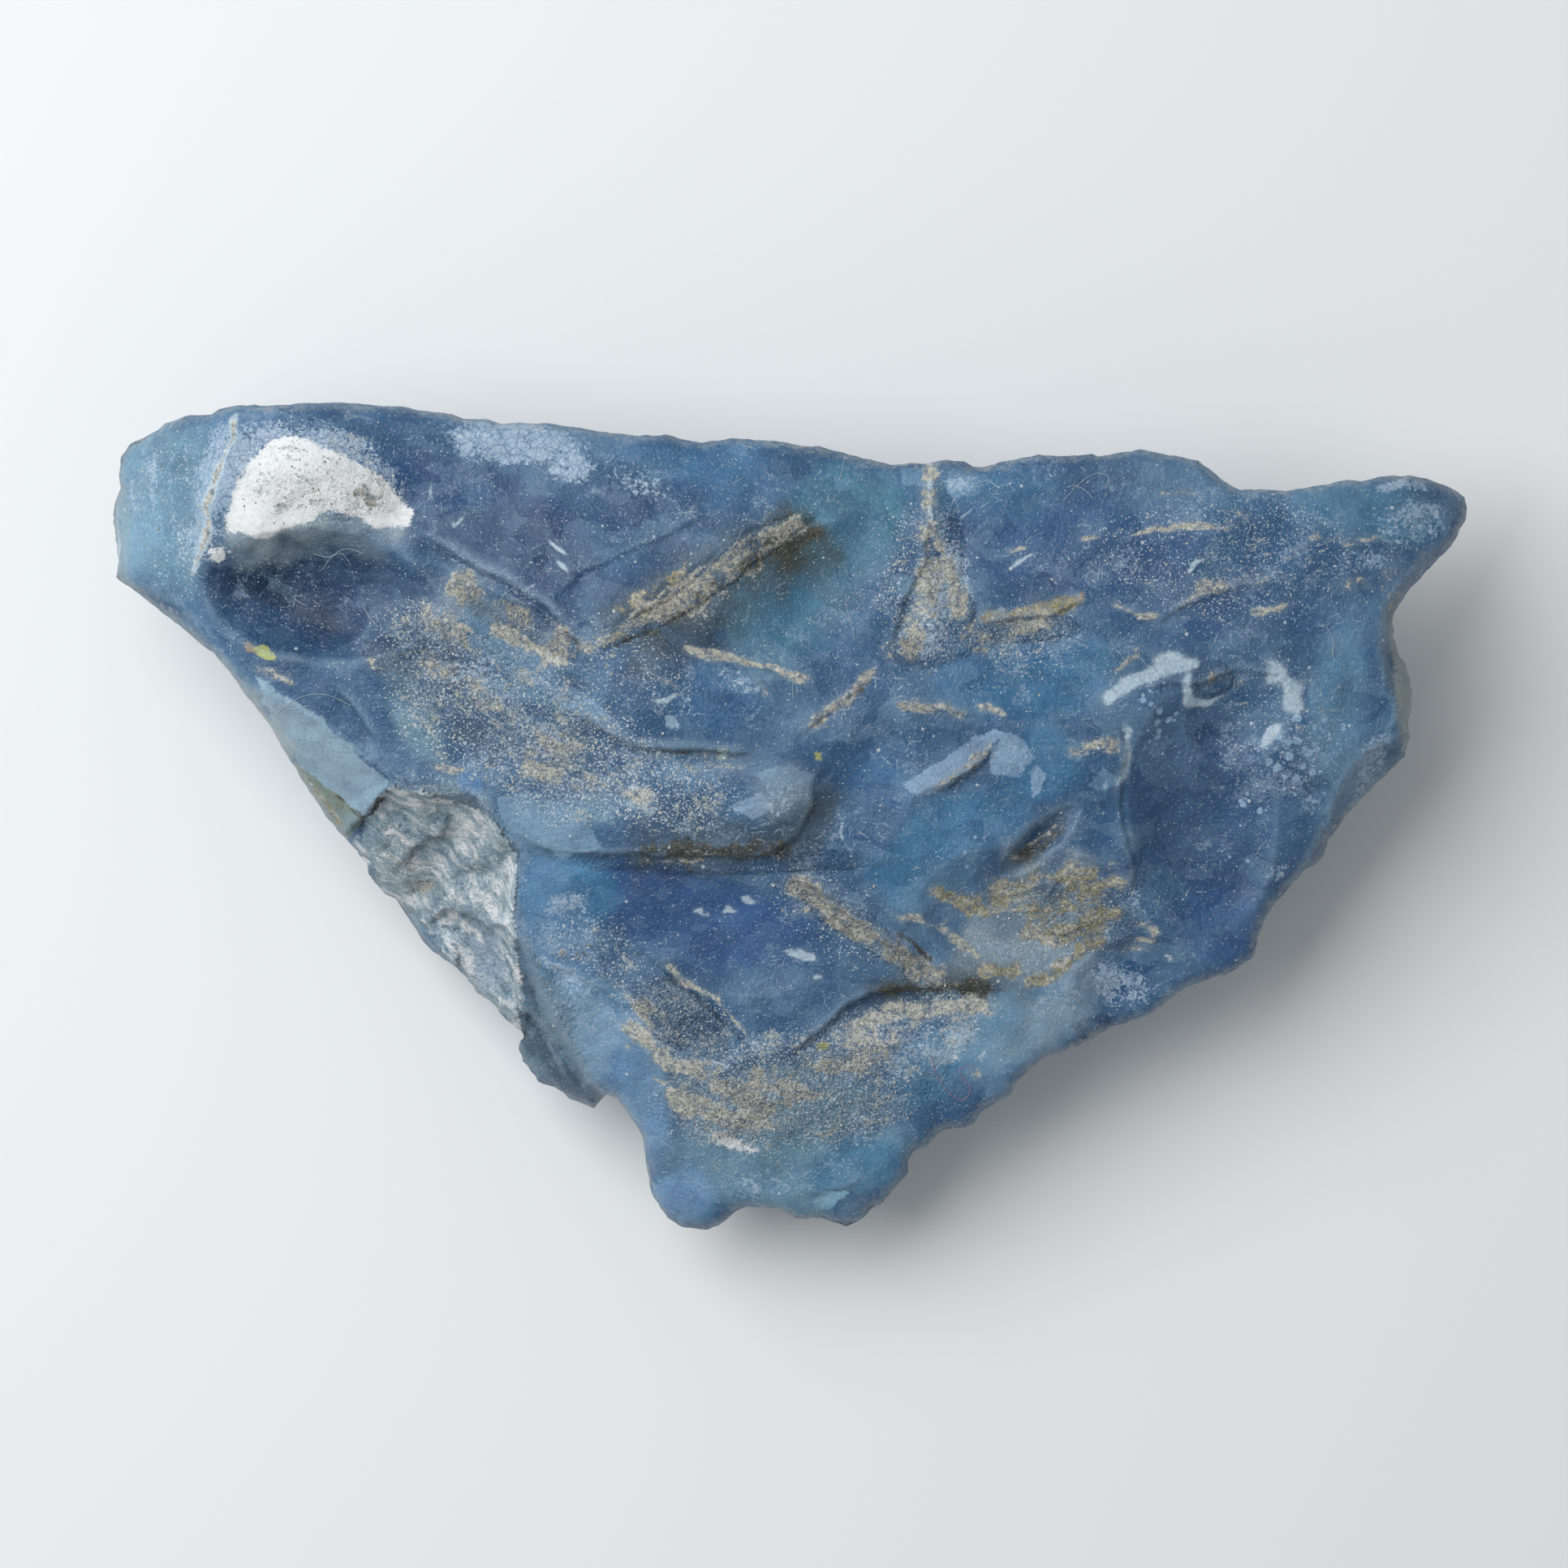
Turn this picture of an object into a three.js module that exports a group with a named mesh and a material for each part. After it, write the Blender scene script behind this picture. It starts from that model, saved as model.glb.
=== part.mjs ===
// A rough piece of blue common opal, broken on every side, lying on its one small flat spot.
// Millimetres, +Z up. The long way of the stone is X, and it rests on the plane z = 0.
//
// The stone is one closed solid with two skins that meet along its broken outer edge:
// an upper skin and an underside, each a height over the same plan. Spot heights give the
// large form. Flanks, scoops, ledges and ridges then break it up, as conchoidal fracture does.
import * as THREE from "three";

// Driving dimensions.
const EDGE_STEP = 0.62; // spacing of points along the broken outer edge
const GRID_STEP = 1.03; // spacing of points inside the plan
const STRAY_SEED = 11; // start of the fixed sequence the strays are drawn from
const GRID_JITTER = 0.2; // how far a grid point strays, as a share of the spacing
const INSET_RING = 0.42; // first ring of points inside the edge
const CLEAR_OF_RING = 0.34; // ring and ledge points keep this far from the edge
const CLEAR_OF_EDGE = 0.66; // grid points keep this far from the edge
const LEDGE_STEP = 0.8; // spacing of the point pairs along a ledge
const LEDGE_PAIR = 0.14; // each pair stands this far either side of its ledge
const CLEAR_OF_PAIR = 0.22; // ledge points keep this far from each other
const CLEAR_OF_LEDGE = 0.5; // grid points keep this far from a ledge's pairs
const EDGE_LIP = 0.7; // the outer edge lies this far below the upper skin beside it
const LIP_WIDTH = 0.22; // width over which that lip rounds over
const WALL_RISE = 3.2; // steepness of the broken wall just under the edge
const LEAST_EDGE_HEIGHT = 1.2; // the outer edge stays this high above the floor
const LEAST_THICKNESS = 0.9; // the two skins keep this far apart away from the edge
const TAPER = 1.6; // ledges and ridges run out to nothing over this length at their ends
const BLUE_OPAL = "#4a6b93";

// The broken outer edge seen from above, clockwise from the lower corner of the left end.
const OUTER_EDGE = [
  [-31, 11.15], [-30.9, 11.85], [-31.15, 14], [-31.05, 14.6], [-30.75, 15.2], [-30.8, 15.8],
  [-30.65, 16.7], [-30.3, 17.2], [-29, 17.8], [-28.6, 18.1], [-27.4, 18.5], [-26.4, 18.45],
  [-26, 18.7], [-25.2, 18.85], [-24.4, 18.9], [-23.85, 18.8], [-21.1, 19], [-17.9, 18.8],
  [-15.4, 18.45], [-14.9, 18.25], [-13.9, 18.25], [-13.2, 18.05], [-11, 18.05], [-8, 17.6],
  [-6.9, 17.5], [-5.7, 17.55], [-4.1, 17.15], [-2.7, 17.4], [-0.1, 17.2], [0.5, 17], [1.3, 17],
  [4.55, 16.2], [6.2, 16.25], [7.05, 16.4], [7.9, 16.3], [8.3, 16.1], [8.8, 16.1],
  [11.3, 16.67], [13, 16.57], [13.75, 16.7], [14, 16.57], [15.9, 16.87], [18.6, 16.4],
  [20, 15.3], [20.5, 15.05], [22.6, 15.03], [25.5, 15.57], [26.1, 15.5], [26.9, 15.7],
  [28.3, 15.8], [29.2, 15.7], [30.65, 15.1], [31, 14.8], [31.15, 14.4], [31.1, 13.8],
  [30.4, 12.6], [28.4, 10.65], [27.7, 9.5], [27.57, 8.4], [27.95, 7.45], [28.3, 7.05],
  [28.5, 5.7], [28.26, 2.87], [26.3, 1], [24.75, -0.93], [24.45, -1.9], [23.6, -2.4],
  [22.15, -4], [21.87, -4.45], [21.45, -5.55], [21.36, -6.2], [21.13, -6.53], [20, -7.18],
  [19.46, -7.27], [18.2, -7.76], [16.5, -9], [14.7, -9.6], [13.7, -10.2], [12.4, -10.75],
  [12, -10.75], [10.4, -12.1], [10.06, -12.8], [8.8, -13.5], [8.5, -13.9], [8.07, -14.2],
  [7.24, -14.26], [6.8, -14.5], [6.2, -15.1], [5.67, -15.3], [5.44, -15.7], [5.44, -16.3],
  [4.2, -17.7], [3.7, -18], [3.4, -18.4], [3, -18.66], [2.6, -18.8], [1.4, -18.44],
  [0.67, -18.5], [0.1, -18.4], [-0.63, -17.96], [-2, -17.9], [-2.57, -18.1], [-3.3, -18.8],
  [-3.87, -19], [-5, -18.88], [-5.7, -18.44], [-6.1, -17.94], [-6.44, -17.24], [-6.8, -14.74],
  [-7.5, -13.44], [-7.96, -12.84], [-8.43, -12.66], [-9.1, -13.33], [-10.2, -12.94],
  [-10.9, -12.4], [-11.67, -12.15], [-12.4, -11.2], [-12.6, -10.67], [-12.5, -10],
  [-12.8, -9.56], [-15, -7.5], [-15.4, -6.9], [-16.6, -6.13], [-17, -5.75], [-18.4, -3.7],
  [-18.9, -3.44], [-19.3, -3], [-19.55, -2.56], [-19.56, -2], [-21.44, 0.13], [-23.94, 4.44],
  [-25.8, 6.94], [-26.4, 7.6], [-28, 8.9],
];

// Spot heights of the upper skin: x, y, z. A thin-plate surface passes through them.
const SPOT_HEIGHTS = [
  [-31, 14, 9.4], [-29.5, 17.5, 10.4], [-26.3, 14.5, 12.9], [-25, 18.8, 12.6], [-22, 15.8, 14.2],
  [-20, 18.9, 12.9], [-13, 18, 12.8], [-5, 17.3, 12.9], [3, 16.5, 12.4], [12, 16.6, 12.4],
  [19, 16, 12.1], [23, 15, 11.4], [29, 15.6, 9.6], [31, 14, 8.8], [28, 11, 10.6], [27.4, 7, 11.2],
  [27, 3, 10.4], [23.6, -2, 9], [20.5, -6.8, 8.4], [15, -9.3, 8.2], [10, -12.3, 8.2],
  [5.4, -15.5, 7.6], [2.5, -18.5, 6.4], [-4, -18.8, 6.2], [-6.6, -15.5, 7.2], [-8.6, -12, 8.6],
  [-11.5, -7.5, 10], [-13, -2, 11.6], [-15, 1.2, 12.4], [-18.5, 2.5, 12.2], [-23, 5.2, 12.2],
  [-27.5, 9.5, 11.4], [-30.6, 11.2, 9.6], [-21.5, 10.5, 12.9], [-14, 13.5, 13.8],
  [-13, 7.5, 14.1], [-7, 5.5, 14.4], [-7, 12.5, 14.2], [0, 14, 13.6], [1, 9, 13.5],
  [3, 4, 13.6], [-5, 1, 13.4], [-9, -4, 11.6], [-3, -6, 11], [3, -2, 12.4], [8, 2.5, 13],
  [11, 7, 13], [11, 12, 13.1], [18, 12.5, 12.7], [17, 7, 12.7], [23, 9, 12.1], [19, 0, 10.9],
  [12, -3, 11.2], [7, -8.6, 9.9], [0, -11, 9.3], [-2, -15, 8.2],
];

// Flanks: outside each line the upper skin breaks down by drop at once and then falls at rise,
// and at second_rise from second_from outward. The line and the points beyond it close the
// area that the flank covers.
const FLANKS = [
  {
    name: "left bevel",
    drop: 0.15, rise: 1, second_from: 2.5, second_rise: 1.5,
    line: [
      [-31.6, 11.2], [-29.6, 10.6], [-28, 9.8], [-26.8, 8.7], [-25.8, 7], [-23.9, 5.6],
      [-22.4, 5], [-21.07, 4], [-19.6, 2.95], [-18.3, 2], [-18.2, 1.4],
    ],
    beyond: [[-19.7, 0], [-24, -4.3], [-40, 0], [-40, 11]],
  },
  {
    name: "rough flank",
    drop: 0.9, rise: 0.95, second_from: 3.6, second_rise: 1.15,
    line: [
      [-18.2, 1.4], [-16.6, 1.1], [-14.3, 1.1], [-13.9, 0.6], [-13.4, -0.7], [-12.2, -1.4],
      [-12.7, -3.4], [-12.5, -4.7], [-11.8, -6.8], [-10.8, -9.2], [-10, -10.5], [-9.3, -11.8],
      [-8.5, -12.6], [-7.6, -13.4],
    ],
    beyond: [[-7.6, -25], [-40, -25], [-24, -4.3], [-19.7, 0]],
  },
  {
    name: "left end bevel",
    drop: 0.1, rise: 1.4, second_from: 9, second_rise: 1.4,
    line: [[-30.2, 10.2], [-30.35, 11.6], [-30.5, 14], [-30.6, 15.4], [-31.3, 17]],
    beyond: [[-40, 17], [-40, 10]],
  },
  {
    name: "right side bevel",
    drop: 0.1, rise: 1.4, second_from: 9, second_rise: 1.4,
    line: [
      [31.4, 13.6], [30.3, 12.8], [28.9, 11.9], [27.87, 10.6], [27.1, 9.2], [26.95, 7.6],
      [27.5, 5.95], [27.95, 4.2], [28.9, 3.2],
    ],
    beyond: [[40, 3], [40, 13.6]],
  },
  {
    name: "right lower facet",
    drop: 0.3, rise: 1.3, second_from: 9, second_rise: 1.3,
    line: [
      [29, 4], [28, 3.75], [26.9, 3.4], [25.67, 2.3], [25, 1], [24.8, 0.1], [24, -1.5],
      [23.2, -2.9],
    ],
    beyond: [[24, -6], [40, -6], [40, 4]],
  },
];

// Scoops: dished scars with a crisp rim, sunk into a skin. The half widths lie along and
// across the turn, in degrees.
const SCOOPS = [
  { name: "dark bowl", at: [-21.4, 10.2], half: [5.4, 3], turn: -6, depth: 1.5 },
  { name: "left end facet", at: [-29.3, 14.2], half: [3.6, 2.2], turn: 85, depth: 0.3 },
  { name: "upper left plane", at: [-13.5, 14.6], half: [7.5, 2.6], turn: -14, depth: 0.35 },
  { name: "teal facet", at: [0.4, 10], half: [5, 2.6], turn: 38, depth: 0.6 },
  { name: "upper right plane", at: [15, 12.6], half: [8.5, 3], turn: 2, depth: 0.3 },
  { name: "middle facet", at: [11, 6.4], half: [5, 2.2], turn: -4, depth: 0.35 },
  { name: "slate scar", at: [18.8, 0.4], half: [5.6, 3.4], turn: 96, depth: 1.3 },
  { name: "scar upper bay", at: [20.3, 4.6], half: [2.4, 2.2], turn: 0, depth: 0.6 },
  { name: "low scoop", at: [15.4, -7.4], half: [2.9, 1.9], turn: 30, depth: 0.7 },
  { name: "strata shell", at: [11.2, -4.4], half: [5.4, 3.2], turn: -8, depth: 1.1 },
  { name: "crescent pit", at: [11.3, -1], half: [2.3, 0.75], turn: 42, depth: 0.8 },
  { name: "indigo facet", at: [-4.6, -5], half: [6.2, 2.9], turn: -12, depth: 0.8 },
  { name: "middle blue dip", at: [3.2, 1.2], half: [4.2, 2.2], turn: 70, depth: 0.5 },
  { name: "tongue dip", at: [1, -14.8], half: [4.4, 2.4], turn: 12, depth: 0.4 },
  { name: "arc-lined shell", at: [-13.6, -6.4], half: [2.6, 1.5], turn: -52, depth: 0.7 },
];

// Ledges: thin flakes have sprung off along these lines. The high side is on the left hand.
// It stands up by rise and dies away over back. The low side drops and recovers over front.
const LEDGES = [
  {
    name: "bowl brow", drop: 0.7, front: 1.5, rise: 0.3, back: 2.6,
    line: [[-25.6, 11.7], [-23, 12.9], [-21.5, 13.2], [-20, 13.1], [-18.5, 12.9], [-17.2, 13.1]],
  },
  {
    name: "chalk step", drop: 0.25, front: 0.8, rise: 0.1, back: 1,
    line: [[-20.2, 15.1], [-19.3, 15], [-18.6, 14.4], [-17.5, 13.8]],
  },
  {
    name: "upper left ridge", drop: 1, front: 1.6, rise: 0.35, back: 2.4,
    line: [[-17, 13.1], [-15, 11.8], [-13, 10.8], [-11.1, 9.6], [-9.4, 8]],
  },
  {
    name: "tan shelf", drop: 0.6, front: 1.4, rise: 0.2, back: 1.2,
    line: [[-15.5, 10.4], [-14, 9.7], [-12.5, 8.8], [-11, 8], [-9.6, 7.3]],
  },
  {
    name: "second lip", drop: 0.35, front: 1.2, rise: 0.15, back: 1.4,
    line: [[-11.2, 9.6], [-9.5, 11], [-7.5, 12.1], [-5.5, 13], [-3, 14.3]],
  },
  {
    name: "lens crevice upper lip", drop: 0.85, front: 1.9, rise: 0.35, back: 2.2,
    line: [[-9.5, 7.8], [-8, 8.9], [-6, 10.3], [-4, 11.6], [-2, 13], [0, 13.9], [1.6, 14.3]],
  },
  {
    name: "lens crevice floor", drop: 0.75, front: 1.5, rise: 0, back: 0.6,
    line: [[-8.8, 7.4], [-7, 7.9], [-5, 8.8], [-3, 10.4], [-1, 11.9], [0.2, 12.5], [1.8, 13.4]],
  },
  {
    name: "cream lip", drop: 0.35, front: 1, rise: 0.1, back: 0.9,
    line: [[1.4, 6.1], [-0.5, 6.6], [-2.2, 7.2], [-4, 7.5], [-5.2, 8]],
  },
  {
    name: "vein left wall", drop: 0.55, front: 1.1, rise: 0.1, back: 0.8,
    line: [[3.9, 7], [4.7, 8.2], [5.1, 9.8], [5.9, 11.2], [6.3, 12], [6.3, 13.2]],
  },
  {
    name: "vein right wall", drop: 0.35, front: 0.8, rise: 0.15, back: 0.8,
    line: [[6.4, 14.2], [6.8, 12.8], [7.4, 11.6], [7.9, 10], [8, 8.6]],
  },
  {
    name: "ochre ledge", drop: 0.7, front: 1.8, rise: 0.15, back: 1.6,
    line: [[8, 8.9], [10, 9.05], [12, 9.3], [13.2, 9.8], [14.3, 10.1]],
  },
  {
    name: "cream step", drop: 0.35, front: 1.2, rise: 0.1, back: 1.2,
    line: [[14.2, 9.8], [16.8, 9], [17.6, 9.5], [18.8, 10.1], [20.5, 10.6], [22.4, 10.7]],
  },
  {
    name: "flake ledge", drop: 0.8, front: 1.6, rise: 0.25, back: 2,
    line: [[-10.2, 5.2], [-8.4, 4], [-7.2, 3.3], [-5.5, 3.2], [-3.3, 3.1], [-1.2, 3]],
  },
  {
    name: "dirt ledge", drop: 1.1, front: 1.9, rise: 0.2, back: 2.2,
    line: [
      [-12.6, -0.7], [-10.6, -1.6], [-9, -1.6], [-6, -1.65], [-3, -1.7], [-0.8, -1.6],
      [0.3, -0.8], [1.1, 0.6], [1.2, 2.4],
    ],
  },
  {
    name: "tan lip", drop: 0.45, front: 1, rise: 0.1, back: 1,
    line: [[-0.2, 3.4], [0.8, 4.2], [2, 5.1], [3.1, 5.9], [4.2, 7]],
  },
  {
    name: "lavender flake", drop: 0.6, front: 1.1, rise: 0.25, back: 1.2,
    line: [[5.4, 1], [7.4, 1.7], [8.6, 2.6], [9.6, 3.6]],
  },
  {
    name: "centre streak", drop: 0.25, front: 0.8, rise: 0.1, back: 0.8,
    line: [[4.4, 5.1], [6.5, 5], [8.3, 4.7], [10, 4.6]],
  },
  {
    name: "scar left rim", drop: 0.7, front: 1.8, rise: 0.15, back: 1.6,
    line: [[15.4, -4.4], [15.8, -2.4], [15.2, -0.4], [15, 1.4], [15.4, 3.2], [14.8, 5.2]],
  },
  {
    name: "scar upper rim", drop: 0.45, front: 1.2, rise: 0.1, back: 1.2,
    line: [[15, 5.5], [17.2, 6.2], [18.7, 6.2], [20.4, 6.8], [22.2, 6.6], [23.2, 5]],
  },
  {
    name: "strata upper edge", drop: 0.45, front: 1, rise: 0.1, back: 1,
    line: [[6.2, -3.2], [9, -3.6], [10.8, -3.3], [12.4, -2.7], [13.6, -1.6]],
  },
  {
    name: "strata middle edge", drop: 0.35, front: 0.8, rise: 0.1, back: 0.8,
    line: [[10.2, -5], [12.2, -5.4], [13.6, -5], [15.2, -4.2]],
  },
  {
    name: "strata lower edge", drop: 0.5, front: 1.1, rise: 0.1, back: 0.9,
    line: [[9.6, -7.6], [11, -7.4], [12.6, -6.8], [14.2, -5.6], [16.8, -5.8]],
  },
  {
    name: "tan ramp edge", drop: 0.7, front: 1.3, rise: 0.15, back: 1.1,
    line: [[-0.6, -2], [0.5, -2.7], [2, -4], [3.5, -5], [5, -6], [6.8, -6.9]],
  },
  {
    name: "deep scarp", drop: 1.5, front: 2.4, rise: 0.3, back: 2.2,
    line: [
      [-0.4, -10.9], [1.2, -9.8], [2.4, -8.7], [3.6, -8], [5, -7.75], [7.5, -7.75], [10.4, -7.8],
    ],
  },
  {
    name: "left valley wall", drop: 0.8, front: 1.4, rise: 0.2, back: 1.4,
    line: [[-1.4, -10.9], [-2.4, -9.9], [-3.6, -8.8], [-5, -7.7], [-6.4, -6.6]],
  },
  {
    name: "light blue step", drop: 0.45, front: 1.3, rise: 0.15, back: 1.2,
    line: [[-12, -6.3], [-10, -7], [-8.4, -8], [-6.8, -9]],
  },
  {
    name: "flank rib", drop: 0.7, front: 1.4, rise: 0.3, back: 1.2,
    line: [[-18.6, -2.4], [-17.2, -1.2], [-16, -0.6], [-15.3, 0.6]],
  },
  {
    name: "flank shoulder", drop: 0.8, front: 1.5, rise: 0.3, back: 1.4,
    line: [[-17.2, -5.2], [-15.9, -4.2], [-14.8, -4.4], [-13.9, -4.9], [-12.6, -4.8]],
  },
  {
    name: "low flank rib", drop: 0.5, front: 1, rise: 0.25, back: 1.1,
    line: [[-13, -9.2], [-12, -8.9], [-11.4, -10], [-10.8, -11.3], [-10.2, -12.4]],
  },
  {
    name: "window step", drop: 0.45, front: 0.9, rise: 0, back: 1,
    line: [[-20.4, -0.7], [-19.7, 0], [-18.85, 0.8], [-18.2, 1.5]],
  },
  {
    name: "layer step", drop: 0.4, front: 0.9, rise: 0.1, back: 1,
    line: [[-21.1, 6.2], [-20, 5.3], [-19.3, 4.2], [-18.6, 3]],
  },
];

// Ridges stand proud of the upper skin and fall away evenly on both sides over width.
const RIDGES = [
  {
    name: "lens crevice fill", height: 0.4, width: 0.55,
    line: [[-9, 8], [-7, 8.9], [-5, 10], [-3, 11.3], [-1, 12.7], [1.2, 13.6]],
  },
  {
    name: "left end arris", height: 0.55, width: 1.1,
    line: [
      [-25.3, 18.6], [-25.4, 17], [-25.9, 15.8], [-26.5, 14.2], [-26.6, 12.8], [-27.6, 10.6],
    ],
  },
  {
    name: "chalk crest", height: 0.5, width: 1.8,
    line: [[-25, 14.4], [-23.4, 15.9], [-21.4, 16], [-19.2, 14.9], [-17.6, 13.9]],
  },
];

// The underside: planes that rise from the floor. Each starts at a distance from the plan's
// centre, along its own heading (degrees, 0 along +X), and climbs outward at rise.
const PLAN_CENTRE = [0.2, 3.4];
const UNDER_FACETS = [
  { name: "back facet", heading: 88, start: 4.4, rise: 1 },
  { name: "back left facet", heading: 118, start: 7.5, rise: 0.5 },
  { name: "left end facet", heading: 160, start: 11, rise: 0.26 },
  { name: "left flank facet", heading: 226, start: 7, rise: 0.29 },
  { name: "tongue facet", heading: 262, start: 6.6, rise: 0.27 },
  { name: "front right facet", heading: 306, start: 5.4, rise: 0.46 },
  { name: "right facet", heading: 350, start: 9.5, rise: 0.36 },
  { name: "horn facet", heading: 26, start: 11, rise: 0.28 },
  { name: "back right facet", heading: 64, start: 7.2, rise: 0.47 },
];

// Scars in the underside, sunk upward into the stone.
const UNDER_SCOOPS = [
  { name: "tongue scar", at: [-0.5, -12.2], half: [5.6, 3.6], turn: 20, depth: 1.3 },
  { name: "front right scar", at: [13.5, -3.4], half: [6, 3.4], turn: 38, depth: 1.5 },
  { name: "horn scar", at: [22.5, 9.5], half: [5, 3.4], turn: 30, depth: 1.2 },
  { name: "left end scar", at: [-23.5, 12.4], half: [5.2, 3.2], turn: 160, depth: 1.3 },
  { name: "back scar", at: [-4.5, 13.6], half: [5.4, 2.2], turn: 4, depth: 1 },
  { name: "back right scar", at: [8.6, 13], half: [4.2, 2], turn: -8, depth: 0.8 },
  { name: "left flank scar", at: [-14.6, 0.4], half: [4.2, 2.2], turn: 130, depth: 0.5 },
];

// Ledges in the underside, where broken layers end. They run as those above do.
const UNDER_LEDGES = [
  {
    name: "back shelf", drop: 0.7, front: 2.4, rise: 0.5, back: 2,
    line: [[-25, 14.6], [-20, 13.6], [-14, 14.2], [-8, 12.2], [-1, 12.6], [5, 11.4]],
  },
  {
    name: "back right shelf", drop: 0.6, front: 2, rise: 0.4, back: 1.6,
    line: [[8, 13.6], [12, 12.2], [17, 12.8], [22, 11]],
  },
  {
    name: "front right shelf", drop: 0.7, front: 2.2, rise: 0.5, back: 1.8,
    line: [[22.5, 2.6], [18, -1.4], [14.5, -3], [10, -7.4], [5.6, -9]],
  },
  {
    name: "tongue shelf", drop: 0.6, front: 2, rise: 0.4, back: 1.6,
    line: [[2.8, -12.6], [-0.6, -11], [-4.4, -11.6]],
  },
  {
    name: "left shelf", drop: 0.5, front: 2, rise: 0.3, back: 1.6,
    line: [[-12, -4.6], [-14.6, -0.6], [-17.4, 1.6], [-19.6, 6], [-23.4, 8.6]],
  },
];

// Small hackle on the broken faces: a few crossed waves of different lengths.
const HACKLE = [
  { turn: 20, length: 5.3, height: 0.1 },
  { turn: 75, length: 3.1, height: 0.07 },
  { turn: 131, length: 4.1, height: 0.08 },
  { turn: 168, length: 2.3, height: 0.05 },
];
const WAVE_BEND = { lengths: 2.7, amount: 1.4 }; // each wave snakes over this many of its lengths
const UNDER_HACKLE = { stretch: 1.9, height: 2 }; // broader and higher on the underside
const UNDER_FADE = 1.5; // the underside's breaks grow over this height above the floor

const toRadians = (degrees) => (degrees * Math.PI) / 180;

// Nearest place on an open line: distance, left-hand side or not, and run along it.
function nearestOnLine(x, y, line) {
  let best = { distance: Infinity, left: true, run: 0 };
  let run = 0;
  for (let i = 1; i < line.length; i += 1) {
    const [ax, ay] = line[i - 1];
    const dx = line[i][0] - ax;
    const dy = line[i][1] - ay;
    const length = Math.hypot(dx, dy);
    const along = ((x - ax) * dx + (y - ay) * dy) / length;
    const t = Math.min(Math.max(along, 0), length);
    const distance = Math.hypot(x - ax - (dx * t) / length, y - ay - (dy * t) / length);
    if (distance < best.distance) {
      best = { distance, left: dx * (y - ay) - dy * (x - ax) > 0, run: run + t };
    }
    run += length;
  }
  return { ...best, total: run };
}

// 1 along the middle of a line and 0 at its two ends.
function taper(near) {
  const t = Math.min(near.run, near.total - near.run) / TAPER;
  const s = Math.min(Math.max(t, 0), 1);
  return s * s * (3 - 2 * s);
}

// The thin-plate surface through the spot heights: its kernel and its solved weights.
function plateKernel(dx, dy) {
  const squared = dx * dx + dy * dy;
  return squared > 0 ? squared * Math.log(squared) : 0;
}

function solveLinear(rows) {
  const n = rows.length;
  for (let i = 0; i < n; i += 1) {
    let pivot = i;
    for (let j = i + 1; j < n; j += 1) {
      if (Math.abs(rows[j][i]) > Math.abs(rows[pivot][i])) pivot = j;
    }
    [rows[i], rows[pivot]] = [rows[pivot], rows[i]];
    for (let j = 0; j < n; j += 1) {
      if (j === i) continue;
      const factor = rows[j][i] / rows[i][i];
      for (let k = i; k <= n; k += 1) {
        rows[j][k] -= factor * rows[i][k];
      }
    }
  }
  return rows.map((row, i) => row[n] / row[i]);
}

function makePlate(spots) {
  const flat = [0, 0, 0, 0];
  const rows = spots.map(([x, y, z]) => [
    ...spots.map(([u, v]) => plateKernel(x - u, y - v)), 1, x, y, z,
  ]);
  rows.push([...spots.map(() => 1), ...flat]);
  rows.push([...spots.map((spot) => spot[0]), ...flat]);
  rows.push([...spots.map((spot) => spot[1]), ...flat]);
  const weights = solveLinear(rows);
  const n = spots.length;
  return (x, y) => {
    let z = weights[n] + weights[n + 1] * x + weights[n + 2] * y;
    spots.forEach(([u, v], i) => {
      z += weights[i] * plateKernel(x - u, y - v);
    });
    return z;
  };
}

const plateHeight = makePlate(SPOT_HEIGHTS);

function scoopDepth(x, y, scoop) {
  const turn = toRadians(scoop.turn);
  const dx = x - scoop.at[0];
  const dy = y - scoop.at[1];
  const u = (dx * Math.cos(turn) + dy * Math.sin(turn)) / scoop.half[0];
  const v = (dy * Math.cos(turn) - dx * Math.sin(turn)) / scoop.half[1];
  return scoop.depth * Math.max(0, 1 - u * u - v * v);
}

function flankFall(x, y, flank) {
  if (!isInside(x, y, [...flank.line, ...flank.beyond])) return 0;
  const near = nearestOnLine(x, y, flank.line);
  const beyond = Math.max(0, near.distance - flank.second_from);
  return flank.drop + flank.rise * (near.distance - beyond) + flank.second_rise * beyond;
}

function ledgeChange(x, y, ledge) {
  const near = nearestOnLine(x, y, ledge.line);
  const strength = taper(near);
  if (near.left) return ledge.rise * strength * Math.exp(-near.distance / ledge.back);
  return -ledge.drop * strength * Math.exp(-near.distance / ledge.front);
}

function ridgeHeight(x, y, ridge) {
  const near = nearestOnLine(x, y, ridge.line);
  return ridge.height * taper(near) * Math.max(0, 1 - near.distance / ridge.width);
}

function hackle(x, y) {
  let z = 0;
  for (const wave of HACKLE) {
    const turn = toRadians(wave.turn);
    const along = x * Math.cos(turn) + y * Math.sin(turn);
    const across = y * Math.cos(turn) - x * Math.sin(turn);
    const bend = Math.sin((across * 2 * Math.PI) / (wave.length * WAVE_BEND.lengths));
    z += wave.height * Math.sin((along * 2 * Math.PI) / wave.length + WAVE_BEND.amount * bend);
  }
  return z;
}

// The upper skin before its outer lip rounds over.
function upperHeight(x, y) {
  let z = plateHeight(x, y) + hackle(x, y);
  for (const scoop of SCOOPS) {
    z -= scoopDepth(x, y, scoop);
  }
  for (const ledge of LEDGES) {
    z += ledgeChange(x, y, ledge);
  }
  for (const ridge of RIDGES) {
    z += ridgeHeight(x, y, ridge);
  }
  return z - Math.max(...FLANKS.map((flank) => flankFall(x, y, flank)));
}

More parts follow.
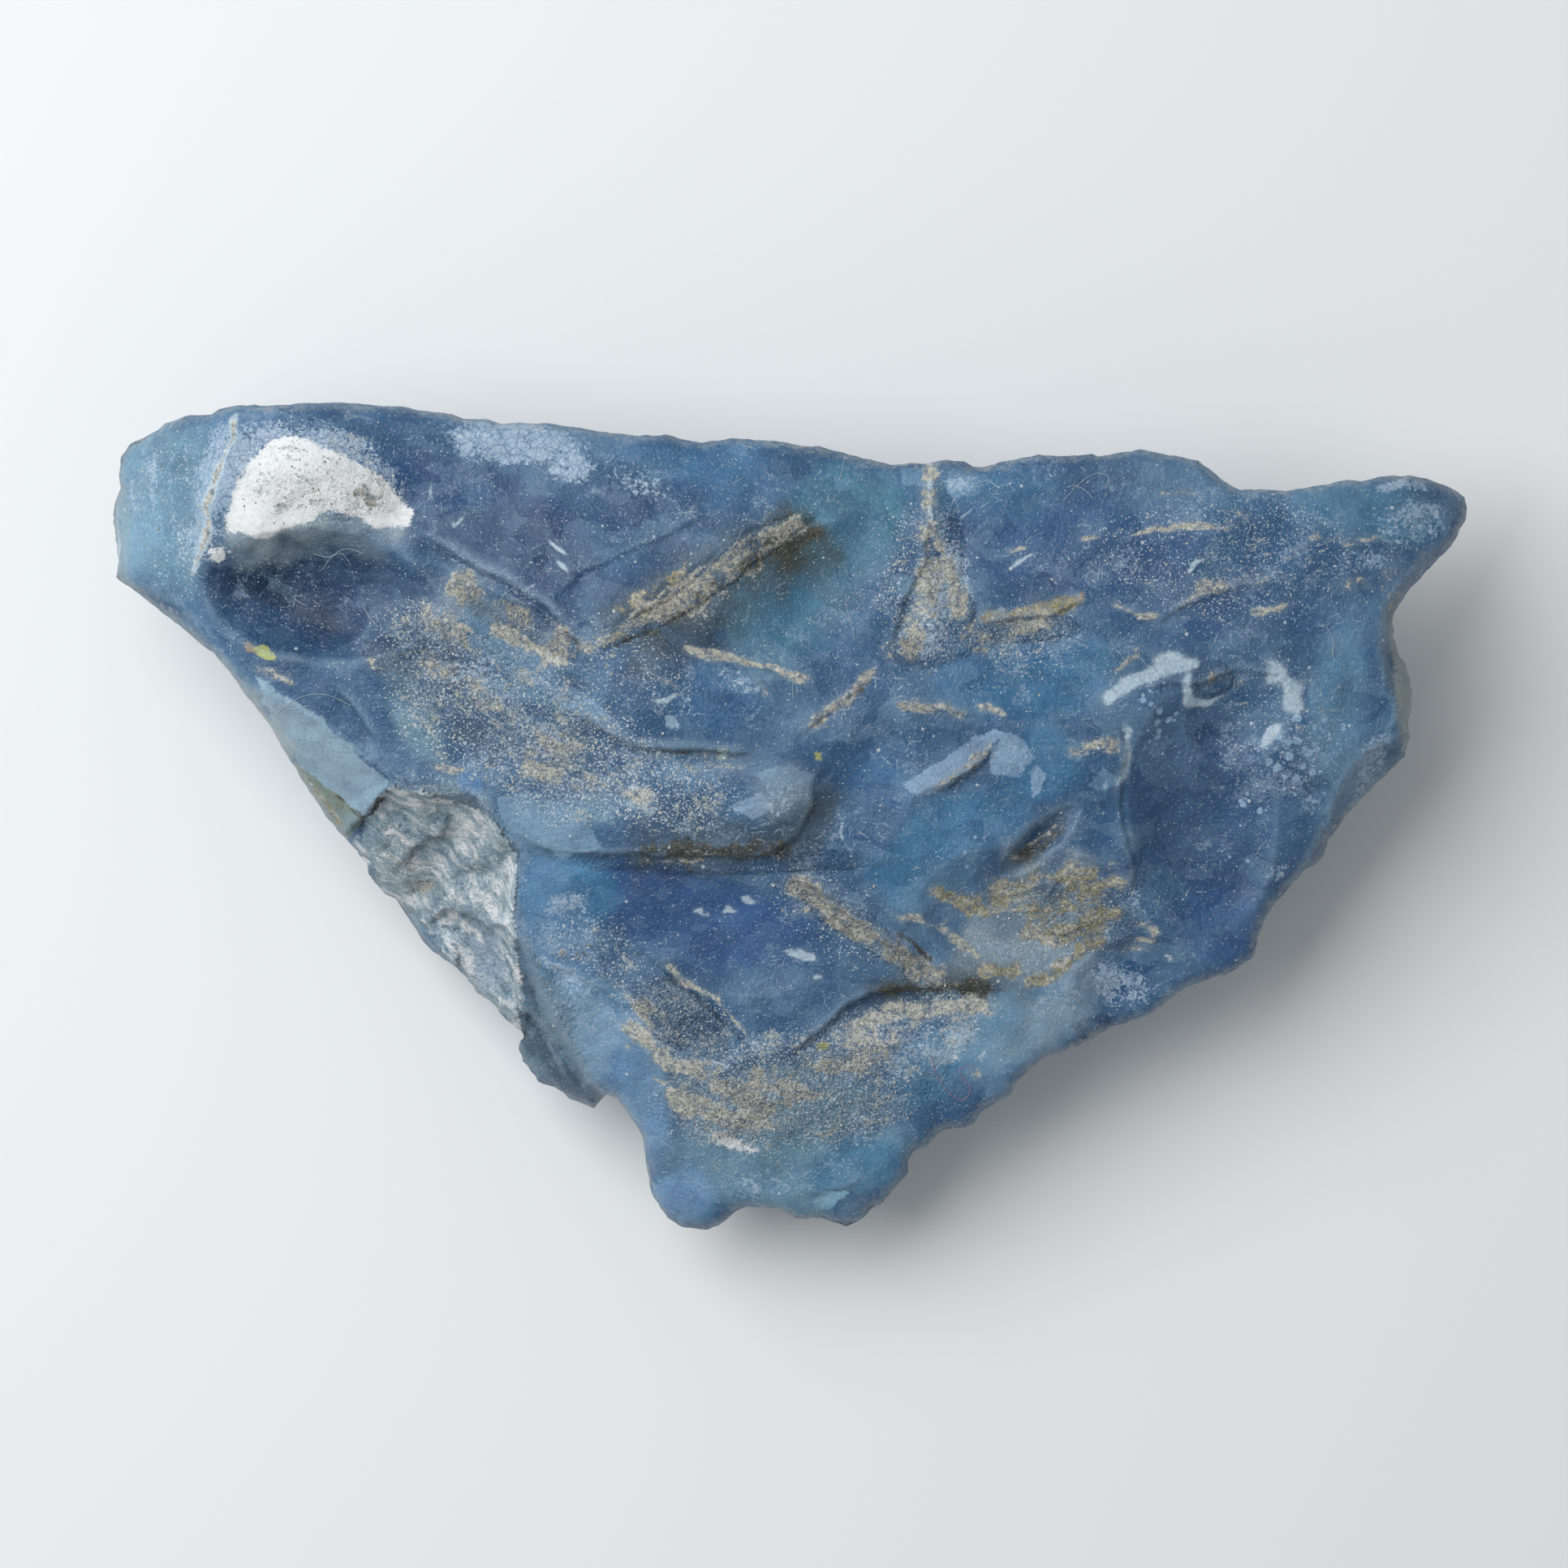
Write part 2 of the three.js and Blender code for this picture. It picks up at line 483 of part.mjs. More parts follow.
// The underside's planes and scars, flat on the floor in the middle.
function underHeight(x, y) {
  let climb = 0;
  for (const facet of UNDER_FACETS) {
    const heading = toRadians(facet.heading);
    const out = (x - PLAN_CENTRE[0]) * Math.cos(heading) + (y - PLAN_CENTRE[1]) * Math.sin(heading);
    climb = Math.max(climb, facet.rise * (out - facet.start));
  }
  if (climb === 0) return 0;
  let z = UNDER_HACKLE.height * hackle(x / UNDER_HACKLE.stretch, y / UNDER_HACKLE.stretch);
  for (const scoop of UNDER_SCOOPS) {
    z += scoopDepth(x, y, scoop);
  }
  for (const ledge of UNDER_LEDGES) {
    z += ledgeChange(x, y, ledge);
  }
  return Math.max(0, climb + z * Math.min(1, climb / UNDER_FADE));
}

// Distance from a point to the outer edge, and whether the point is inside it.
const CLOSED_EDGE = [...OUTER_EDGE, OUTER_EDGE[0]];
const depthInside = (x, y) => nearestOnLine(x, y, CLOSED_EDGE).distance;

function isInside(x, y, loop) {
  let inside = false;
  loop.forEach(([ax, ay], i) => {
    const [bx, by] = loop[(i + 1) % loop.length];
    if (ay > y !== by > y && x < ax + ((y - ay) * (bx - ax)) / (by - ay)) inside = !inside;
  });
  return inside;
}

// The two skins at a point this far inside the edge. They meet where the depth is 0.
function skinsAt(x, y, depth) {
  const face = upperHeight(x, y);
  const edge = Math.max(LEAST_EDGE_HEIGHT, face - EDGE_LIP);
  const top = Math.max(LEAST_EDGE_HEIGHT, face - EDGE_LIP * Math.exp(-depth / LIP_WIDTH));
  const wall = edge - WALL_RISE * depth;
  const gap = LEAST_THICKNESS * (1 - Math.exp(-depth));
  const under = Math.min(Math.max(underHeight(x, y), wall), top - gap);
  return { top, under: Math.max(0, under), edge };
}

// A fixed sequence of numbers between 0 and 1, so the stone is the same every time.
function makeRandom(seed) {
  let state = seed;
  return () => {
    state = (state * 1664525 + 1013904223) % 4294967296;
    return state / 4294967296;
  };
}

// Evenly spaced points along a line.
function walkLine(line, step) {
  const points = [];
  for (let i = 1; i < line.length; i += 1) {
    const [ax, ay] = line[i - 1];
    const [bx, by] = line[i];
    const count = Math.max(1, Math.round(Math.hypot(bx - ax, by - ay) / step));
    const heading = Math.atan2(by - ay, bx - ax);
    for (let k = 0; k < count; k += 1) {
      points.push({ x: ax + ((bx - ax) * k) / count, y: ay + ((by - ay) * k) / count, heading });
    }
  }
  return points;
}

// The plan points: outer edge, inset ring, pairs along every break, then a loose grid.
function makePlanPoints() {
  const random = makeRandom(STRAY_SEED);
  const rim = walkLine(CLOSED_EDGE, EDGE_STEP);
  const points = rim.map((spot) => ({ x: spot.x, y: spot.y, depth: 0 }));
  const addClear = (x, y, clearOfEdge, clearOfPoints) => {
    const depth = depthInside(x, y);
    if (depth < clearOfEdge || !isInside(x, y, OUTER_EDGE)) return;
    if (points.some((other) => Math.hypot(other.x - x, other.y - y) < clearOfPoints)) return;
    points.push({ x, y, depth });
  };
  for (const spot of rim) {
    const x = spot.x + INSET_RING * Math.sin(spot.heading);
    const y = spot.y - INSET_RING * Math.cos(spot.heading);
    addClear(x, y, CLEAR_OF_RING, CLEAR_OF_RING);
  }
  for (const { line } of [...FLANKS, ...LEDGES, ...UNDER_LEDGES]) {
    for (const spot of walkLine(line, LEDGE_STEP)) {
      for (const side of [-LEDGE_PAIR, LEDGE_PAIR]) {
        const x = spot.x - side * Math.sin(spot.heading);
        const y = spot.y + side * Math.cos(spot.heading);
        addClear(x, y, CLEAR_OF_RING, CLEAR_OF_PAIR);
      }
    }
  }
  for (const { line } of RIDGES) {
    walkLine(line, LEDGE_STEP).forEach((spot) => addClear(spot.x, spot.y, INSET_RING, INSET_RING));
  }
  const xs = OUTER_EDGE.map((corner) => corner[0]);
  const ys = OUTER_EDGE.map((corner) => corner[1]);
  const rowStep = (GRID_STEP * Math.sqrt(3)) / 2;
  let row = 0;
  for (let y = Math.min(...ys); y < Math.max(...ys); y += rowStep) {
    row += 1;
    for (let x = Math.min(...xs) + (row % 2) * GRID_STEP * 0.5; x < Math.max(...xs); x += GRID_STEP) {
      const strayX = (random() * 2 - 1) * GRID_JITTER * GRID_STEP;
      const strayY = (random() * 2 - 1) * GRID_JITTER * GRID_STEP;
      addClear(x + strayX, y + strayY, CLEAR_OF_EDGE, CLEAR_OF_LEDGE);
    }
  }
  return points;
}

// Circle through three plan points, as its centre and squared radius.
function circleThrough(a, b, c) {
  const bx = b.x - a.x;
  const by = b.y - a.y;
  const cx = c.x - a.x;
  const cy = c.y - a.y;
  const twice = 2 * (bx * cy - by * cx);
  const ux = (cy * (bx * bx + by * by) - by * (cx * cx + cy * cy)) / twice;
  const uy = (bx * (cx * cx + cy * cy) - cx * (bx * bx + by * by)) / twice;
  return { x: a.x + ux, y: a.y + uy, squared: ux * ux + uy * uy };
}

// Delaunay triangles of the plan points, added one at a time inside one very large triangle.
function triangulate(points) {
  const far = 1000; // the first triangle's corners lie well outside the plan
  const n = points.length;
  const all = [...points, { x: -far, y: -far }, { x: far, y: -far }, { x: 0, y: far }];
  const makeTriangle = (...corners) => {
    return { corners, circle: circleThrough(...corners.map((corner) => all[corner])) };
  };
  let triangles = [makeTriangle(n, n + 1, n + 2)];
  points.forEach((point, index) => {
    const kept = [];
    const open = new Map();
    for (const triangle of triangles) {
      const dx = point.x - triangle.circle.x;
      const dy = point.y - triangle.circle.y;
      if (dx * dx + dy * dy >= triangle.circle.squared) {
        kept.push(triangle);
        continue;
      }
      triangle.corners.forEach((from, k) => {
        const to = triangle.corners[(k + 1) % 3];
        if (!open.delete(`${to},${from}`)) open.set(`${from},${to}`, [from, to]);
      });
    }
    for (const [from, to] of open.values()) {
      kept.push(makeTriangle(from, to, index));
    }
    triangles = kept;
  });
  return triangles.map((triangle) => triangle.corners).filter(([a, b, c]) => {
    if (Math.max(a, b, c) >= n) return false;
    const x = (all[a].x + all[b].x + all[c].x) / 3;
    const y = (all[a].y + all[b].y + all[c].y) / 3;
    return isInside(x, y, OUTER_EDGE);
  });
}

// The stone: upper skin and underside over the same plan triangles, sharing the edge's points.
function makeStoneGeometry() {
  const plan = makePlanPoints();
  const triangles = triangulate(plan);
  const positions = [];
  const put = (corner, skin) => {
    const point = plan[corner];
    const skins = skinsAt(point.x, point.y, point.depth);
    const z = point.depth === 0 ? skins.edge : skins[skin];
    positions.push(point.x, point.y, z);
  };
  for (const [a, b, c] of triangles) {
    [a, b, c].forEach((corner) => put(corner, "top"));
    [a, c, b].forEach((corner) => put(corner, "under"));
  }
  const geometry = new THREE.BufferGeometry();
  geometry.setAttribute("position", new THREE.Float32BufferAttribute(positions, 3));
  return geometry;
}

const geometry = makeStoneGeometry();
geometry.computeVertexNormals();
const material = new THREE.MeshStandardMaterial({ color: BLUE_OPAL, roughness: 0.42, metalness: 0 });
const opal = new THREE.Mesh(geometry, material);
opal.name = "opal";

const stone = new THREE.Group();
stone.add(opal);

export default stone;
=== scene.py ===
# %% [markdown]
# # A rough piece of blue opal
# The object is one broken stone, about 62 mm long, 38 mm wide and 15 mm high. It lies on a
# small flat spot. Common opal has no crystals: it is a hard gel, so it breaks like glass, in
# dished scars with thin steps and sharp lips, and light goes a little way into it.
# A solid of the stone with its large forms is already there as the frame. This lesson builds
# a much finer skin on the same forms, then paints and lights it.

# %% Frame and units
import math

import bmesh
import bpy
import numpy as np
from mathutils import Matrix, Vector
from mathutils.bvhtree import BVHTree
from mathutils.geometry import delaunay_2d_cdt


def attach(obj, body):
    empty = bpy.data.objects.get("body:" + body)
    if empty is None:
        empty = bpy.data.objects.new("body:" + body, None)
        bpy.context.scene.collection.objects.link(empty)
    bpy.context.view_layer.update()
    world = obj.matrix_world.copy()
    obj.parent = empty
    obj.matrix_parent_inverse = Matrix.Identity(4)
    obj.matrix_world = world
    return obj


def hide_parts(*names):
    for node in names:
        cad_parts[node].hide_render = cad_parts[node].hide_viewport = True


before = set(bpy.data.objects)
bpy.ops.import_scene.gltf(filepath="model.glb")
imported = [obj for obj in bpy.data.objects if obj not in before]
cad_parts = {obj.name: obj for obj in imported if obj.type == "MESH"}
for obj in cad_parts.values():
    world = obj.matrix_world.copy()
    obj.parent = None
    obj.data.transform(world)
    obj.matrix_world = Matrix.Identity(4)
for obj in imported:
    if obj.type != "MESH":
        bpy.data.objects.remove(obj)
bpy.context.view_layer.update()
solid_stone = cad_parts["opal"]
MM = 0.001
SEED = 7

# %% [markdown]
# ## The large forms
# Every form is written in millimetres as seen from above. Spot heights carry a smooth
# thin-plate surface. Flanks fall away outside a line. Scoops are dished scars with a crisp
# rim. Ledges are steps whose high side is on the left hand of their line. Ridges stand proud.
# They could be sculpted by hand, but named forms can be read, moved and measured one by one,
# and they are the same forms that the solid has.

# %% Spot heights
SPOT_HEIGHTS = [
    (-31, 14, 9.4), (-29.5, 17.5, 10.4), (-26.3, 14.5, 12.9), (-25, 18.8, 12.6), (-22, 15.8, 14.2),
    (-20, 18.9, 12.9), (-13, 18, 12.8), (-5, 17.3, 12.9), (3, 16.5, 12.4), (12, 16.6, 12.4),
    (19, 16, 12.1), (23, 15, 11.4), (29, 15.6, 9.6), (31, 14, 8.8), (28, 11, 10.6), (27.4, 7, 11.2),
    (27, 3, 10.4), (23.6, -2, 9), (20.5, -6.8, 8.4), (15, -9.3, 8.2), (10, -12.3, 8.2),
    (5.4, -15.5, 7.6), (2.5, -18.5, 6.4), (-4, -18.8, 6.2), (-6.6, -15.5, 7.2), (-8.6, -12, 8.6),
    (-11.5, -7.5, 10), (-13, -2, 11.6), (-15, 1.2, 12.4), (-18.5, 2.5, 12.2), (-23, 5.2, 12.2),
    (-27.5, 9.5, 11.4), (-30.6, 11.2, 9.6), (-21.5, 10.5, 12.9), (-14, 13.5, 13.8),
    (-13, 7.5, 14.1), (-7, 5.5, 14.4), (-7, 12.5, 14.2), (0, 14, 13.6), (1, 9, 13.5),
    (3, 4, 13.6), (-5, 1, 13.4), (-9, -4, 11.6), (-3, -6, 11), (3, -2, 12.4), (8, 2.5, 13),
    (11, 7, 13), (11, 12, 13.1), (18, 12.5, 12.7), (17, 7, 12.7), (23, 9, 12.1), (19, 0, 10.9),
    (12, -3, 11.2), (7, -8.6, 9.9), (0, -11, 9.3), (-2, -15, 8.2),
]
print("spot heights:", len(SPOT_HEIGHTS))

# %% [markdown]
# ### Flanks and scoops
# A flank falls by its drop at its line, then by its rise for each mm, and beyond a second
# distance by its second rise. A scoop is a turned ellipse, deepest in its middle.

# %% Flanks and scoops
FLANKS = [
    dict(name="left bevel", drop=0.15, rise=1, second_from=2.5, second_rise=1.5, line=((-31.6, 11.2),
        (-29.6, 10.6), (-28, 9.8), (-26.8, 8.7), (-25.8, 7), (-23.9, 5.6), (-22.4, 5), (-21.07, 4),
        (-19.6, 2.95), (-18.3, 2), (-18.2, 1.4)), beyond=((-19.7, 0), (-24, -4.3), (-40, 0), (-40, 11))),
    dict(name="rough flank", drop=0.9, ease=0.8, rise=0.95, second_from=3.6, second_rise=1.15,
        line=((-18.2, 1.4), (-16.6, 1.1), (-14.3, 1.1), (-13.9, 0.6), (-13.4, -0.7), (-12.2, -1.4),
        (-12.7, -3.4), (-12.5, -4.7), (-11.8, -6.8), (-10.8, -9.2), (-10, -10.5), (-9.3, -11.8),
        (-8.5, -12.6), (-7.6, -13.4)), beyond=((-7.6, -25), (-40, -25), (-24, -4.3), (-19.7, 0))),
    dict(name="left end bevel", drop=0.1, rise=1.4, second_from=9, second_rise=1.4, line=((-30.2, 10.2),
        (-30.35, 11.6), (-30.5, 14), (-30.6, 15.4), (-31.3, 17)), beyond=((-40, 17), (-40, 10))),
    dict(name="right side bevel", drop=0.1, rise=1.4, second_from=9, second_rise=1.4, line=((31.4, 13.6),
        (30.3, 12.8), (28.9, 11.9), (27.87, 10.6), (27.1, 9.2), (26.95, 7.6), (27.5, 5.95), (27.95, 4.2),
        (28.9, 3.2)), beyond=((40, 3), (40, 13.6))),
    dict(name="right lower facet", drop=0.3, rise=1.3, second_from=9, second_rise=1.3, line=((29, 4),
        (28, 3.75), (26.9, 3.4), (25.67, 2.3), (25, 1), (24.8, 0.1), (24, -1.5), (23.2, -2.9)),
        beyond=((24, -6), (40, -6), (40, 4))),
]

SCOOPS = [
    # name, middle, half widths, turn, depth
    ("dark bowl", (-21.4, 10.2), (5.4, 3), -6, 1.5),
    ("left end facet", (-29.3, 14.2), (3.6, 2.2), 85, 0.3),
    ("upper left plane", (-13.5, 14.6), (7.5, 2.6), -14, 0.35),
    ("teal facet", (0.4, 10), (5, 2.6), 38, 0.6),
    ("upper right plane", (15, 12.6), (8.5, 3), 2, 0.3),
    ("middle facet", (11, 6.4), (5, 2.2), -4, 0.35),
    ("slate scar", (18.8, 0.4), (5.6, 3.4), 96, 1.3),
    ("scar upper bay", (20.3, 4.6), (2.4, 2.2), 0, 0.6),
    ("low scoop", (15.4, -7.4), (2.9, 1.9), 30, 0.7),
    ("strata shell", (11.2, -4.4), (5.4, 3.2), -8, 1.1),
    ("crescent pit", (11.3, -1), (2.3, 0.75), 42, 0.8),
    ("indigo facet", (-4.6, -5), (6.2, 2.9), -12, 0.8),
    ("middle blue dip", (3.2, 1.2), (4.2, 2.2), 70, 0.5),
    ("tongue dip", (1, -14.8), (4.4, 2.4), 12, 0.4),
    ("arc-lined shell", (-13.6, -6.4), (2.6, 1.5), -52, 0.7),
]
print("flanks:", len(FLANKS), "scoops:", len(SCOOPS))

# %% [markdown]
# ### Ledges and ridges
# A ledge sinks by its drop on the low side, which dies away over its front, and stands up by
# its rise on the high side, which dies away over its back.

# %% Ledges and ridges
LEDGES = [
    dict(name="bowl brow", share=0.6, soft=0.9, drop=0.7, front=1.5, rise=0.3, back=2.6,
        line=((-25.6, 11.7), (-23, 12.9), (-21.5, 13.2), (-20, 13.1), (-18.5, 12.9), (-17.2, 13.1))),
    dict(name="chalk step", soft=0.3, drop=0.25, front=0.8, rise=0.1, back=1, line=((-20.2, 15.1),
        (-19.3, 15), (-18.6, 14.4), (-17.5, 13.8))),
    dict(name="upper left ridge", share=0.5, soft=0.15, drop=1, front=1.6, rise=0.35, back=2.4,
        line=((-17, 13.1), (-15, 11.8), (-13, 10.8), (-11.1, 9.6), (-9.4, 8))),
    dict(name="tan shelf", share=0.5, soft=0.2, drop=0.6, front=1.4, rise=0.2, back=1.2,
        line=((-15.5, 10.4), (-14, 9.7), (-12.5, 8.8), (-11, 8), (-9.6, 7.3))),
    dict(name="second lip", share=0.35, soft=0.1, drop=0.35, front=1.2, rise=0.15, back=1.4,
        line=((-11.2, 9.6), (-9.5, 11), (-7.5, 12.1), (-5.5, 13), (-3, 14.3))),
    dict(name="lens crevice upper lip", share=0.18, soft=0.2, drop=0.85, front=1.9, rise=0.35, back=2.2,
        line=((-9.5, 7.8), (-8, 8.9), (-6, 10.3), (-4, 11.6), (-2, 13), (0, 13.9), (1.6, 14.3))),
    dict(name="lens crevice floor", share=0.15, soft=0.35, drop=0.75, front=1.5, rise=0, back=0.6,
        line=((-8.8, 7.4), (-7, 7.9), (-5, 8.8), (-3, 10.4), (-1, 11.9), (0.2, 12.5), (1.8, 13.4))),
    dict(name="cream lip", drop=0.35, front=1, rise=0.1, back=0.9, line=((1.4, 6.1), (-0.5, 6.6),
        (-2.2, 7.2), (-4, 7.5), (-5.2, 8))),
    dict(name="vein left wall", drop=0.55, front=1.1, rise=0.1, back=0.8, line=((3.9, 7), (4.7, 8.2),
        (5.1, 9.8), (5.9, 11.2), (6.3, 12), (6.3, 13.2))),
    dict(name="vein right wall", drop=0.35, front=0.8, rise=0.15, back=0.8, line=((6.4, 14.2),
        (6.8, 12.8), (7.4, 11.6), (7.9, 10), (8, 8.6))),
    dict(name="ochre ledge", drop=0.7, front=1.8, rise=0.15, back=1.6, line=((8, 8.9), (10, 9.05),
        (12, 9.3), (13.2, 9.8), (14.3, 10.1))),
    dict(name="cream step", drop=0.35, front=1.2, rise=0.1, back=1.2, line=((14.2, 9.8), (16.8, 9),
        (17.6, 9.5), (18.8, 10.1), (20.5, 10.6), (22.4, 10.7))),
    dict(name="flake ledge", share=0.6, drop=0.8, front=1.6, rise=0.25, back=2, line=((-10.2, 5.2),
        (-8.4, 4), (-7.2, 3.3), (-5.5, 3.2), (-3.3, 3.1), (-1.2, 3))),
    dict(name="dirt ledge", share=0.25, drop=1.1, front=1.9, rise=0.2, back=2.2, line=((-12.6, -0.7),
        (-10.6, -1.6), (-9, -1.6), (-6, -1.65), (-3, -1.7), (-0.8, -1.6), (0.3, -0.8), (1.1, 0.6),
        (1.2, 2.4))),
    dict(name="tan lip", drop=0.45, front=1, rise=0.1, back=1, line=((-0.2, 3.4), (0.8, 4.2), (2, 5.1),
        (3.1, 5.9), (4.2, 7))),
    dict(name="lavender flake", share=0.5, drop=0.6, front=1.1, rise=0.25, back=1.2, line=((5.4, 1),
        (7.4, 1.7), (8.6, 2.6), (9.6, 3.6))),
    dict(name="centre streak", drop=0.25, front=0.8, rise=0.1, back=0.8, line=((4.4, 5.1), (6.5, 5),
        (8.3, 4.7), (10, 4.6))),
    dict(name="scar left rim", share=0.25, drop=0.7, front=1.8, rise=0.15, back=1.6, line=((15.4, -4.4),
        (15.8, -2.4), (15.2, -0.4), (15, 1.4), (15.4, 3.2), (14.8, 5.2))),
    dict(name="scar upper rim", drop=0.45, front=1.2, rise=0.1, back=1.2, line=((15, 5.5), (17.2, 6.2),
        (18.7, 6.2), (20.4, 6.8), (22.2, 6.6), (23.2, 5))),
    dict(name="strata upper edge", share=0.2, drop=0.45, front=1, rise=0.1, back=1, line=((6.2, -3.2),
        (9, -3.6), (10.8, -3.3), (12.4, -2.7), (13.6, -1.6))),
    dict(name="strata middle edge", share=0.2, drop=0.35, front=0.8, rise=0.1, back=0.8, line=((10.2, -5),
        (12.2, -5.4), (13.6, -5), (15.2, -4.2))),
    dict(name="strata lower edge", share=0.2, drop=0.5, front=1.1, rise=0.1, back=0.9, line=((9.6, -7.6),
        (11, -7.4), (12.6, -6.8), (14.2, -5.6), (16.8, -5.8))),
    dict(name="tan ramp edge", share=0.35, drop=0.7, front=1.3, rise=0.15, back=1.1, line=((-0.6, -2),
        (0.5, -2.7), (2, -4), (3.5, -5), (5, -6), (6.8, -6.9))),
    dict(name="deep scarp", share=0.3, drop=1.5, front=2.4, rise=0.3, back=2.2, line=((-0.4, -10.9),
        (1.2, -9.8), (2.4, -8.7), (3.6, -8), (5, -7.75), (7.5, -7.75), (10.4, -7.8))),
    dict(name="left valley wall", share=0.35, drop=0.8, front=1.4, rise=0.2, back=1.4,
        line=((-1.4, -10.9), (-2.4, -9.9), (-3.6, -8.8), (-5, -7.7), (-6.4, -6.6))),
    dict(name="light blue step", share=0.45, drop=0.45, front=1.3, rise=0.15, back=1.2, line=((-12, -6.3),
        (-10, -7), (-8.4, -8), (-6.8, -9))),
    dict(name="flank rib", share=0.9, drop=0.7, front=1.4, rise=0.3, back=1.2, line=((-18.6, -2.4),
        (-17.2, -1.2), (-16, -0.6), (-15.3, 0.6))),
    dict(name="flank shoulder", share=0.9, drop=0.8, front=1.5, rise=0.3, back=1.4, line=((-17.2, -5.2),
        (-15.9, -4.2), (-14.8, -4.4), (-13.9, -4.9), (-12.6, -4.8))),
    dict(name="low flank rib", share=0.9, drop=0.5, front=1, rise=0.25, back=1.1, line=((-13, -9.2),
        (-12, -8.9), (-11.4, -10), (-10.8, -11.3), (-10.2, -12.4))),
    dict(name="window step", share=1.0, drop=0.45, front=0.9, rise=0, back=1, line=((-20.4, -0.7),
        (-19.7, 0), (-18.85, 0.8), (-18.2, 1.5))),
    dict(name="layer step", share=0.8, drop=0.4, front=0.9, rise=0.1, back=1, line=((-21.1, 6.2),
        (-20, 5.3), (-19.3, 4.2), (-18.6, 3))),
]

RIDGES = [
    dict(name="lens crevice fill", height=0.08, width=0.55, line=((-9, 8), (-7, 8.9), (-5, 10),
        (-3, 11.3), (-1, 12.7), (1.2, 13.6))),
    dict(name="left end arris", height=0.55, width=1.1, line=((-25.3, 18.6), (-25.4, 17), (-25.9, 15.8),
        (-26.5, 14.2), (-26.6, 12.8), (-27.6, 10.6))),
    dict(name="chalk crest", height=0.5, width=1.8, line=((-25, 14.4), (-23.4, 15.9), (-21.4, 16),
        (-19.2, 14.9), (-17.6, 13.9))),
]
print("ledges:", len(LEDGES), "ridges:", len(RIDGES))

# %% [markdown]
# ### The underside
# The underside is a flat spot with facets that climb away from it all round. Scars and
# shelves break the facets up. Both skins share the hackle, the low ripple of a broken gel.

# %% Underside
UNDER_FACETS = [
    # name, heading, where it starts from the middle of the plan, rise per mm
    ("back facet", 88, 4.4, 1),
    ("back left facet", 118, 7.5, 0.5),
    ("left end facet", 160, 11, 0.26),
    ("left flank facet", 226, 7, 0.29),
    ("tongue facet", 262, 6.6, 0.27),
    ("front right facet", 306, 5.4, 0.46),
    ("right facet", 350, 9.5, 0.36),
    ("horn facet", 26, 11, 0.28),
    ("back right facet", 64, 7.2, 0.47),
]

UNDER_SCOOPS = [
    # name, middle, half widths, turn, height
    ("tongue scar", (-0.5, -12.2), (5.6, 3.6), 20, 1.3),
    ("front right scar", (13.5, -3.4), (6, 3.4), 38, 1.5),
    ("horn scar", (22.5, 9.5), (5, 3.4), 30, 1.2),
    ("left end scar", (-23.5, 12.4), (5.2, 3.2), 160, 1.3),
    ("back scar", (-4.5, 13.6), (5.4, 2.2), 4, 1),
    ("back right scar", (8.6, 13), (4.2, 2), -8, 0.8),
    ("left flank scar", (-14.6, 0.4), (4.2, 2.2), 130, 0.5),
]

UNDER_LEDGES = [
    dict(name="back shelf", share=1.0, drop=0.7, front=2.4, rise=0.5, back=2, line=((-25, 14.6),
        (-20, 13.6), (-14, 14.2), (-8, 12.2), (-1, 12.6), (5, 11.4))),
    dict(name="back right shelf", share=1.0, drop=0.6, front=2, rise=0.4, back=1.6, line=((8, 13.6),
        (12, 12.2), (17, 12.8), (22, 11))),
    dict(name="front right shelf", share=1.0, drop=0.7, front=2.2, rise=0.5, back=1.8, line=((22.5, 2.6),
        (18, -1.4), (14.5, -3), (10, -7.4), (5.6, -9))),
    dict(name="tongue shelf", share=1.0, drop=0.6, front=2, rise=0.4, back=1.6, line=((2.8, -12.6),
        (-0.6, -11), (-4.4, -11.6))),
    dict(name="left shelf", share=1.0, drop=0.5, front=2, rise=0.3, back=1.6, line=((-12, -4.6),
        (-14.6, -0.6), (-17.4, 1.6), (-19.6, 6), (-23.4, 8.6))),
]

HACKLE = [
    # turn, length and height of the wave
    (20, 5.3, 0.1),
    (75, 3.1, 0.07),
    (131, 4.1, 0.08),
    (168, 2.3, 0.05),
]

UNDER_HACKLE = {"stretch": 1.9, "height": 2}  # broader and higher on the underside
UNDER_FADE = 1.5  # the underside's breaks grow over this height above the floor
PLAN_CENTRE = (0.2, 3.4)  # where the headings of the facets start
EDGE_LIP = 0.7  # the outer edge lies this far below the upper skin beside it
LIP_WIDTH = 0.22  # mm, over which that lip rounds over
WALL_RISE = 3.2  # how steeply the side walls fall away under the edge
LEAST_THICKNESS = 0.9  # mm between the skins
LOWEST_EDGE = 1.2  # mm above the floor
LEDGE_SPREAD = 1.8  # a step dies away over its length times this
LEDGE_SHARE = 0.35  # share of a step's height in the fine skin unless it says otherwise
TAPER = 2.2  # ledges run out to nothing over this length at their ends
STEP_SOFTNESS = 0.06  # mm, how far a ledge's lip is rounded unless it says otherwise
RISE_SHARE = 0.2  # share of its drop by which a ledge's lip stands up unless it says otherwise
LEDGE_REACH = 4.0  # a ledge is left out beyond this many of its spreads
FLANK_START = 0.3  # how far along its smooth step a flank begins at its line
HACKLE_BENDS = {"length": 2.7, "turn": 1.4}  # the waves of the hackle wander this slowly and far
HACKLE_SHARE = 0.5  # share of the hackle's heights that is kept
print("facets:", len(UNDER_FACETS), "scars:", len(UNDER_SCOOPS), "shelves:", len(UNDER_LEDGES))

# %% [markdown]
# ## Fine steps
# Thin shells break off in series, so many small steps lie beside the large ones. They are
# too low for the solid. Each has its share, drop and front, then its line.

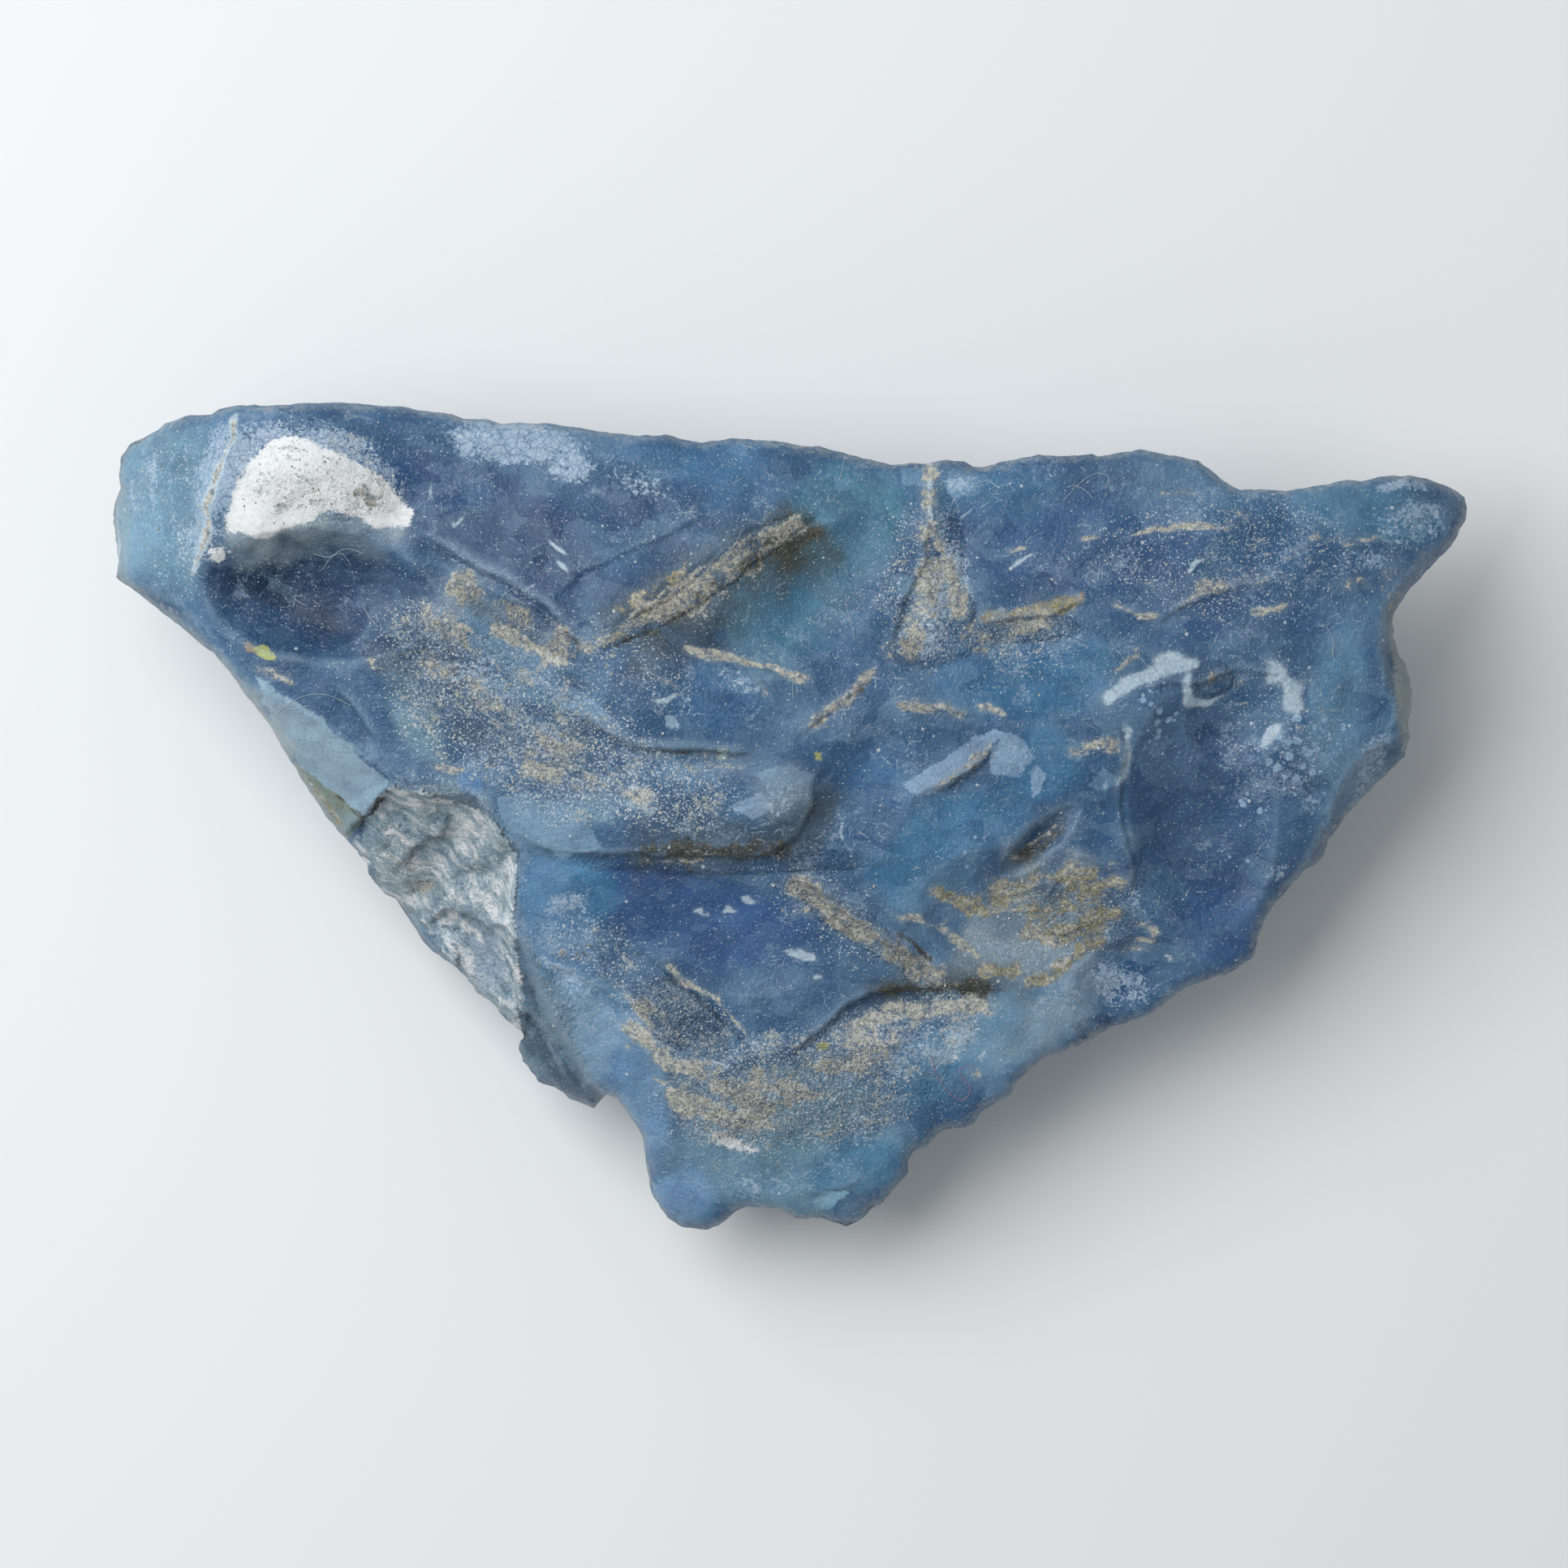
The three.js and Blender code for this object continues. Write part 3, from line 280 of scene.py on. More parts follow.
# %% Fine steps
FINE_STEP_LINES = [
    # share, drop, front, line
    # strata at the right of the centre: thin flakes one over the other
    (0.2, 0.22, 0.5, ((6, -3), (7, -3.4), (8, -3.9), (9, -3.9), (11.3, -3.8))),
    (0.2, 0.2, 0.45, ((9.2, -4.4), (10.6, -4.3), (11.8, -3.9), (13, -3.2))),
    (0.2, 0.2, 0.4, ((13.3, -4.2), (13.6, -3.4), (13.6, -2.6), (13.4, -1.7))),
    (0.2, 0.18, 0.4, ((14.2, -3), (15, -2.9), (15.9, -2.8))),
    (0.2, 0.2, 0.4, ((15, -5.9), (16.2, -6), (17.2, -5.7))),
    (0.2, 0.2, 0.4, ((14.6, -4.9), (15.6, -4.8), (16.7, -5.1))),
    (0.2, 0.18, 0.4, ((6.2, -4.6), (7.2, -5.2), (8.2, -6), (8.9, -6.6))),
    (0.2, 0.2, 0.45, ((8.4, -6.9), (9.6, -6.9), (11, -6.8), (12.2, -6.2))),
    (0.2, 0.15, 0.4, ((4.2, -4.4), (5.5, -4.5), (6.9, -4.9))),
    # crack at the top of the tan ramp
    (0.35, 0.35, 0.3, ((7, -6.8), (6.6, -6.6), (6, -6), (5.2, -5.3), (4.5, -4.8))),
    # broken face under the brow and in the tan shelf
    (0.35, 0.15, 0.5, ((-16, 12), (-14, 10.8), (-12, 9.7), (-10.2, 8.4))),
    (0.35, 0.15, 0.6, ((-13.8, 8.9), (-12.6, 8.4), (-11, 7.5), (-9.8, 6.9))),
    # steps in the right part
    (0.35, 0.12, 0.5, ((16, 14.6), (17.5, 14.9), (19.3, 15.1))),
    (0.35, 0.12, 0.5, ((15, 12.8), (16.5, 13.2), (18.3, 13.35), (20.3, 13.3))),
    (0.35, 0.15, 0.6, ((20.4, 9.5), (22, 9.5), (23.2, 9.8))),
    (0.35, 0.14, 0.6, ((14, 6.1), (15, 7), (16.4, 8))),
    (0.35, 0.16, 0.6, ((23.6, 12.4), (25, 12.2), (26.6, 12.6))),
    # the middle and the front
    (0.35, 0.14, 0.6, ((2, 1.2), (2.3, -0.5), (2.7, -1.6), (3.4, -2.6))),
    (0.35, 0.14, 0.6, ((5.6, 2.2), (5.3, 3.4), (4.9, 4.6))),
    (0.35, 0.2, 0.7, ((-13, 7), (-11, 6), (-9, 5.2), (-8, 4.4))),
    (0.35, 0.2, 0.6, ((-12, 2.8), (-10, 2.2), (-8, 1.3), (-6.4, 0.6))),
    (0.35, 0.16, 0.6, ((-6.2, 1.4), (-4.4, 0.8), (-2.6, 0.6), (-1, 1))),
    (0.35, 0.18, 0.7, ((-4.6, -10.4), (-3, -11.2), (-1.2, -11.8), (1, -11.6))),
    (0.35, 0.18, 0.7, ((1.2, -11.4), (3, -10.6), (5, -10.4), (7, -9.6))),
    (0.35, 0.16, 0.7, ((-5.4, -14.2), (-3, -14.8), (-0.4, -14.6), (1.6, -13.8))),
    (0.35, 0.3, 0.6, ((0.7, -17.7), (1.6, -17.1), (2.8, -17), (3.6, -16.2))),
    (0.35, 0.2, 0.5, ((-9, -4.6), (-7.8, -5.6), (-6.6, -6.4))),
    (0.35, 0.2, 0.6, ((-9.4, -8.6), (-8, -9.6), (-6.6, -10.8))),
    (0.35, 0.14, 0.5, ((16, -1.1), (17, -0.4), (18, 0), (19.4, 0.6))),
    (0.35, 0.12, 0.5, ((17.4, -4.6), (18.6, -4.4), (20.2, -3.2), (21.6, -2.8))),
    # layers above the left bevel
    (0.35, 0.15, 0.4, ((-23.4, 6.2), (-22, 5.6), (-20.8, 4.9), (-19.6, 3.6))),
    (0.35, 0.2, 0.4, ((-18.3, 2.3), (-17.9, 1.7), (-17.2, 1.1))),
    # the rough flank's small shells
    (0.35, 0.3, 0.6, ((-19.4, -1.8), (-18.4, -1), (-17.6, 0), (-17.2, 0.8))),
    (0.35, 0.3, 0.6, ((-16.2, -3.4), (-15.4, -2.4), (-14.2, -2.2), (-13.4, -2.8))),
    (0.35, 0.3, 0.5, ((-15.4, -6.4), (-14.6, -7.8), (-13.6, -8.6), (-12.9, -9.2))),
    (0.35, 0.25, 0.5, ((-12.2, -10.6), (-11.4, -11.4), (-10.4, -11.8))),
]
FINE_STEPS = [dict(share=share, drop=drop, front=front, line=line)
              for share, drop, front, line in FINE_STEP_LINES]
print("fine steps:", len(FINE_STEPS))

# %% [markdown]
# ## Measuring in the plan
# A form acts by how far a point is from its line, and on which hand. Numpy answers that for
# all points of the skin at once, so a fine skin takes seconds rather than minutes.

# %% Plan helpers
def near_line(x, y, line, reach=1e9):
    """Which points are in reach of a line: their distance, left hand or not, run and its total."""
    knots = np.array(line, float)
    low = knots.min(0) - reach
    high = knots.max(0) + reach
    pick = np.nonzero((x > low[0]) & (x < high[0]) & (y > low[1]) & (y < high[1]))[0]
    px = x[pick]
    py = y[pick]
    away = np.full(pick.size, np.inf)
    left = np.zeros(pick.size, bool)
    run = np.zeros(pick.size)
    total = 0.0
    for (ax, ay), (bx, by) in zip(knots[:-1], knots[1:]):
        dx = bx - ax
        dy = by - ay
        length = math.hypot(dx, dy)
        along = np.clip(((px - ax) * dx + (py - ay) * dy) / length, 0, length)
        gap = np.hypot(px - ax - dx * along / length, py - ay - dy * along / length)
        closer = gap < away
        away[closer] = gap[closer]
        left[closer] = (dx * (py - ay) - dy * (px - ax) > 0)[closer]
        run[closer] = total + along[closer]
        total += length
    return pick, away, left, run, total


def inside(x, y, loop):
    """Whether each point lies inside a closed loop."""
    result = np.zeros(x.shape, bool)
    knots = np.array(loop, float)
    for (ax, ay), (bx, by) in zip(knots, np.roll(knots, -1, axis=0)):
        if ay != by:
            crosses = (ay > y) != (by > y)
            result ^= crosses & (x < ax + (y - ay) * (bx - ax) / (by - ay))
    return result


def smooth(t):
    """Smooth step from 0 to 1."""
    s = np.clip(t, 0, 1)
    return s * s * (3 - 2 * s)


def bowl(x, y, at, half, turn):
    """1 at the centre of a turned ellipse, 0 on its rim, negative outside."""
    angle = math.radians(turn)
    dx = x - at[0]
    dy = y - at[1]
    u = (dx * math.cos(angle) + dy * math.sin(angle)) / half[0]
    v = (dy * math.cos(angle) - dx * math.sin(angle)) / half[1]
    return 1 - u * u - v * v


def lattice(i, j, k, seed):
    """A repeatable random number between -1 and 1 for each whole-number place.

    The large primes spread the places apart, and the shifts stir high and low bits together.
    """
    mixed = i * 374761393 + j * 668265263 + k * 2147483647 + seed * 1442695041
    mixed = (mixed ^ (mixed >> 13)) * 1274126177
    mixed = (mixed ^ (mixed >> 16)) & 0xFFFFFF
    return mixed / 0x7FFFFF - 1.0


def noise(x, y, z, size, seed=0):
    """Soft random hills of about that size in mm, between -1 and 1."""
    places = [np.asarray(axis) / size + seed * 17.31 for axis in (x, y, z)]
    cells = [np.floor(axis).astype(np.int64) for axis in places]
    parts = [smooth(axis - cell) for axis, cell in zip(places, cells)]
    total = 0.0
    for corner in range(8):
        steps = [(corner >> bit) & 1 for bit in range(3)]
        weight = 1.0
        for part, step in zip(parts, steps):
            weight = weight * (part if step else 1 - part)
        spots = [cell + step for cell, step in zip(cells, steps)]
        total = total + weight * lattice(*spots, seed)
    return total


# %% [markdown]
# ## The two skins as heights
# The stone is two skins over one plan: an upper skin and an underside, which meet along the
# broken outer edge. Before the forms act, the plan is bent a little by noise, so that a lip
# drawn with a few points still wanders as a real break does.

# %% Thin plate and hackle
WANDER = ((1.1, 0.1), (0.45, 0.05))  # size of the bends and how far they shift, mm


def bent(x, y, z, bends, seeds):
    """Places in the plan shifted by noise, with a first seed for x and one for y."""
    shifted = []
    for places, seed in zip((x, y), seeds):
        moved = places.copy()
        for order, (size, shift) in enumerate(bends):
            moved += shift * noise(x, y, z, size, seed + order)
        shifted.append(moved)
    return shifted


def thin_plate(spots):
    """Weights of the thin-plate surface through the spot heights."""
    table = np.array(spots, float)
    apart = np.hypot(table[:, None, 0] - table[None, :, 0], table[:, None, 1] - table[None, :, 1])
    squared = apart**2
    kernel = squared * np.log(np.where(squared > 0, squared, 1))
    flat = np.c_[np.ones(len(table)), table[:, :2]]
    system = np.block([[kernel, flat], [flat.T, np.zeros((3, 3))]])
    return table, np.linalg.solve(system, np.r_[table[:, 2], np.zeros(3)])


PLATE = thin_plate(SPOT_HEIGHTS)


def plate_height(x, y):
    """The height of the thin-plate surface in mm."""
    table, weights = PLATE
    z = weights[-3] + weights[-2] * x + weights[-1] * y
    for (u, v, _), weight in zip(table, weights):
        squared = (x - u) ** 2 + (y - v) ** 2
        z = z + weight * squared * np.log(np.where(squared > 0, squared, 1))
    return z


def hackle(x, y):
    """Low bent waves in several directions, the ripple of a splintery break."""
    z = np.zeros_like(x)
    for turn, length, height in HACKLE:
        angle = math.radians(turn)
        along = x * math.cos(angle) + y * math.sin(angle)
        across = y * math.cos(angle) - x * math.sin(angle)
        bend = np.sin(across * 2 * math.pi / (length * HACKLE_BENDS["length"]))
        z += height * np.sin(along * 2 * math.pi / length + HACKLE_BENDS["turn"] * bend)
    return HACKLE_SHARE * z

# %% Ledges and flanks
def ledge_change(x, y, ledge):
    """What one ledge adds to the height."""
    rise = ledge.get("rise", ledge["drop"] * RISE_SHARE)
    front = ledge["front"] * LEDGE_SPREAD
    back = ledge.get("back", ledge["front"]) * LEDGE_SPREAD
    reach = LEDGE_REACH * max(front, back)
    pick, away, left, run, total = near_line(x, y, ledge["line"], reach)
    strength = smooth(np.minimum(run, total - run) / min(TAPER, total / 3))
    strength = strength * ledge.get("share", LEDGE_SHARE)
    softness = ledge.get("soft", STEP_SOFTNESS)
    high = 0.5 + 0.5 * np.tanh(np.where(left, away, -away) / softness)
    change = np.zeros_like(x)
    lifted = high * rise * np.exp(-away / back)
    sunk = (1 - high) * ledge["drop"] * np.exp(-away / front)
    change[pick] = strength * (lifted - sunk)
    return change


def flank_fall(x, y, flank):
    """How far one flank has fallen below the upper face."""
    fall = np.zeros_like(x)
    pick = np.nonzero(inside(x, y, flank["line"] + flank["beyond"]))[0]
    _, away, _, _, _ = near_line(x[pick], y[pick], flank["line"])
    beyond = np.maximum(0, away - flank["second_from"])
    step = flank["drop"] * smooth(FLANK_START + away / flank.get("ease", STEP_SOFTNESS))
    fall[pick] = step + flank["rise"] * (away - beyond) + flank["second_rise"] * beyond
    return fall

# %% Heights of the two skins
def upper_height(x, y):
    """The upper skin in mm, before its outer lip rounds over."""
    z = plate_height(x, y) + hackle(x, y)
    for _, at, half, turn, depth in SCOOPS:
        z -= depth * np.maximum(0, bowl(x, y, at, half, turn))
    for ledge in LEDGES + FINE_STEPS:
        z += ledge_change(x, y, ledge)
    for ridge in RIDGES:
        pick, away, _, run, total = near_line(x, y, ridge["line"], ridge["width"])
        strength = smooth(np.minimum(run, total - run) / TAPER)
        z[pick] += ridge["height"] * strength * np.maximum(0, 1 - away / ridge["width"])
    return z - np.max([flank_fall(x, y, flank) for flank in FLANKS], axis=0)


def under_height(x, y):
    """The underside's planes and scars in mm, flat on the floor in the middle."""
    climb = np.zeros_like(x)
    for _, heading, start, rise in UNDER_FACETS:
        angle = math.radians(heading)
        out = (x - PLAN_CENTRE[0]) * math.cos(angle) + (y - PLAN_CENTRE[1]) * math.sin(angle)
        climb = np.maximum(climb, rise * (out - start))
    stretch = UNDER_HACKLE["stretch"]
    z = UNDER_HACKLE["height"] * hackle(x / stretch, y / stretch)
    for _, at, half, turn, depth in UNDER_SCOOPS:
        z += depth * np.maximum(0, bowl(x, y, at, half, turn))
    for ledge in UNDER_LEDGES:
        z += ledge_change(x, y, ledge)
    return np.maximum(0, climb + z * np.minimum(1, climb / UNDER_FADE))


def skins_at(x, y, depth):
    """Both skins and the edge height, at points this deep inside the outer edge."""
    face = upper_height(*bent(x, y, 0 * x, WANDER, (11, 21)))
    edge = np.maximum(LOWEST_EDGE, face - EDGE_LIP)
    top = np.maximum(LOWEST_EDGE, face - EDGE_LIP * np.exp(-depth / LIP_WIDTH))
    wall = edge - WALL_RISE * depth
    gap = LEAST_THICKNESS * (1 - np.exp(-depth))
    under = np.minimum(np.maximum(under_height(x, y), wall), top - gap)
    return top, np.maximum(0, under), edge


middle = np.zeros(1)
print("height of the upper face over the middle, mm:", upper_height(middle, middle).round(2))

# %% [markdown]
# ## Colour of the opal itself, and some painted light
# The blue comes from fibrous clay spread through the silica, so it drifts between indigo,
# teal and lavender over millimetres, and thin or freshly flaked places look paler. Broad
# zones have soft rims, single flakes have sharp ones. The darkest zone, in the bowl under
# the brow, is partly painted shade, and the pale window facet and side wall at the left end
# are partly painted reflection. Each point of the skin carries its tint, so no picture is
# needed.

# %% Zones of colour
BODY_BLUE = "#36597e"
ZONES = [
    # colour, middle in mm, half widths, turn
    ("#3a6389", (-3, 15.8), (6, 1.8), 0),
    ("#25456e", (-14, 13.4), (7, 3), -22),
    ("#7796ad", (-30, 15), (3.6, 5.6), 0),
    ("#6f91a8", (-27.4, 14), (1.6, 4.6), -8),
    ("#42708c", (0.6, 10.3), (5.4, 3), 38),
    ("#4c7a93", (2.6, 13.6), (3.4, 3.2), 20),
    ("#386890", (10.5, 6.4), (5, 2.6), 0),
    ("#315480", (13, 12.6), (7, 2.6), 0),
    ("#3a668c", (9.8, 14.4), (3, 1.6), 0),
    ("#35618a", (-5, 6.6), (4.4, 2), -22),
    ("#28466e", (-12.6, 11.2), (4, 0.9), -36),
    ("#2c4c74", (-7, 11.4), (5, 0.9), 34),
    ("#325178", (18.8, 0.3), (3.6, 5.8), 0),
    ("#38598a", (19.6, -5), (2.4, 2.2), 0),
    ("#36578a", (-4, -4.6), (6.4, 2.6), -14),
    ("#42769e", (-10.2, -3), (3, 2), -20),
    ("#6f8ea4", (0, -15), (6.8, 4), 0),
    ("#668dad", (-5, -17.6), (2.2, 2), 0),
    ("#467291", (3.5, -16), (2.6, 2), 20),
    ("#6a88a9", (-9.7, -9.5), (1.9, 3.4), 25),
    ("#9aa8b0", (-16.2, -1.4), (3.6, 3.6), -50),
    ("#5c7787", (-12.2, -9), (2, 4), 30),
    ("#69879f", (-10.6, 0.2), (2.8, 1.4), 0),
    ("#6887a3", (-11, 5.4), (3.6, 1), -25),
    ("#6283a1", (-12.4, 7.9), (3.2, 1.1), -25),
    ("#47708f", (26.5, 14), (4.2, 1.8), 0),
    ("#5b7f9e", (24.8, 4.6), (1.6, 5.6), -8),
    ("#6384a2", (11, -9.6), (4.4, 2), 30),
    ("#4a7ca2", (7, -11), (3.6, 1.6), 34),
    ("#34608a", (3.5, 1), (2.6, 3), 0),
    ("#3f7097", (6, -2), (3.4, 2.4), 0),
    ("#3f7198", (11.4, 2.6), (3, 2), 20),
    ("#647f93", (-17.2, 5), (3.4, 1.2), -58),
    # painted shade: the bowl under the brow is darker here than the blue's own depth alone
    ("#062544", (-21.8, 10.8), (5.6, 3.2), -6),
    ("#15385c", (-18, 9.4), (4, 2.6), -30),
    ("#1c4266", (-24, 8.4), (3.2, 1.8), -30),
    ("#1d3c62", (-12.5, 12.5), (4.5, 1.6), -10),
    ("#2b5078", (-6, 14.4), (3.4, 1.4), 20),
    ("#28527e", (3.5, 0.2), (2, 2.4), 0),
    ("#27507a", (15.8, -6.8), (1.6, 1.6), 0),
    ("#2e527c", (19, 9.6), (4.4, 1.8), 10),
    ("#43739a", (8, -0.4), (3, 2), 20),
    ("#3f7097", (12.2, 6.6), (3, 1.8), 0),
    ("#6d93b0", (9, -9.8), (2.4, 1.3), 30),
    ("#7292b6", (-7.6, -12), (1.8, 4.2), 14),
    ("#7b9ac2", (-5, -17.6), (1.8, 1.4), 0),
]
print("zones:", len(ZONES))

# %% Flakes of colour
FLANK_LOOP = (
    # rim of the torn flank
    (-18.2, 1.6), (-16, 1), (-13.8, 0.3), (-12.4, -1.6), (-12.6, -4.8), (-12.4, -7.4),
    (-12.4, -9.8), (-14.4, -8.8), (-17.4, -4.4), (-19, -3.2), (-20.2, -1), (-19.6, 0),
)
FLAKES = [
    # colour, loop in mm, share of it
    # left flank from top to bottom: window facet, pale partly as painted reflection, olive rim, torn grey
    # face, arced shell, wall
    ("#a0b2c2", ((-24.4, 6.6), (-21.8, 4.9), (-18.3, 1.7), (-19.6, 0), (-21, 1.3), (-22.5, 2.5),
        (-23.6, 4.4)), 0.9),
    ("#8f8d5e", ((-20.6, -1), (-19.6, 0), (-21, 1.3), (-22.5, 2.5), (-23.6, 3.2), (-22, 0.4)), 0.75),
    ("#a3afb5", ((-18.2, 1.6), (-16, 1), (-13.8, 0.3), (-12.4, -1.6), (-12.6, -4.8), (-13.6, -5.2),
        (-16, -4.9), (-19, -3.2), (-19.8, -1), (-19.5, 0)), 0.85),
    ("#8b9ca8", ((-17.4, -4.4), (-15.6, -4.9), (-13.6, -5.2), (-12.7, -7.4), (-12.6, -9.6), (-14.4, -8.8),
        (-16.2, -6.4)), 0.7),
    ("#41596d", ((-13.4, -5.2), (-12, -5.4), (-10.4, -9.4), (-8.6, -12.6), (-9.8, -13.6), (-12.4, -10.4),
        (-12.7, -7.4)), 0.8),
    ("#46647f", ((-17.8, -1.8), (-17, -0.7), (-16.2, -0.8), (-16.6, -1.9), (-17.4, -2.4)), 0.8),
    ("#46647f", ((-17, -4.4), (-15.9, -3.3), (-15, -3.6), (-15.2, -4.6), (-16.2, -5.4)), 0.8),
    ("#3f5a74", ((-13.4, -7), (-12.8, -5.8), (-12.4, -6.4), (-12.6, -7.6)), 0.8),
    ("#b4bccb", ((-15, -2.2), (-13.6, -3), (-13, -5), (-13.9, -6.4), (-15, -4.8)), 0.7),
    # chips and smears of lavender on the left face
    ("#8aa3c6", ((-12.6, 7.5), (-11.4, 7.3), (-9.6, 5.9), (-8.1, 4.7), (-8.6, 4.2), (-10.2, 5),
        (-11.8, 6.3)), 0.55),
    ("#3a6ba6", ((-15.2, 2.2), (-14.4, 2.6), (-13.9, 1.6), (-14.4, 0.9), (-15.1, 1.3)), 0.7),
    ("#b6c2d6", ((-5.6, 4.7), (-5.1, 4.6), (-5.1, 4.1), (-5.6, 4.2)), 0.75),
    ("#aebdd2", ((-11.2, 0.9), (-10.8, 0.85), (-10.9, 0.4)), 0.85),
    ("#c3c9cf", ((-7.4, 1.5), (-6.9, 0.9), (-6, 0.5), (-6.3, 0.2), (-7.4, 0.6)), 0.6),
    ("#a9b9d2", ((11.3, 2.4), (11.6, 2), (11.4, 1.2), (11, 1), (11, 1.9)), 0.6),
    ("#5a80a8", ((-12.2, -1.4), (-10.4, -2), (-9.4, -4.6), (-8.6, -7), (-11.6, -6.6), (-12.2, -5.2)),
        0.6),
    # the side wall at the left end, pale partly as painted reflection
    ("#8c9da8", ((-31.4, 11), (-30.3, 11), (-30.2, 15.4), (-31.4, 15.4)), 0.7),
    ("#9fb0cf", ((5, 1.7), (5.8, 1), (7.5, 1.7), (8.5, 2.5), (9.1, 3.4), (9.7, 3.9), (9.2, 4.1),
        (8.4, 3.8), (7, 2.8), (6, 2.2)), 0.8),
    ("#9fb2cc", ((9, 2.1), (10.4, 1.9), (11.1, 2.8), (10.6, 3.8), (9.7, 3.9), (9.1, 3.3)), 0.7),
    ("#8ea4ba", ((-12.2, -6.6), (-10.6, -7.1), (-8.6, -8.1), (-7.6, -9.4), (-8.4, -11.6), (-9.6, -12.4),
        (-11.4, -9.6)), 0.6),
    ("#5681a6", ((-12.4, -5.9), (-10.6, -6.5), (-9, -7), (-7.3, -8.3), (-7.6, -8.9), (-9.4, -7.9),
        (-11, -7.3), (-12.4, -7)), 0.7),
    ("#8199b3", ((-13.4, 1.1), (-11.6, 1.2), (-9.4, 0.2), (-8.6, -1.3), (-10.4, -1.7), (-13, -0.4)),
        0.75),
    ("#38577a", ((2, -17), (4.2, -17.2), (3.6, -18.8), (1.9, -18.9)), 0.8),
    ("#86a6b8", ((0.9, -17.6), (1.5, -17.1), (2.7, -17.1), (1.9, -17.9), (1.1, -18.1)), 0.9),
    ("#7f9dba", ((-1.6, 2.2), (-0.2, 2.6), (1, 2), (0.8, 0.9), (-0.6, 0.6)), 0.6),
    ("#a8b6cf", ((-2.8, 0.7), (-1.4, 1.2), (-0.6, 0.6), (-1.8, 0)), 0.6),
    ("#5a7fa3", ((0.9, 2.2), (1.5, 1.4), (1.2, 0.2), (0.6, 0.8)), 0.6),
    ("#6d8fb2", ((-5.4, 2.4), (-3.8, 2.6), (-3.2, 1.6), (-4.6, 1.2)), 0.5),
    ("#7694ad", ((4.4, 10.2), (5.6, 10.1), (5.7, 11), (4.6, 11.1)), 0.7),
    ("#7a97b3", ((7, 14.8), (8.6, 14.7), (8.8, 15.8), (7.2, 15.9)), 0.5),
    ("#7a97b3", ((5, 15.2), (6.1, 15.2), (6.1, 16.1), (5, 16)), 0.5),
    ("#7491ad", ((13.5, 1.5), (14.3, 1.3), (15, 1.9), (14.2, 2.3)), 0.7),
    ("#4d6f92", ((26.4, 5.5), (27, 1.5), (23.6, -0.8), (24.4, 2.2), (25.4, 4)), 0.5),
    ("#bdb8ab", ((27.4, 9.4), (28.9, 8.6), (28.9, 2.4), (28, 3.2), (27.6, 5.6)), 0.95),
    ("#2f4d70", ((28.6, 2.6), (27.9, 3.3), (26.4, 2.2), (25, -0.2), (23.8, -1.8), (24.8, -2.4),
        (26.6, -0.6)), 0.75),
    ("#b08e52", ((8.6, 9.3), (11, 9.75), (13.3, 10.4), (13.3, 9.9), (11, 9.2), (8.8, 8.9)), 0.6),
    ("#26405f", ((12.8, -9.4), (14.6, -8.8), (14.9, -9.6), (13.4, -10.3)), 0.8),
    # a scrap of leaf, two crumbs of yellow mineral, a pale chip and a dark grain
    ("#c2b94e", ((-24.5, 7.8), (-24, 7.95), (-23.6, 7.75), (-23.3, 7.35), (-23.8, 7.3), (-24.3, 7.5)), 1),
    ("#9c7440", ((-24.9, 7.95), (-24.5, 7.95), (-24.4, 7.6), (-24.7, 7.6)), 1),
    ("#b9a72c", ((1.2, -10.3), (1.45, -10.15), (1.7, -10.35), (1.6, -10.65), (1.3, -10.6)), 1),
    ("#b5ab62", ((1, 3.05), (1.3, 3.1), (1.35, 2.85), (1.05, 2.8)), 1),
    ("#b4b7b0", ((-3.3, 3.3), (-2.85, 3.25), (-2.9, 2.6), (-3.3, 2.65)), 1),
    ("#16191f", ((-13.75, 2.6), (-13.5, 2.65), (-13.45, 2.4), (-13.7, 2.35)), 1),
]
FLAKE_CONTRAST = 0.2  # how much a flake may be paler or darker than its neighbour
FLANK_CONTRAST = 1.4  # added share of that on the torn flank
UNDER_TINTS = ("#36597b", "#49748b", "#6483a1")  # indigo, teal and lavender
print("flakes:", len(FLAKES))

# %% [markdown]
# ## What lies on and in the opal
# Chalk-white weathered silica, tan and cream rock, ochre iron stain, brown dirt in the
# crevices and milky clouds: each is a mask between 0 and 1 on the points. Some masks also
# carry painted light: painted shade in cracks, hollows and under lips, and a painted
# reflection on the left bevel. Strokes follow the breaks, patches cover an area. The finish
# later tears the masks up with noise, so they only need to say where and how much.

# %% Strokes
STROKES = {}  # for each deposit: half width in mm, strength, line in mm
# white crust of weathered silica on the front
STROKES["chalk"] = [
    (0.4, 0.6, ((-4, -14.4), (-2.4, -14.9), (-1, -15.6))),
    (0.5, 0.65, ((4.6, -11.8), (6, -11.4), (7.8, -11), (9, -10.2))),
]
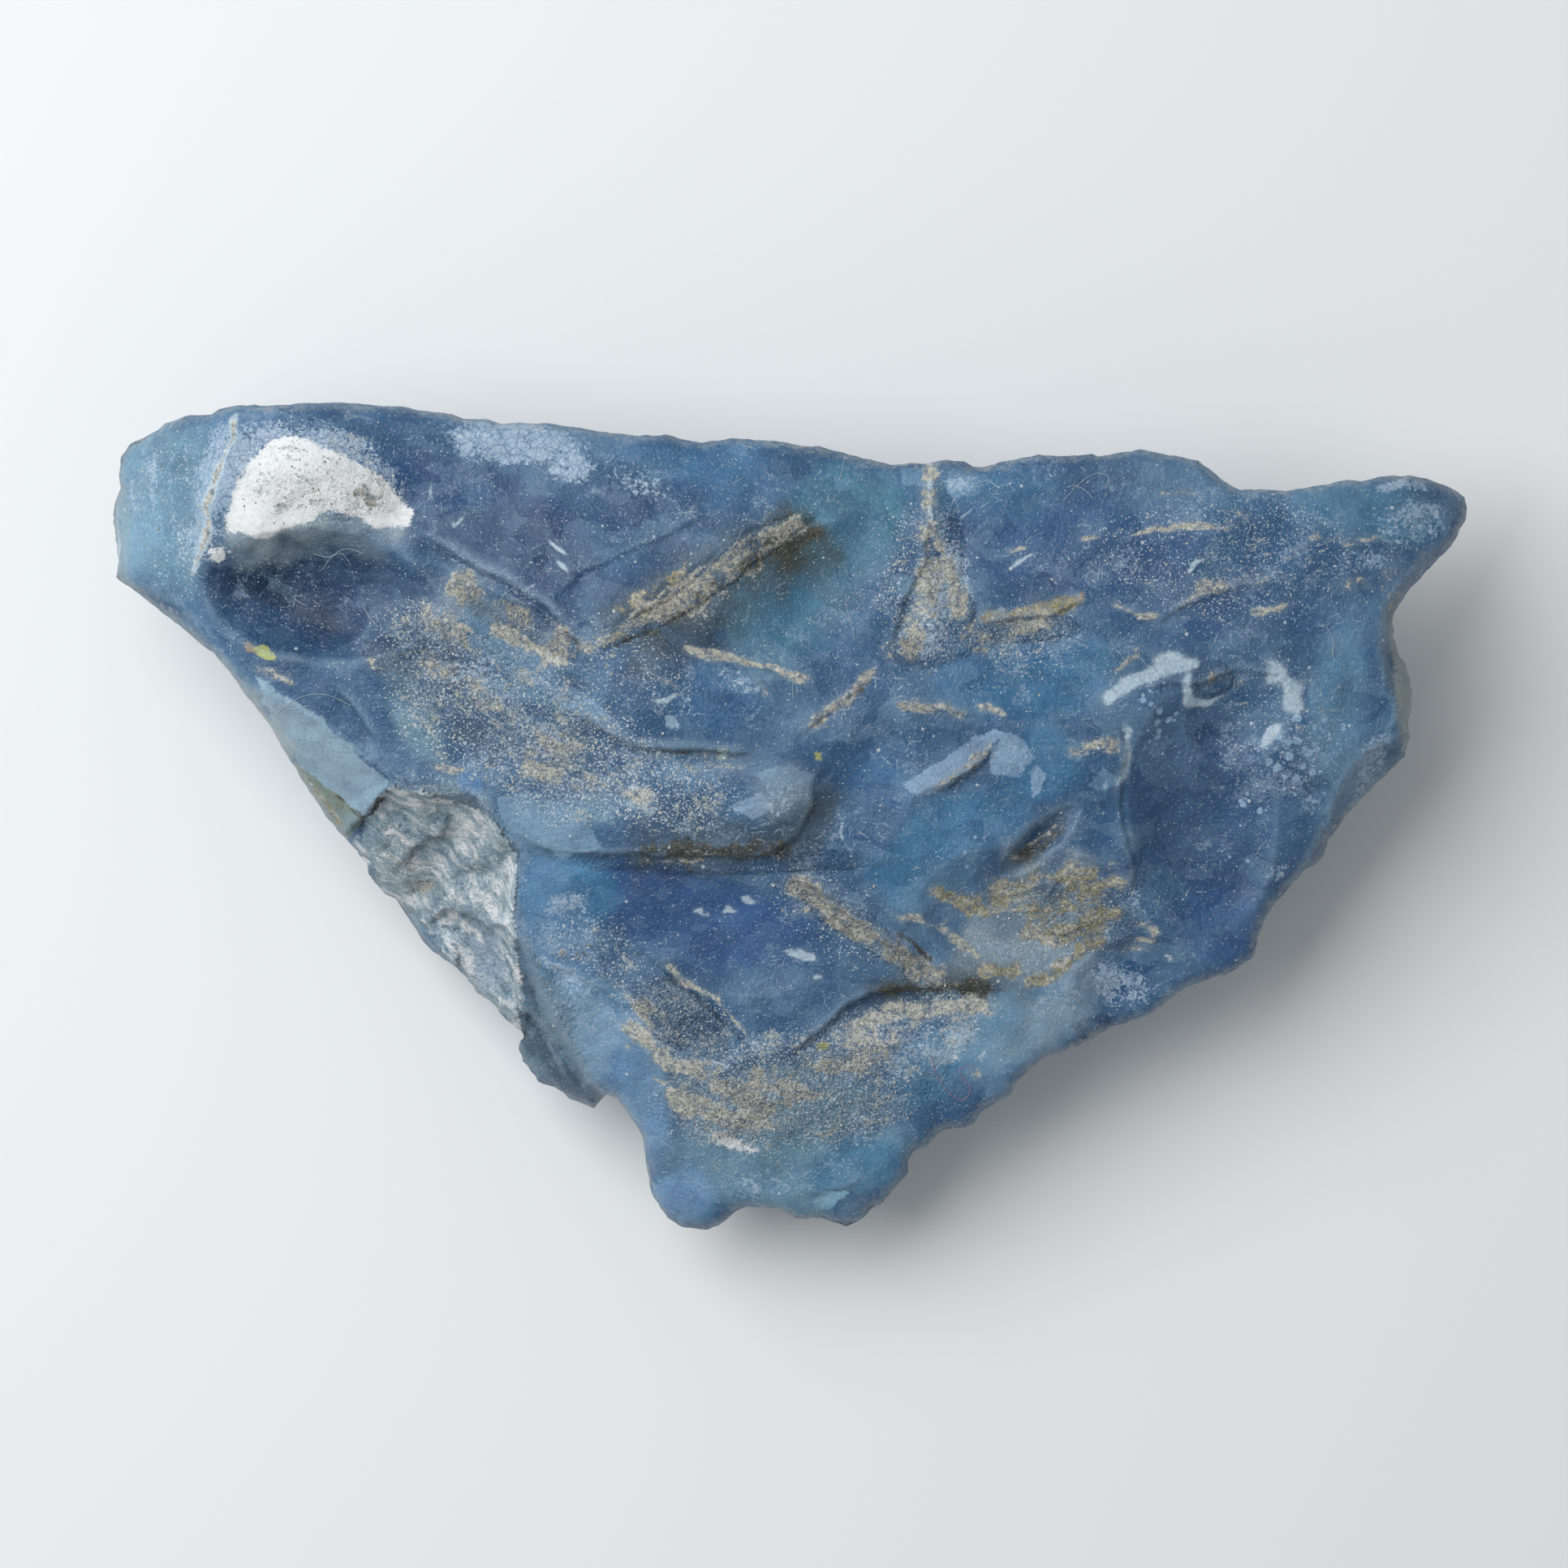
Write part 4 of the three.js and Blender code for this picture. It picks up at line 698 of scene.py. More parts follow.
# rock: fill of the lens crevice, the shelves and the ramp
STROKES["tan"] = [
    (0.4, 0.7, ((-20.2, 15.1), (-19.3, 15), (-18.6, 14.4), (-17.9, 13.9))),
    (0.66, 0.95, ((-15.8, 10.9), (-14, 10.2), (-12.5, 9.4), (-11, 8.6), (-9.6, 7.9))),
    (0.5, 0.5, ((-17.4, 9.6), (-15.6, 8.6), (-14, 7.4))),
    (0.7, 0.48, ((-17, 7.6), (-15.4, 6.4), (-13.6, 5.4))),
    (0.5, 0.48, ((-13.6, 4), (-12, 3), (-10.4, 2.6))),
    (0.3, 1.0, ((-10, 7.6), (-9, 8), (-8, 8.35), (-7, 8.9), (-6, 9.5))),
    (0.6, 1.0, ((-7, 8.9), (-6, 9.5), (-5, 10.05), (-4, 10.7), (-3, 11.4), (-2, 12.1))),
    (0.5, 0.62, ((-3, 11.4), (-2, 12), (-1, 12.7), (0, 13.1), (1, 13.6))),
    (0.95, 0.8, ((-6, 9.3), (-4.4, 10.2), (-2.8, 11.2), (-1.2, 12.3))),
    (0.26, 0.8, ((0.2, 3.7), (1, 4.3), (2, 5.2), (3.1, 6), (3.6, 6.6), (4.2, 7.1))),
    (0.22, 0.6, ((28.3, 2.4), (26.6, 0.3), (25, -1.6))),
    (0.2, 0.5, ((24.6, 10.6), (26, 10.9), (27, 10.4))),
    (0.34, 0.75, ((18.7, 5.8), (19.2, 6.4), (19.8, 7))),
    (0.28, 0.8, ((4.4, 5.2), (5.5, 5.1), (6.5, 5.05), (7.5, 5), (8.3, 4.7))),
    (0.2, 0.6, ((5.9, 1.2), (7.2, 1.8), (8.6, 2.9), (9.4, 3.9))),
    (0.34, 0.75, ((12.2, 3.1), (13.4, 3.3), (14.6, 3.4), (15, 4.2))),
    (0.22, 0.8, ((11.9, -0.7), (12.4, -0.3), (12.9, 0.1))),
    (0.5, 0.9, ((-0.4, -2.3), (0.5, -3), (1.5, -3.9), (2.5, -4.6), (3.5, -5.3), (4.5, -6), (5.5, -6.6),
        (6.5, -7), (7.5, -7.1))),
    (0.2, 0.55, ((-4.6, 3), (-3.3, 2.9), (-2, 2.9), (-0.8, 3.2))),
    (0.34, 0.6, ((-7.6, -8.2), (-6.2, -8.8), (-5, -9.5), (-4.4, -10))),
    (0.6, 0.75, ((-5, -10.6), (-3.6, -12), (-2, -12.6), (-0.4, -13.6))),
    (0.5, 0.7, ((0.6, -11), (2, -11.4), (3.6, -11), (5, -10.2))),
]
# paler rock: veins, bands and crumbs along the breaks
STROKES["cream"] = [
    (0.14, 0.62, ((-25.3, 18.8), (-25.25, 18.15), (-25.3, 17.3), (-25.9, 15.8), (-26.5, 14.4),
        (-26.5, 13.5), (-26.95, 11.7), (-27.65, 10.5))),
    (0.46, 0.9, ((-13.9, 8.8), (-12.8, 8.5), (-12, 8), (-11, 7.5), (-9.9, 7.1))),
    (0.2, 0.5, ((-16.4, 9.4), (-15, 8.8), (-13.6, 8))),
    (0.5, 0.5, ((-14.4, 5.6), (-12.6, 4.8), (-11.4, 3.8), (-9.8, 3))),
    (0.6, 0.6, ((-12.6, 2.6), (-11, 2.2), (-9.4, 1.8), (-8, 1.2))),
    (0.4, 0.5, ((-11.4, 4.6), (-10, 3.6), (-8.8, 2.8))),
    (0.2, 0.6, ((-16.6, 2.6), (-15.2, 2.2), (-13.8, 2.6))),
    (0.22, 0.7, ((-6.6, 9.7), (-4.8, 10.9), (-3, 12), (-1.4, 13.2))),
    (0.16, 0.6, ((-5.6, 9), (-4, 10), (-2.6, 11.2))),
    (0.4, 0.85, ((-8.4, 8.2), (-7, 9), (-5.4, 9.8), (-4, 10.8), (-2.6, 12))),
    (0.2, 0.6, ((-2.6, 12), (-1, 12.9), (0.8, 14))),
    (0.24, 0.85, ((-5.2, 8), (-4, 7.5), (-3, 7.4), (-1.2, 7), (0.3, 6.4), (1.2, 6.1))),
    (0.16, 0.6, ((-2, 7), (-1.5, 6.3), (-1, 5.8), (-0.5, 5.1))),
    (0.42, 0.75, ((6.35, 16.9), (6.3, 16.3), (6.25, 15), (6.4, 13.6), (6.7, 12.6), (7.2, 11.4),
        (7.6, 10.2), (7.9, 8.7))),
    (0.4, 0.8, ((6.2, 14), (6.25, 12.4), (5.9, 11.3), (5.5, 10.1))),
    (0.6, 0.62, ((6.8, 12.4), (6.6, 11.8), (6.3, 10.4), (6, 9), (5.6, 7.9), (4.4, 7.2))),
    (0.9, 0.66, ((7.6, 8.3), (9.2, 8.4), (10.6, 8.9), (12.4, 9.4))),
    (0.2, 0.85, ((14.1, 9.9), (15, 9.6), (16, 9.25), (17, 9.1))),
    (0.18, 0.6, ((17, 9.1), (17.5, 9.6), (18.7, 10.3), (20.5, 10.8), (22.2, 10.85))),
    (0.2, 0.75, ((20.6, 9.5), (22, 9.5), (23, 9.75))),
    (0.17, 0.7, ((16.2, 14.75), (17.5, 14.9), (19.2, 15.1))),
    (0.17, 0.75, ((15, 12.8), (16.5, 13.2), (18.3, 13.35), (20.3, 13.3))),
    (0.15, 0.6, ((20, 13.9), (20.9, 14))),
    (0.14, 0.6, ((12.8, 12.7), (14.5, 12.9))),
    (0.13, 0.55, ((9.5, 12.2), (11.2, 12.35))),
    (0.15, 0.55, ((14, 6.2), (15, 7), (16.3, 8))),
    (0.16, 0.5, ((22.6, 12.2), (24, 12.9), (25.6, 12.6), (27.4, 13))),
    (0.2, 0.85, ((8.1, 5.25), (9, 5.15), (9.7, 4.9), (10, 4.6))),
    (0.18, 0.6, ((9.6, -2), (10.5, -1.6), (11.3, -0.9), (12.6, 0.3), (13.2, 0.8))),
    (0.17, 0.7, ((8.9, -3.6), (10.8, -3.2), (12.8, -2.3), (13.5, -1.7))),
    (0.14, 0.75, ((10.3, -5.1), (11.4, -5.4), (12.6, -5.4))),
    (0.22, 0.75, ((15, -4.8), (16.3, -4.8), (16.7, -5.1), (16.5, -5.5), (15.3, -5.7))),
    (0.2, 0.7, ((14.4, -6.1), (15.4, -6), (17.1, -5.8))),
    (0.15, 0.7, ((14.3, -2.9), (15.9, -2.7))),
    (0.14, 0.6, ((14.1, -2.2), (15.3, -2))),
    (0.3, 0.85, ((6.3, -4.6), (7.2, -5.2), (8.2, -6), (8.8, -6.6))),
    (0.18, 0.65, ((4.3, -4.4), (5.5, -4.5), (6.8, -4.9))),
    (0.26, 0.6, ((0.4, -3.3), (2, -4.6), (3.8, -5.9), (5.6, -6.9))),
    (0.14, 0.75, ((-6, -6.2), (-5, -7.4), (-3.5, -8.2), (-2.7, -9), (-2, -9.8), (-1.3, -10.7),
        (-0.9, -11))),
    (0.15, 0.6, ((-7.6, -1.75), (-5, -1.85), (-2.5, -1.85))),
    (0.13, 0.6, ((-7, 7), (-5.8, 6.3), (-4.8, 5.8))),
    (0.12, 0.5, ((-6.3, 5.3), (-4.3, 5.9))),
    (0.14, 0.5, ((-18.2, 1.5), (-17.6, 1.2), (-17.2, 1))),
    (0.2, 0.7, ((4.9, -11), (5.8, -11.5), (6.9, -12))),
    (0.5, 0.8, ((1.6, -10.4), (3, -9.6), (4.6, -8.9), (6.2, -8.7), (8.2, -8.6), (9.6, -8.3))),
    (0.45, 0.75, ((-8, -9), (-6.8, -10), (-5.6, -11), (-4.2, -11.6))),
    (0.6, 0.8, ((-6, -12.2), (-4.6, -13), (-3, -13.6), (-1.2, -14.2))),
    (0.5, 0.75, ((-2.4, -11.6), (-0.8, -12.2), (1, -12.6), (2.4, -12.2))),
    (0.2, 0.6, ((-8.8, -7), (-7.6, -8), (-6.4, -9.4), (-5.2, -10.2))),
]
# iron stain: the yellow strata, the shelf and the crevice
STROKES["ochre"] = [
    (0.5, 0.55, ((-15.4, 10.6), (-14, 9.9), (-12.5, 9.1), (-11, 8.3), (-9.8, 7.7))),
    (0.5, 0.6, ((-7.4, 8.5), (-5.4, 9.5), (-3.6, 10.7), (-2, 11.9))),
    (0.4, 0.5, ((-8.6, 8.6), (-6.6, 10.1), (-4.6, 11.5), (-2.4, 13))),
    (0.34, 1.0, ((8, 9), (9, 9.2), (10, 9.35), (11, 9.5), (12, 9.6), (12.7, 9.8), (13.4, 10.2))),
    (0.56, 0.76, ((6, -3), (7, -3.4), (8, -3.9), (9, -3.9), (11.3, -3.8))),
    (0.7, 0.78, ((8.6, -3.7), (9.5, -3.3), (10.8, -3.3), (11.8, -2.9), (12.8, -2.4), (13.5, -1.7))),
    (0.56, 0.78, ((13.5, -1.7), (13.6, -2.7), (13.4, -3.5), (12.9, -4.2))),
    (0.42, 0.66, ((12.8, -3.3), (13.6, -3.6), (14.3, -3), (15.8, -2.8))),
    (0.58, 0.82, ((10.2, -5), (11.2, -5.3), (12.3, -5.4), (13.4, -5.1), (14.2, -4.6), (15.2, -4.3))),
    (0.6, 0.76, ((13.2, -4.4), (14, -4.9), (14, -5.6), (13.4, -6.2))),
    (0.4, 1.0, ((13.9, -5.3), (13.4, -5.9), (12.8, -6.5), (12, -7.2), (11, -7.5), (10.2, -7.6))),
    (0.3, 0.75, ((8, -6.8), (9, -7), (10, -6.9), (11, -7))),
    (0.25, 0.6, ((-22.8, 2.6), (-22, 1.4), (-21.2, 0.4), (-20.4, -0.8))),
]
# dirt in cracks and under lips, and painted shade there: the thin dark lines under the lips and in the
# deep scarp's crack
STROKES["brown_dirt_and_shade"] = [
    (0.18, 0.6, ((-20.4, 14.7), (-19.4, 14.6), (-18.4, 13.9))),
    (0.2, 0.6, ((-11, 9.3), (-10, 8.4), (-9.3, 7.8), (-9.1, 8.2), (-8.2, 9))),
    (0.12, 0.85, ((-8.6, 8.3), (-7, 9.2), (-5.5, 10.1), (-3.5, 11.5))),
    (0.12, 0.8, ((-5, 9.7), (-3, 11.1), (-1, 12.5), (0.4, 13.3))),
    (0.3, 0.7, ((-9.2, 7.7), (-8, 7.9), (-7, 8.2), (-6, 8.6), (-5, 9.2), (-4, 9.9), (-3, 10.7),
        (-2, 11.4), (-1, 12.1), (0.5, 12.6), (1.8, 13.4))),
    (0.12, 0.4, ((-8.8, 8.5), (-7, 9.6), (-5, 10.9), (-3, 12.3), (-1, 13.5), (0.6, 14))),
    (0.16, 0.8, ((5.45, 10.1), (5, 9.7), (4.85, 9.2), (4.8, 8.6))),
    (0.14, 0.5, ((0.9, 4), (2, 4.9), (3.1, 5.7), (4, 6.7))),
    (0.12, 0.6, ((8.6, 9.5), (10, 9.7), (11.6, 9.85), (13, 10.2))),
    (0.1, 0.6, ((5.8, 1), (7, 1.5), (8, 2.1), (9.1, 3.4))),
    (0.3, 0.85, ((10, -1.9), (11, -1.4), (11.9, -0.9), (12.6, 0))),
    (0.1, 0.55, ((13, -5.9), (12.2, -6.6), (11.2, -7.1), (10.4, -7.2))),
    (0.14, 0.9, ((4.6, -4.9), (5.2, -5.4), (6, -5.95), (6.6, -6.6), (6.9, -6.85))),
    # painted shade of the deep scarp's crack, with dirt in it
    (0.3, 1.0, ((3.6, -8), (4.4, -7.8), (5.4, -7.7), (7.5, -7.7), (9.6, -7.7))),
    (0.16, 0.4, ((1, -9.9), (1.8, -9.3), (2.5, -8.7), (3.6, -8))),
    (0.2, 0.45, ((-6.2, -6.9), (-5.5, -7.8), (-4.5, -8.6), (-3.5, -9.4), (-2.6, -10.1))),
    (0.5, 0.9, ((-7.5, -1.5), (-6, -1.3), (-4, -1.5), (-2, -1.4), (-0.6, -1.5), (0.3, -1))),
    (0.12, 0.55, ((-8.1, 3.8), (-6.5, 3.2), (-4.5, 3.1), (-1.6, 3))),
    (0.14, 0.7, ((-18.3, 1.3), (-18.9, 0.8), (-19.6, 0), (-20.2, 0.4), (-21.1, 1.3))),
]
# milky film on bevels and lips
STROKES["cloud"] = [
    (0.9, 0.75, ((-25.5, 18.4), (-26.1, 15.9), (-26.7, 13.6), (-27.4, 11))),
    (0.2, 0.62, ((-29.2, 17.2), (-29.1, 15), (-28.8, 12.4))),
    (0.14, 0.6, ((-30.2, 16.2), (-30.1, 14.4), (-29.9, 12.2))),
    (0.12, 0.6, ((-27.6, 18), (-27.5, 16.4), (-27.2, 14.6))),
    (0.14, 0.55, ((-29.4, 11), (-28.6, 9.8), (-27.4, 9))),
    (0.16, 0.6, ((-28.2, 17.4), (-28.3, 15), (-28, 12.8))),
    (0.35, 0.5, ((-17, 13.1), (-16, 12.4), (-15, 11.8), (-14, 11.2), (-12, 10.2), (-11.1, 9.7))),
    (0.2, 0.4, ((-11.2, 9.9), (-8, 11.9), (-5, 13.3), (-3, 14.4))),
    (0.9, 0.5, ((-16.4, 7), (-14, 6.4), (-12, 4.4), (-9.6, 2.4))),
    (0.3, 0.6, ((-7.4, 2.4), (-7, 1.2), (-5.8, 0.4))),
    (0.9, 0.75, ((7, 13), (7.2, 11.6), (6.6, 9.6), (6.4, 8.2), (5.4, 7.2))),
    (0.24, 0.7, ((26.4, 14.9), (28, 15.4), (29.6, 15.2))),
    (0.2, 0.65, ((27.6, 13.6), (29, 14.2), (30.4, 13.8))),
    (0.3, 0.5, ((15.9, -2.7), (15.6, -3.7), (15.3, -4.5))),
    (0.3, 0.5, ((8, -0.8), (8.7, -1.7), (9.4, -2.8))),
    (0.24, 0.6, ((-13, 7), (-11, 6), (-9, 5.2), (-8, 4.4))),
    (0.2, 0.6, ((-12, -6.2), (-10.8, -6.8), (-9.2, -7.4), (-7.4, -8.6))),
    (0.13, 0.6, ((2.1, 0.6), (2.3, -0.5), (2.7, -1.6), (3.3, -2.5))),
    (0.12, 0.5, ((4.9, 4.6), (5.2, 3.4), (5.5, 2.3))),
]
# white bands over the slate scar, and short crisp nicks
STROKES["milk"] = [
    (0.2, 0.95, ((-25.3, 18.8), (-25.3, 17.3), (-25.9, 15.8), (-26.5, 14.4), (-26.5, 13.5),
        (-26.95, 11.7), (-27.65, 10.5))),
    (0.12, 0.7, ((-31, 15.6), (-30.9, 13.4), (-30.8, 11.4))),
    (0.16, 0.85, ((6.35, 17), (6.3, 15.8), (6.3, 14.4), (6.5, 13))),
    (0.14, 0.8, ((6.6, 12.4), (7.1, 11), (7.5, 9.8), (7.8, 8.8))),
    (0.3, 0.95, ((14.1, 5), (14.5, 5.6), (15.3, 6.1), (16.2, 6.5), (17.2, 6.9))),
    (0.46, 1.0, ((16.2, 6.7), (17.4, 7), (18.3, 7.1), (18.6, 7.5))),
    (0.26, 0.85, ((18.3, 7.1), (18, 6.2), (18.2, 5.3), (19, 5.4), (19.8, 5.8), (20.5, 6.2), (21, 6.5))),
    (0.75, 0.95, ((21.2, 6.9), (22, 6.7), (22.7, 6.1), (22.9, 5.3), (22.6, 4.6))),
    (0.28, 0.9, ((22.6, 4.6), (22, 4), (21.3, 3.1))),
    (0.2, 0.6, ((14.9, 4.8), (15.3, 4), (15.4, 3.2), (15.2, 1.9), (14.5, 1.2))),
    (0.1, 0.8, ((-15.7, 13.9), (-15.2, 13.3), (-14.9, 13.8), (-14.5, 13.9))),
    (0.1, 0.75, ((-11.2, 12.8), (-10.5, 12.3), (-9.8, 11.9))),
    (0.1, 0.75, ((-10.9, 12), (-10.2, 11.4), (-9.8, 10.9))),
    (0.1, 0.7, ((-4.1, 14.9), (-4.4, 14.2), (-4.9, 13.4))),
    (0.1, 0.7, ((-16.2, 15.6), (-16.3, 14.8), (-16.2, 14.2))),
    (0.12, 0.8, ((-6.4, 5.2), (-5.5, 5.6), (-4.6, 5.8))),
    (0.1, 0.7, ((-5, 5), (-4.6, 5.6), (-4.4, 6.1))),
    (0.1, 0.7, ((9.6, 11.2), (10.6, 11.9), (11.6, 12.2))),
    (0.1, 0.7, ((17.8, 10.9), (18.4, 11.6), (19.2, 11.9))),
    (0.1, 0.7, ((-11.4, 3.9), (-11, 4.4), (-10.9, 5))),
]
# milky dots beside the white bands
STROKES["dots"] = [
    (1.3, 0.8, ((15.6, 4.6), (16.6, 5.2), (17.4, 4.2))),
    (1.5, 0.9, ((23.6, 5.6), (23.4, 4), (22.6, 2.4), (21.6, 1.6))),
    (0.9, 0.6, ((20.2, 1.4), (21, 0.4), (22.6, 0.2))),
]
# dark stain in the hollows along the crevices and the scarp, with painted shade beside their lips
STROKES["stain_and_shade"] = [
    (0.8, 0.4, ((-15.6, 4.4), (-14.2, 3.4), (-13, 2.6))),
    (1.2, 1.0, ((-8, 7.6), (-6.4, 8), (-5, 8.5), (-3.4, 9.7), (-2, 10.7), (-0.6, 11.6), (0.8, 12.3),
        (2, 13.2))),
    (0.8, 0.7, ((-9, 8.4), (-7, 9.6), (-5, 10.9), (-3, 12.3), (-1, 13.5), (0.6, 14.1))),
    (0.7, 0.9, ((3.2, -8.1), (4.4, -7.7), (5.4, -7.6), (7.5, -7.6), (9.8, -7.5))),
    (1, 0.9, ((-7.8, -1.5), (-5, -1.3), (-2, -1.3), (0.2, -1.1), (1.3, 0.6), (1.4, 2))),
    (0.7, 0.28, ((-6.2, -7), (-4.5, -8.6), (-2.6, -10.2))),
    (0.5, 0.7, ((9.8, -1.9), (11, -1.4), (12, -0.7), (12.8, 0.1))),
    (1.2, 0.7, ((-7.4, -1.2), (-5, -0.9), (-2.4, -0.9), (0.2, -0.8))),
    (0.5, 0.8, ((1.2, -0.4), (1.5, 0.6), (1.5, 2.2))),
]
# pale haze round the rock, and along the left bevel a painted reflection of the lamp
STROKES["haze_and_reflection"] = [
    (0.5, 1.0, ((-31.2, 10.4), (-28.4, 8.4), (-26, 6.7), (-24, 4.6), (-22.6, 2.6))),
    (0.9, 0.9, ((-26, 12.3), (-25, 12.7), (-23, 13.4), (-21, 13.7), (-18.8, 13.5), (-17.2, 13.3))),
    (0.8, 0.6, ((-15.8, 10.7), (-14, 9.9), (-12.5, 9), (-11, 8.2), (-9.8, 7.6))),
    (1.6, 0.85, ((7.4, -5.2), (9.6, -6), (12, -6.2), (13.4, -5))),
    (1.4, 0.8, ((9.6, -3.6), (12, -3.2), (14.2, -3.4))),
]
print("strokes:", {name: len(strokes) for name, strokes in STROKES.items()})

# %% Patches, the chalk crust and dust
PATCHES = {
    # for each deposit: strength, middle in mm, half widths, turn
    "chalk": [(0.95, (-26, 12.2), (0.6, 0.6), 0), (0.6, (17.3, -6.4), (0.5, 0.4), 0),
        (0.55, (17, -7.9), (0.5, 0.4), 0), (0.55, (8.7, -10.6), (0.9, 0.9), 0),
        (0.5, (6.2, -11.3), (1, 0.5), -20)],
    "tan": [(0.34, (-22.5, 16), (0.9, 0.5), 20), (0.5, (-22.4, 14.4), (1.6, 0.5), 10),
        (0.6, (18.9, 10.7), (0.8, 0.6), 30), (0.75, (6, 10.7), (0.5, 0.9), 0),
        (0.6, (8.4, 8.1), (0.9, 1), 0), (0.5, (5, 7.8), (1.2, 0.8), 0),
        (0.5, (1.2, -3.4), (1.6, 0.8), -38), (0.4, (-4.6, -9.8), (1.8, 0.8), -36),
        (0.42, (0.6, -12.3), (3, 1.2), 6), (0.52, (3.8, -10.4), (2.4, 1.3), 24),
        (0.4, (-16.4, 9.2), (2.2, 0.9), -10), (0.34, (-15, 5.6), (2.4, 2), -20),
        (0.45, (-18.8, 7.4), (1.4, 0.8), -30), (0.5, (-23.3, 6.6), (1.5, 0.45), -20),
        (0.35, (-10, -5.8), (1.6, 0.9), -10), (0.35, (27.6, 9.6), (0.9, 3.4), 0),
        (0.4, (28.2, 4.6), (0.7, 2.4), 0)],
    "cream": [(0.45, (-3.4, 2.3), (2.6, 0.5), -6), (0.7, (6.3, 11.4), (0.4, 0.4), 0),
        (0.42, (-3.8, -12.8), (3.4, 1.4), -14), (0.5, (-3, -15.8), (0.9, 0.4), 0),
        (0.48, (-1.6, -13.9), (3.2, 0.7), 10), (0.6, (8.7, -11.6), (0.5, 0.3), 0),
        (0.6, (-7, 0.9), (1.3, 0.6), 0), (0.36, (-10.8, 3), (2.6, 1.4), -20),
        (0.5, (-17.6, -2.4), (2, 0.9), -40)],
    "ochre": [(0.8, (11.3, 9.4), (0.5, 0.35), 0), (0.85, (14.8, -4.4), (0.6, 0.4), 10),
        (0.58, (12.4, -3.6), (2.8, 1.5), 16)],
    "brown_dirt_and_shade": [(0.35, (-10.1, -5.9), (1.7, 1), -10)],
    "cloud": [(0.55, (-0.8, 1), (1.4, 1), 50), (0.5, (-4.6, 1.8), (2.4, 0.8), -10),
        (0.45, (-5.6, 5.2), (2.4, 0.9), -10), (0.5, (-2.4, 6.4), (1.6, 0.7), -20),
        (0.5, (29, 14), (1.8, 1.2), -20), (0.45, (25.6, 11.6), (2.4, 1), 10),
        (0.5, (26.4, 2.4), (1, 2.6), -20), (0.5, (-9.6, -8.6), (1.6, 2.6), 30),
        (0.5, (-1.6, -16.8), (4, 1), 0), (0.45, (3.4, -14), (1.2, 1.6), 30),
        (0.4, (12.4, -8.2), (2.6, 0.9), 30), (0.75, (-22.2, 17.2), (3.4, 1), -12),
        (0.8, (-25.2, 15.6), (1.4, 2.6), -20), (0.75, (-20, 16.4), (3.6, 1.3), -30),
        (0.95, (-12.6, 17.1), (3.8, 1.4), -6), (0.62, (-10.2, 15.8), (1.6, 1), 0),
        (0.4, (-6, 15.4), (4, 1), -8), (0.55, (7.6, 15.3), (1.3, 0.8), 0),
        (0.5, (23.6, 0.3), (0.8, 0.8), 0), (0.5, (22.4, -2.6), (0.9, 0.5), 30),
        (0.7, (15.4, -7.6), (2.2, 1.3), -30), (0.5, (10, 2.9), (1.1, 1), 0),
        (0.5, (9.4, -6), (2, 0.9), -14), (0.5, (14.4, -5.4), (1.2, 0.8), 20),
        (0.7, (6.4, -10.8), (3, 1.2), 26), (0.8, (-14, -6.7), (1.3, 2), 20),
        (0.6, (-10.4, -3.8), (1.6, 0.8), 10), (0.4, (28, 13.4), (2, 1.6), 0)],
    "milk": [(0.62, (7.4, -10.4), (2.4, 1), 26), (0.7, (1.1, -7.2), (0.3, 0.2), 20),
        (0.9, (-2, -3.7), (0.5, 0.25), -10), (0.9, (-2.9, -4.2), (0.45, 0.2), -10),
        (0.9, (-4, -4.35), (0.45, 0.18), 0), (0.9, (0.4, -6.2), (1, 0.3), -16)],
    "dots": [(0.85, (22.6, 2.8), (1.8, 2.2), 0), (0.8, (16.8, 4.6), (1.9, 1.3), 15),
        (0.5, (20.5, -2.2), (1.4, 1.1), 0), (0.7, (14.4, 0.8), (0.5, 1.1), 0),
        (0.7, (10.2, 2), (0.8, 0.9), 0), (0.8, (8.4, -1.4), (1, 1.1), 20)],
    "haze_and_reflection": [(0.5, (11.6, -9.6), (3.2, 1.3), 30), (0.5, (-0.6, 1.4), (1.9, 1.4), 40)],
}
CHALK_LOOP = (
    (-25.5, 13.15), (-25.2, 14.6), (-24.8, 15.4), (-24.3, 16.2), (-23.6, 16.9), (-22.9, 17.2),
    (-22, 17.1), (-21.2, 16.7), (-20.2, 16.4), (-19.3, 15.8), (-18.5, 15.2), (-17.8, 14.5),
    (-17.3, 13.9), (-17.5, 13.5), (-18.7, 13.4), (-19.2, 13.8), (-20, 14.1), (-21, 14.2),
    (-22, 13.7), (-23, 13.3), (-24, 13), (-25, 13.2),
)
CHALK_FRINGE = 0.9  # mm over which the crust fades out
DUST = [
    # strength, middle in mm, half widths, turn
    (0.85, (-12.6, 4.4), (9, 4.4), -28), (0.75, (-16, 8), (4, 2), -24),
    (0.9, (-8, 1.8), (7, 3), -10), (0.9, (0, -12.4), (8, 3.4), 6),
    (0.8, (-5.4, -9.4), (4, 2.4), -36), (0.8, (5, -9.8), (6, 2), 14),
    (0.7, (6.4, 10.6), (3, 5), 0), (0.7, (11, 8.2), (4, 2), 0), (0.6, (1.6, -4.4), (5, 2), -36),
    (0.8, (-22, 15.6), (5, 3), 0), (0.6, (-9, 7.6), (6, 2), -20), (0.6, (20, 12), (8, 4), 0),
    (0.6, (12, -4.6), (5, 3), 0), (0.6, (-16, -1), (5, 4), -50), (0.5, (22, 4), (4, 5), 0),
    (0.5, (-28, 14), (3, 5), 0), (0.7, (-9, -6), (4, 2), -30),
]
print("patches:", {name: len(patches) for name, patches in PATCHES.items()})

# %% [markdown]
# ## The outer edge
# The edge of the stone is where faces that look up meet faces that look down. It is read off
# the solid, so the fine skin can't drift from it. Between the solid's points the edge is
# walked in short steps and nicked a little, because a broken rim is never smooth.

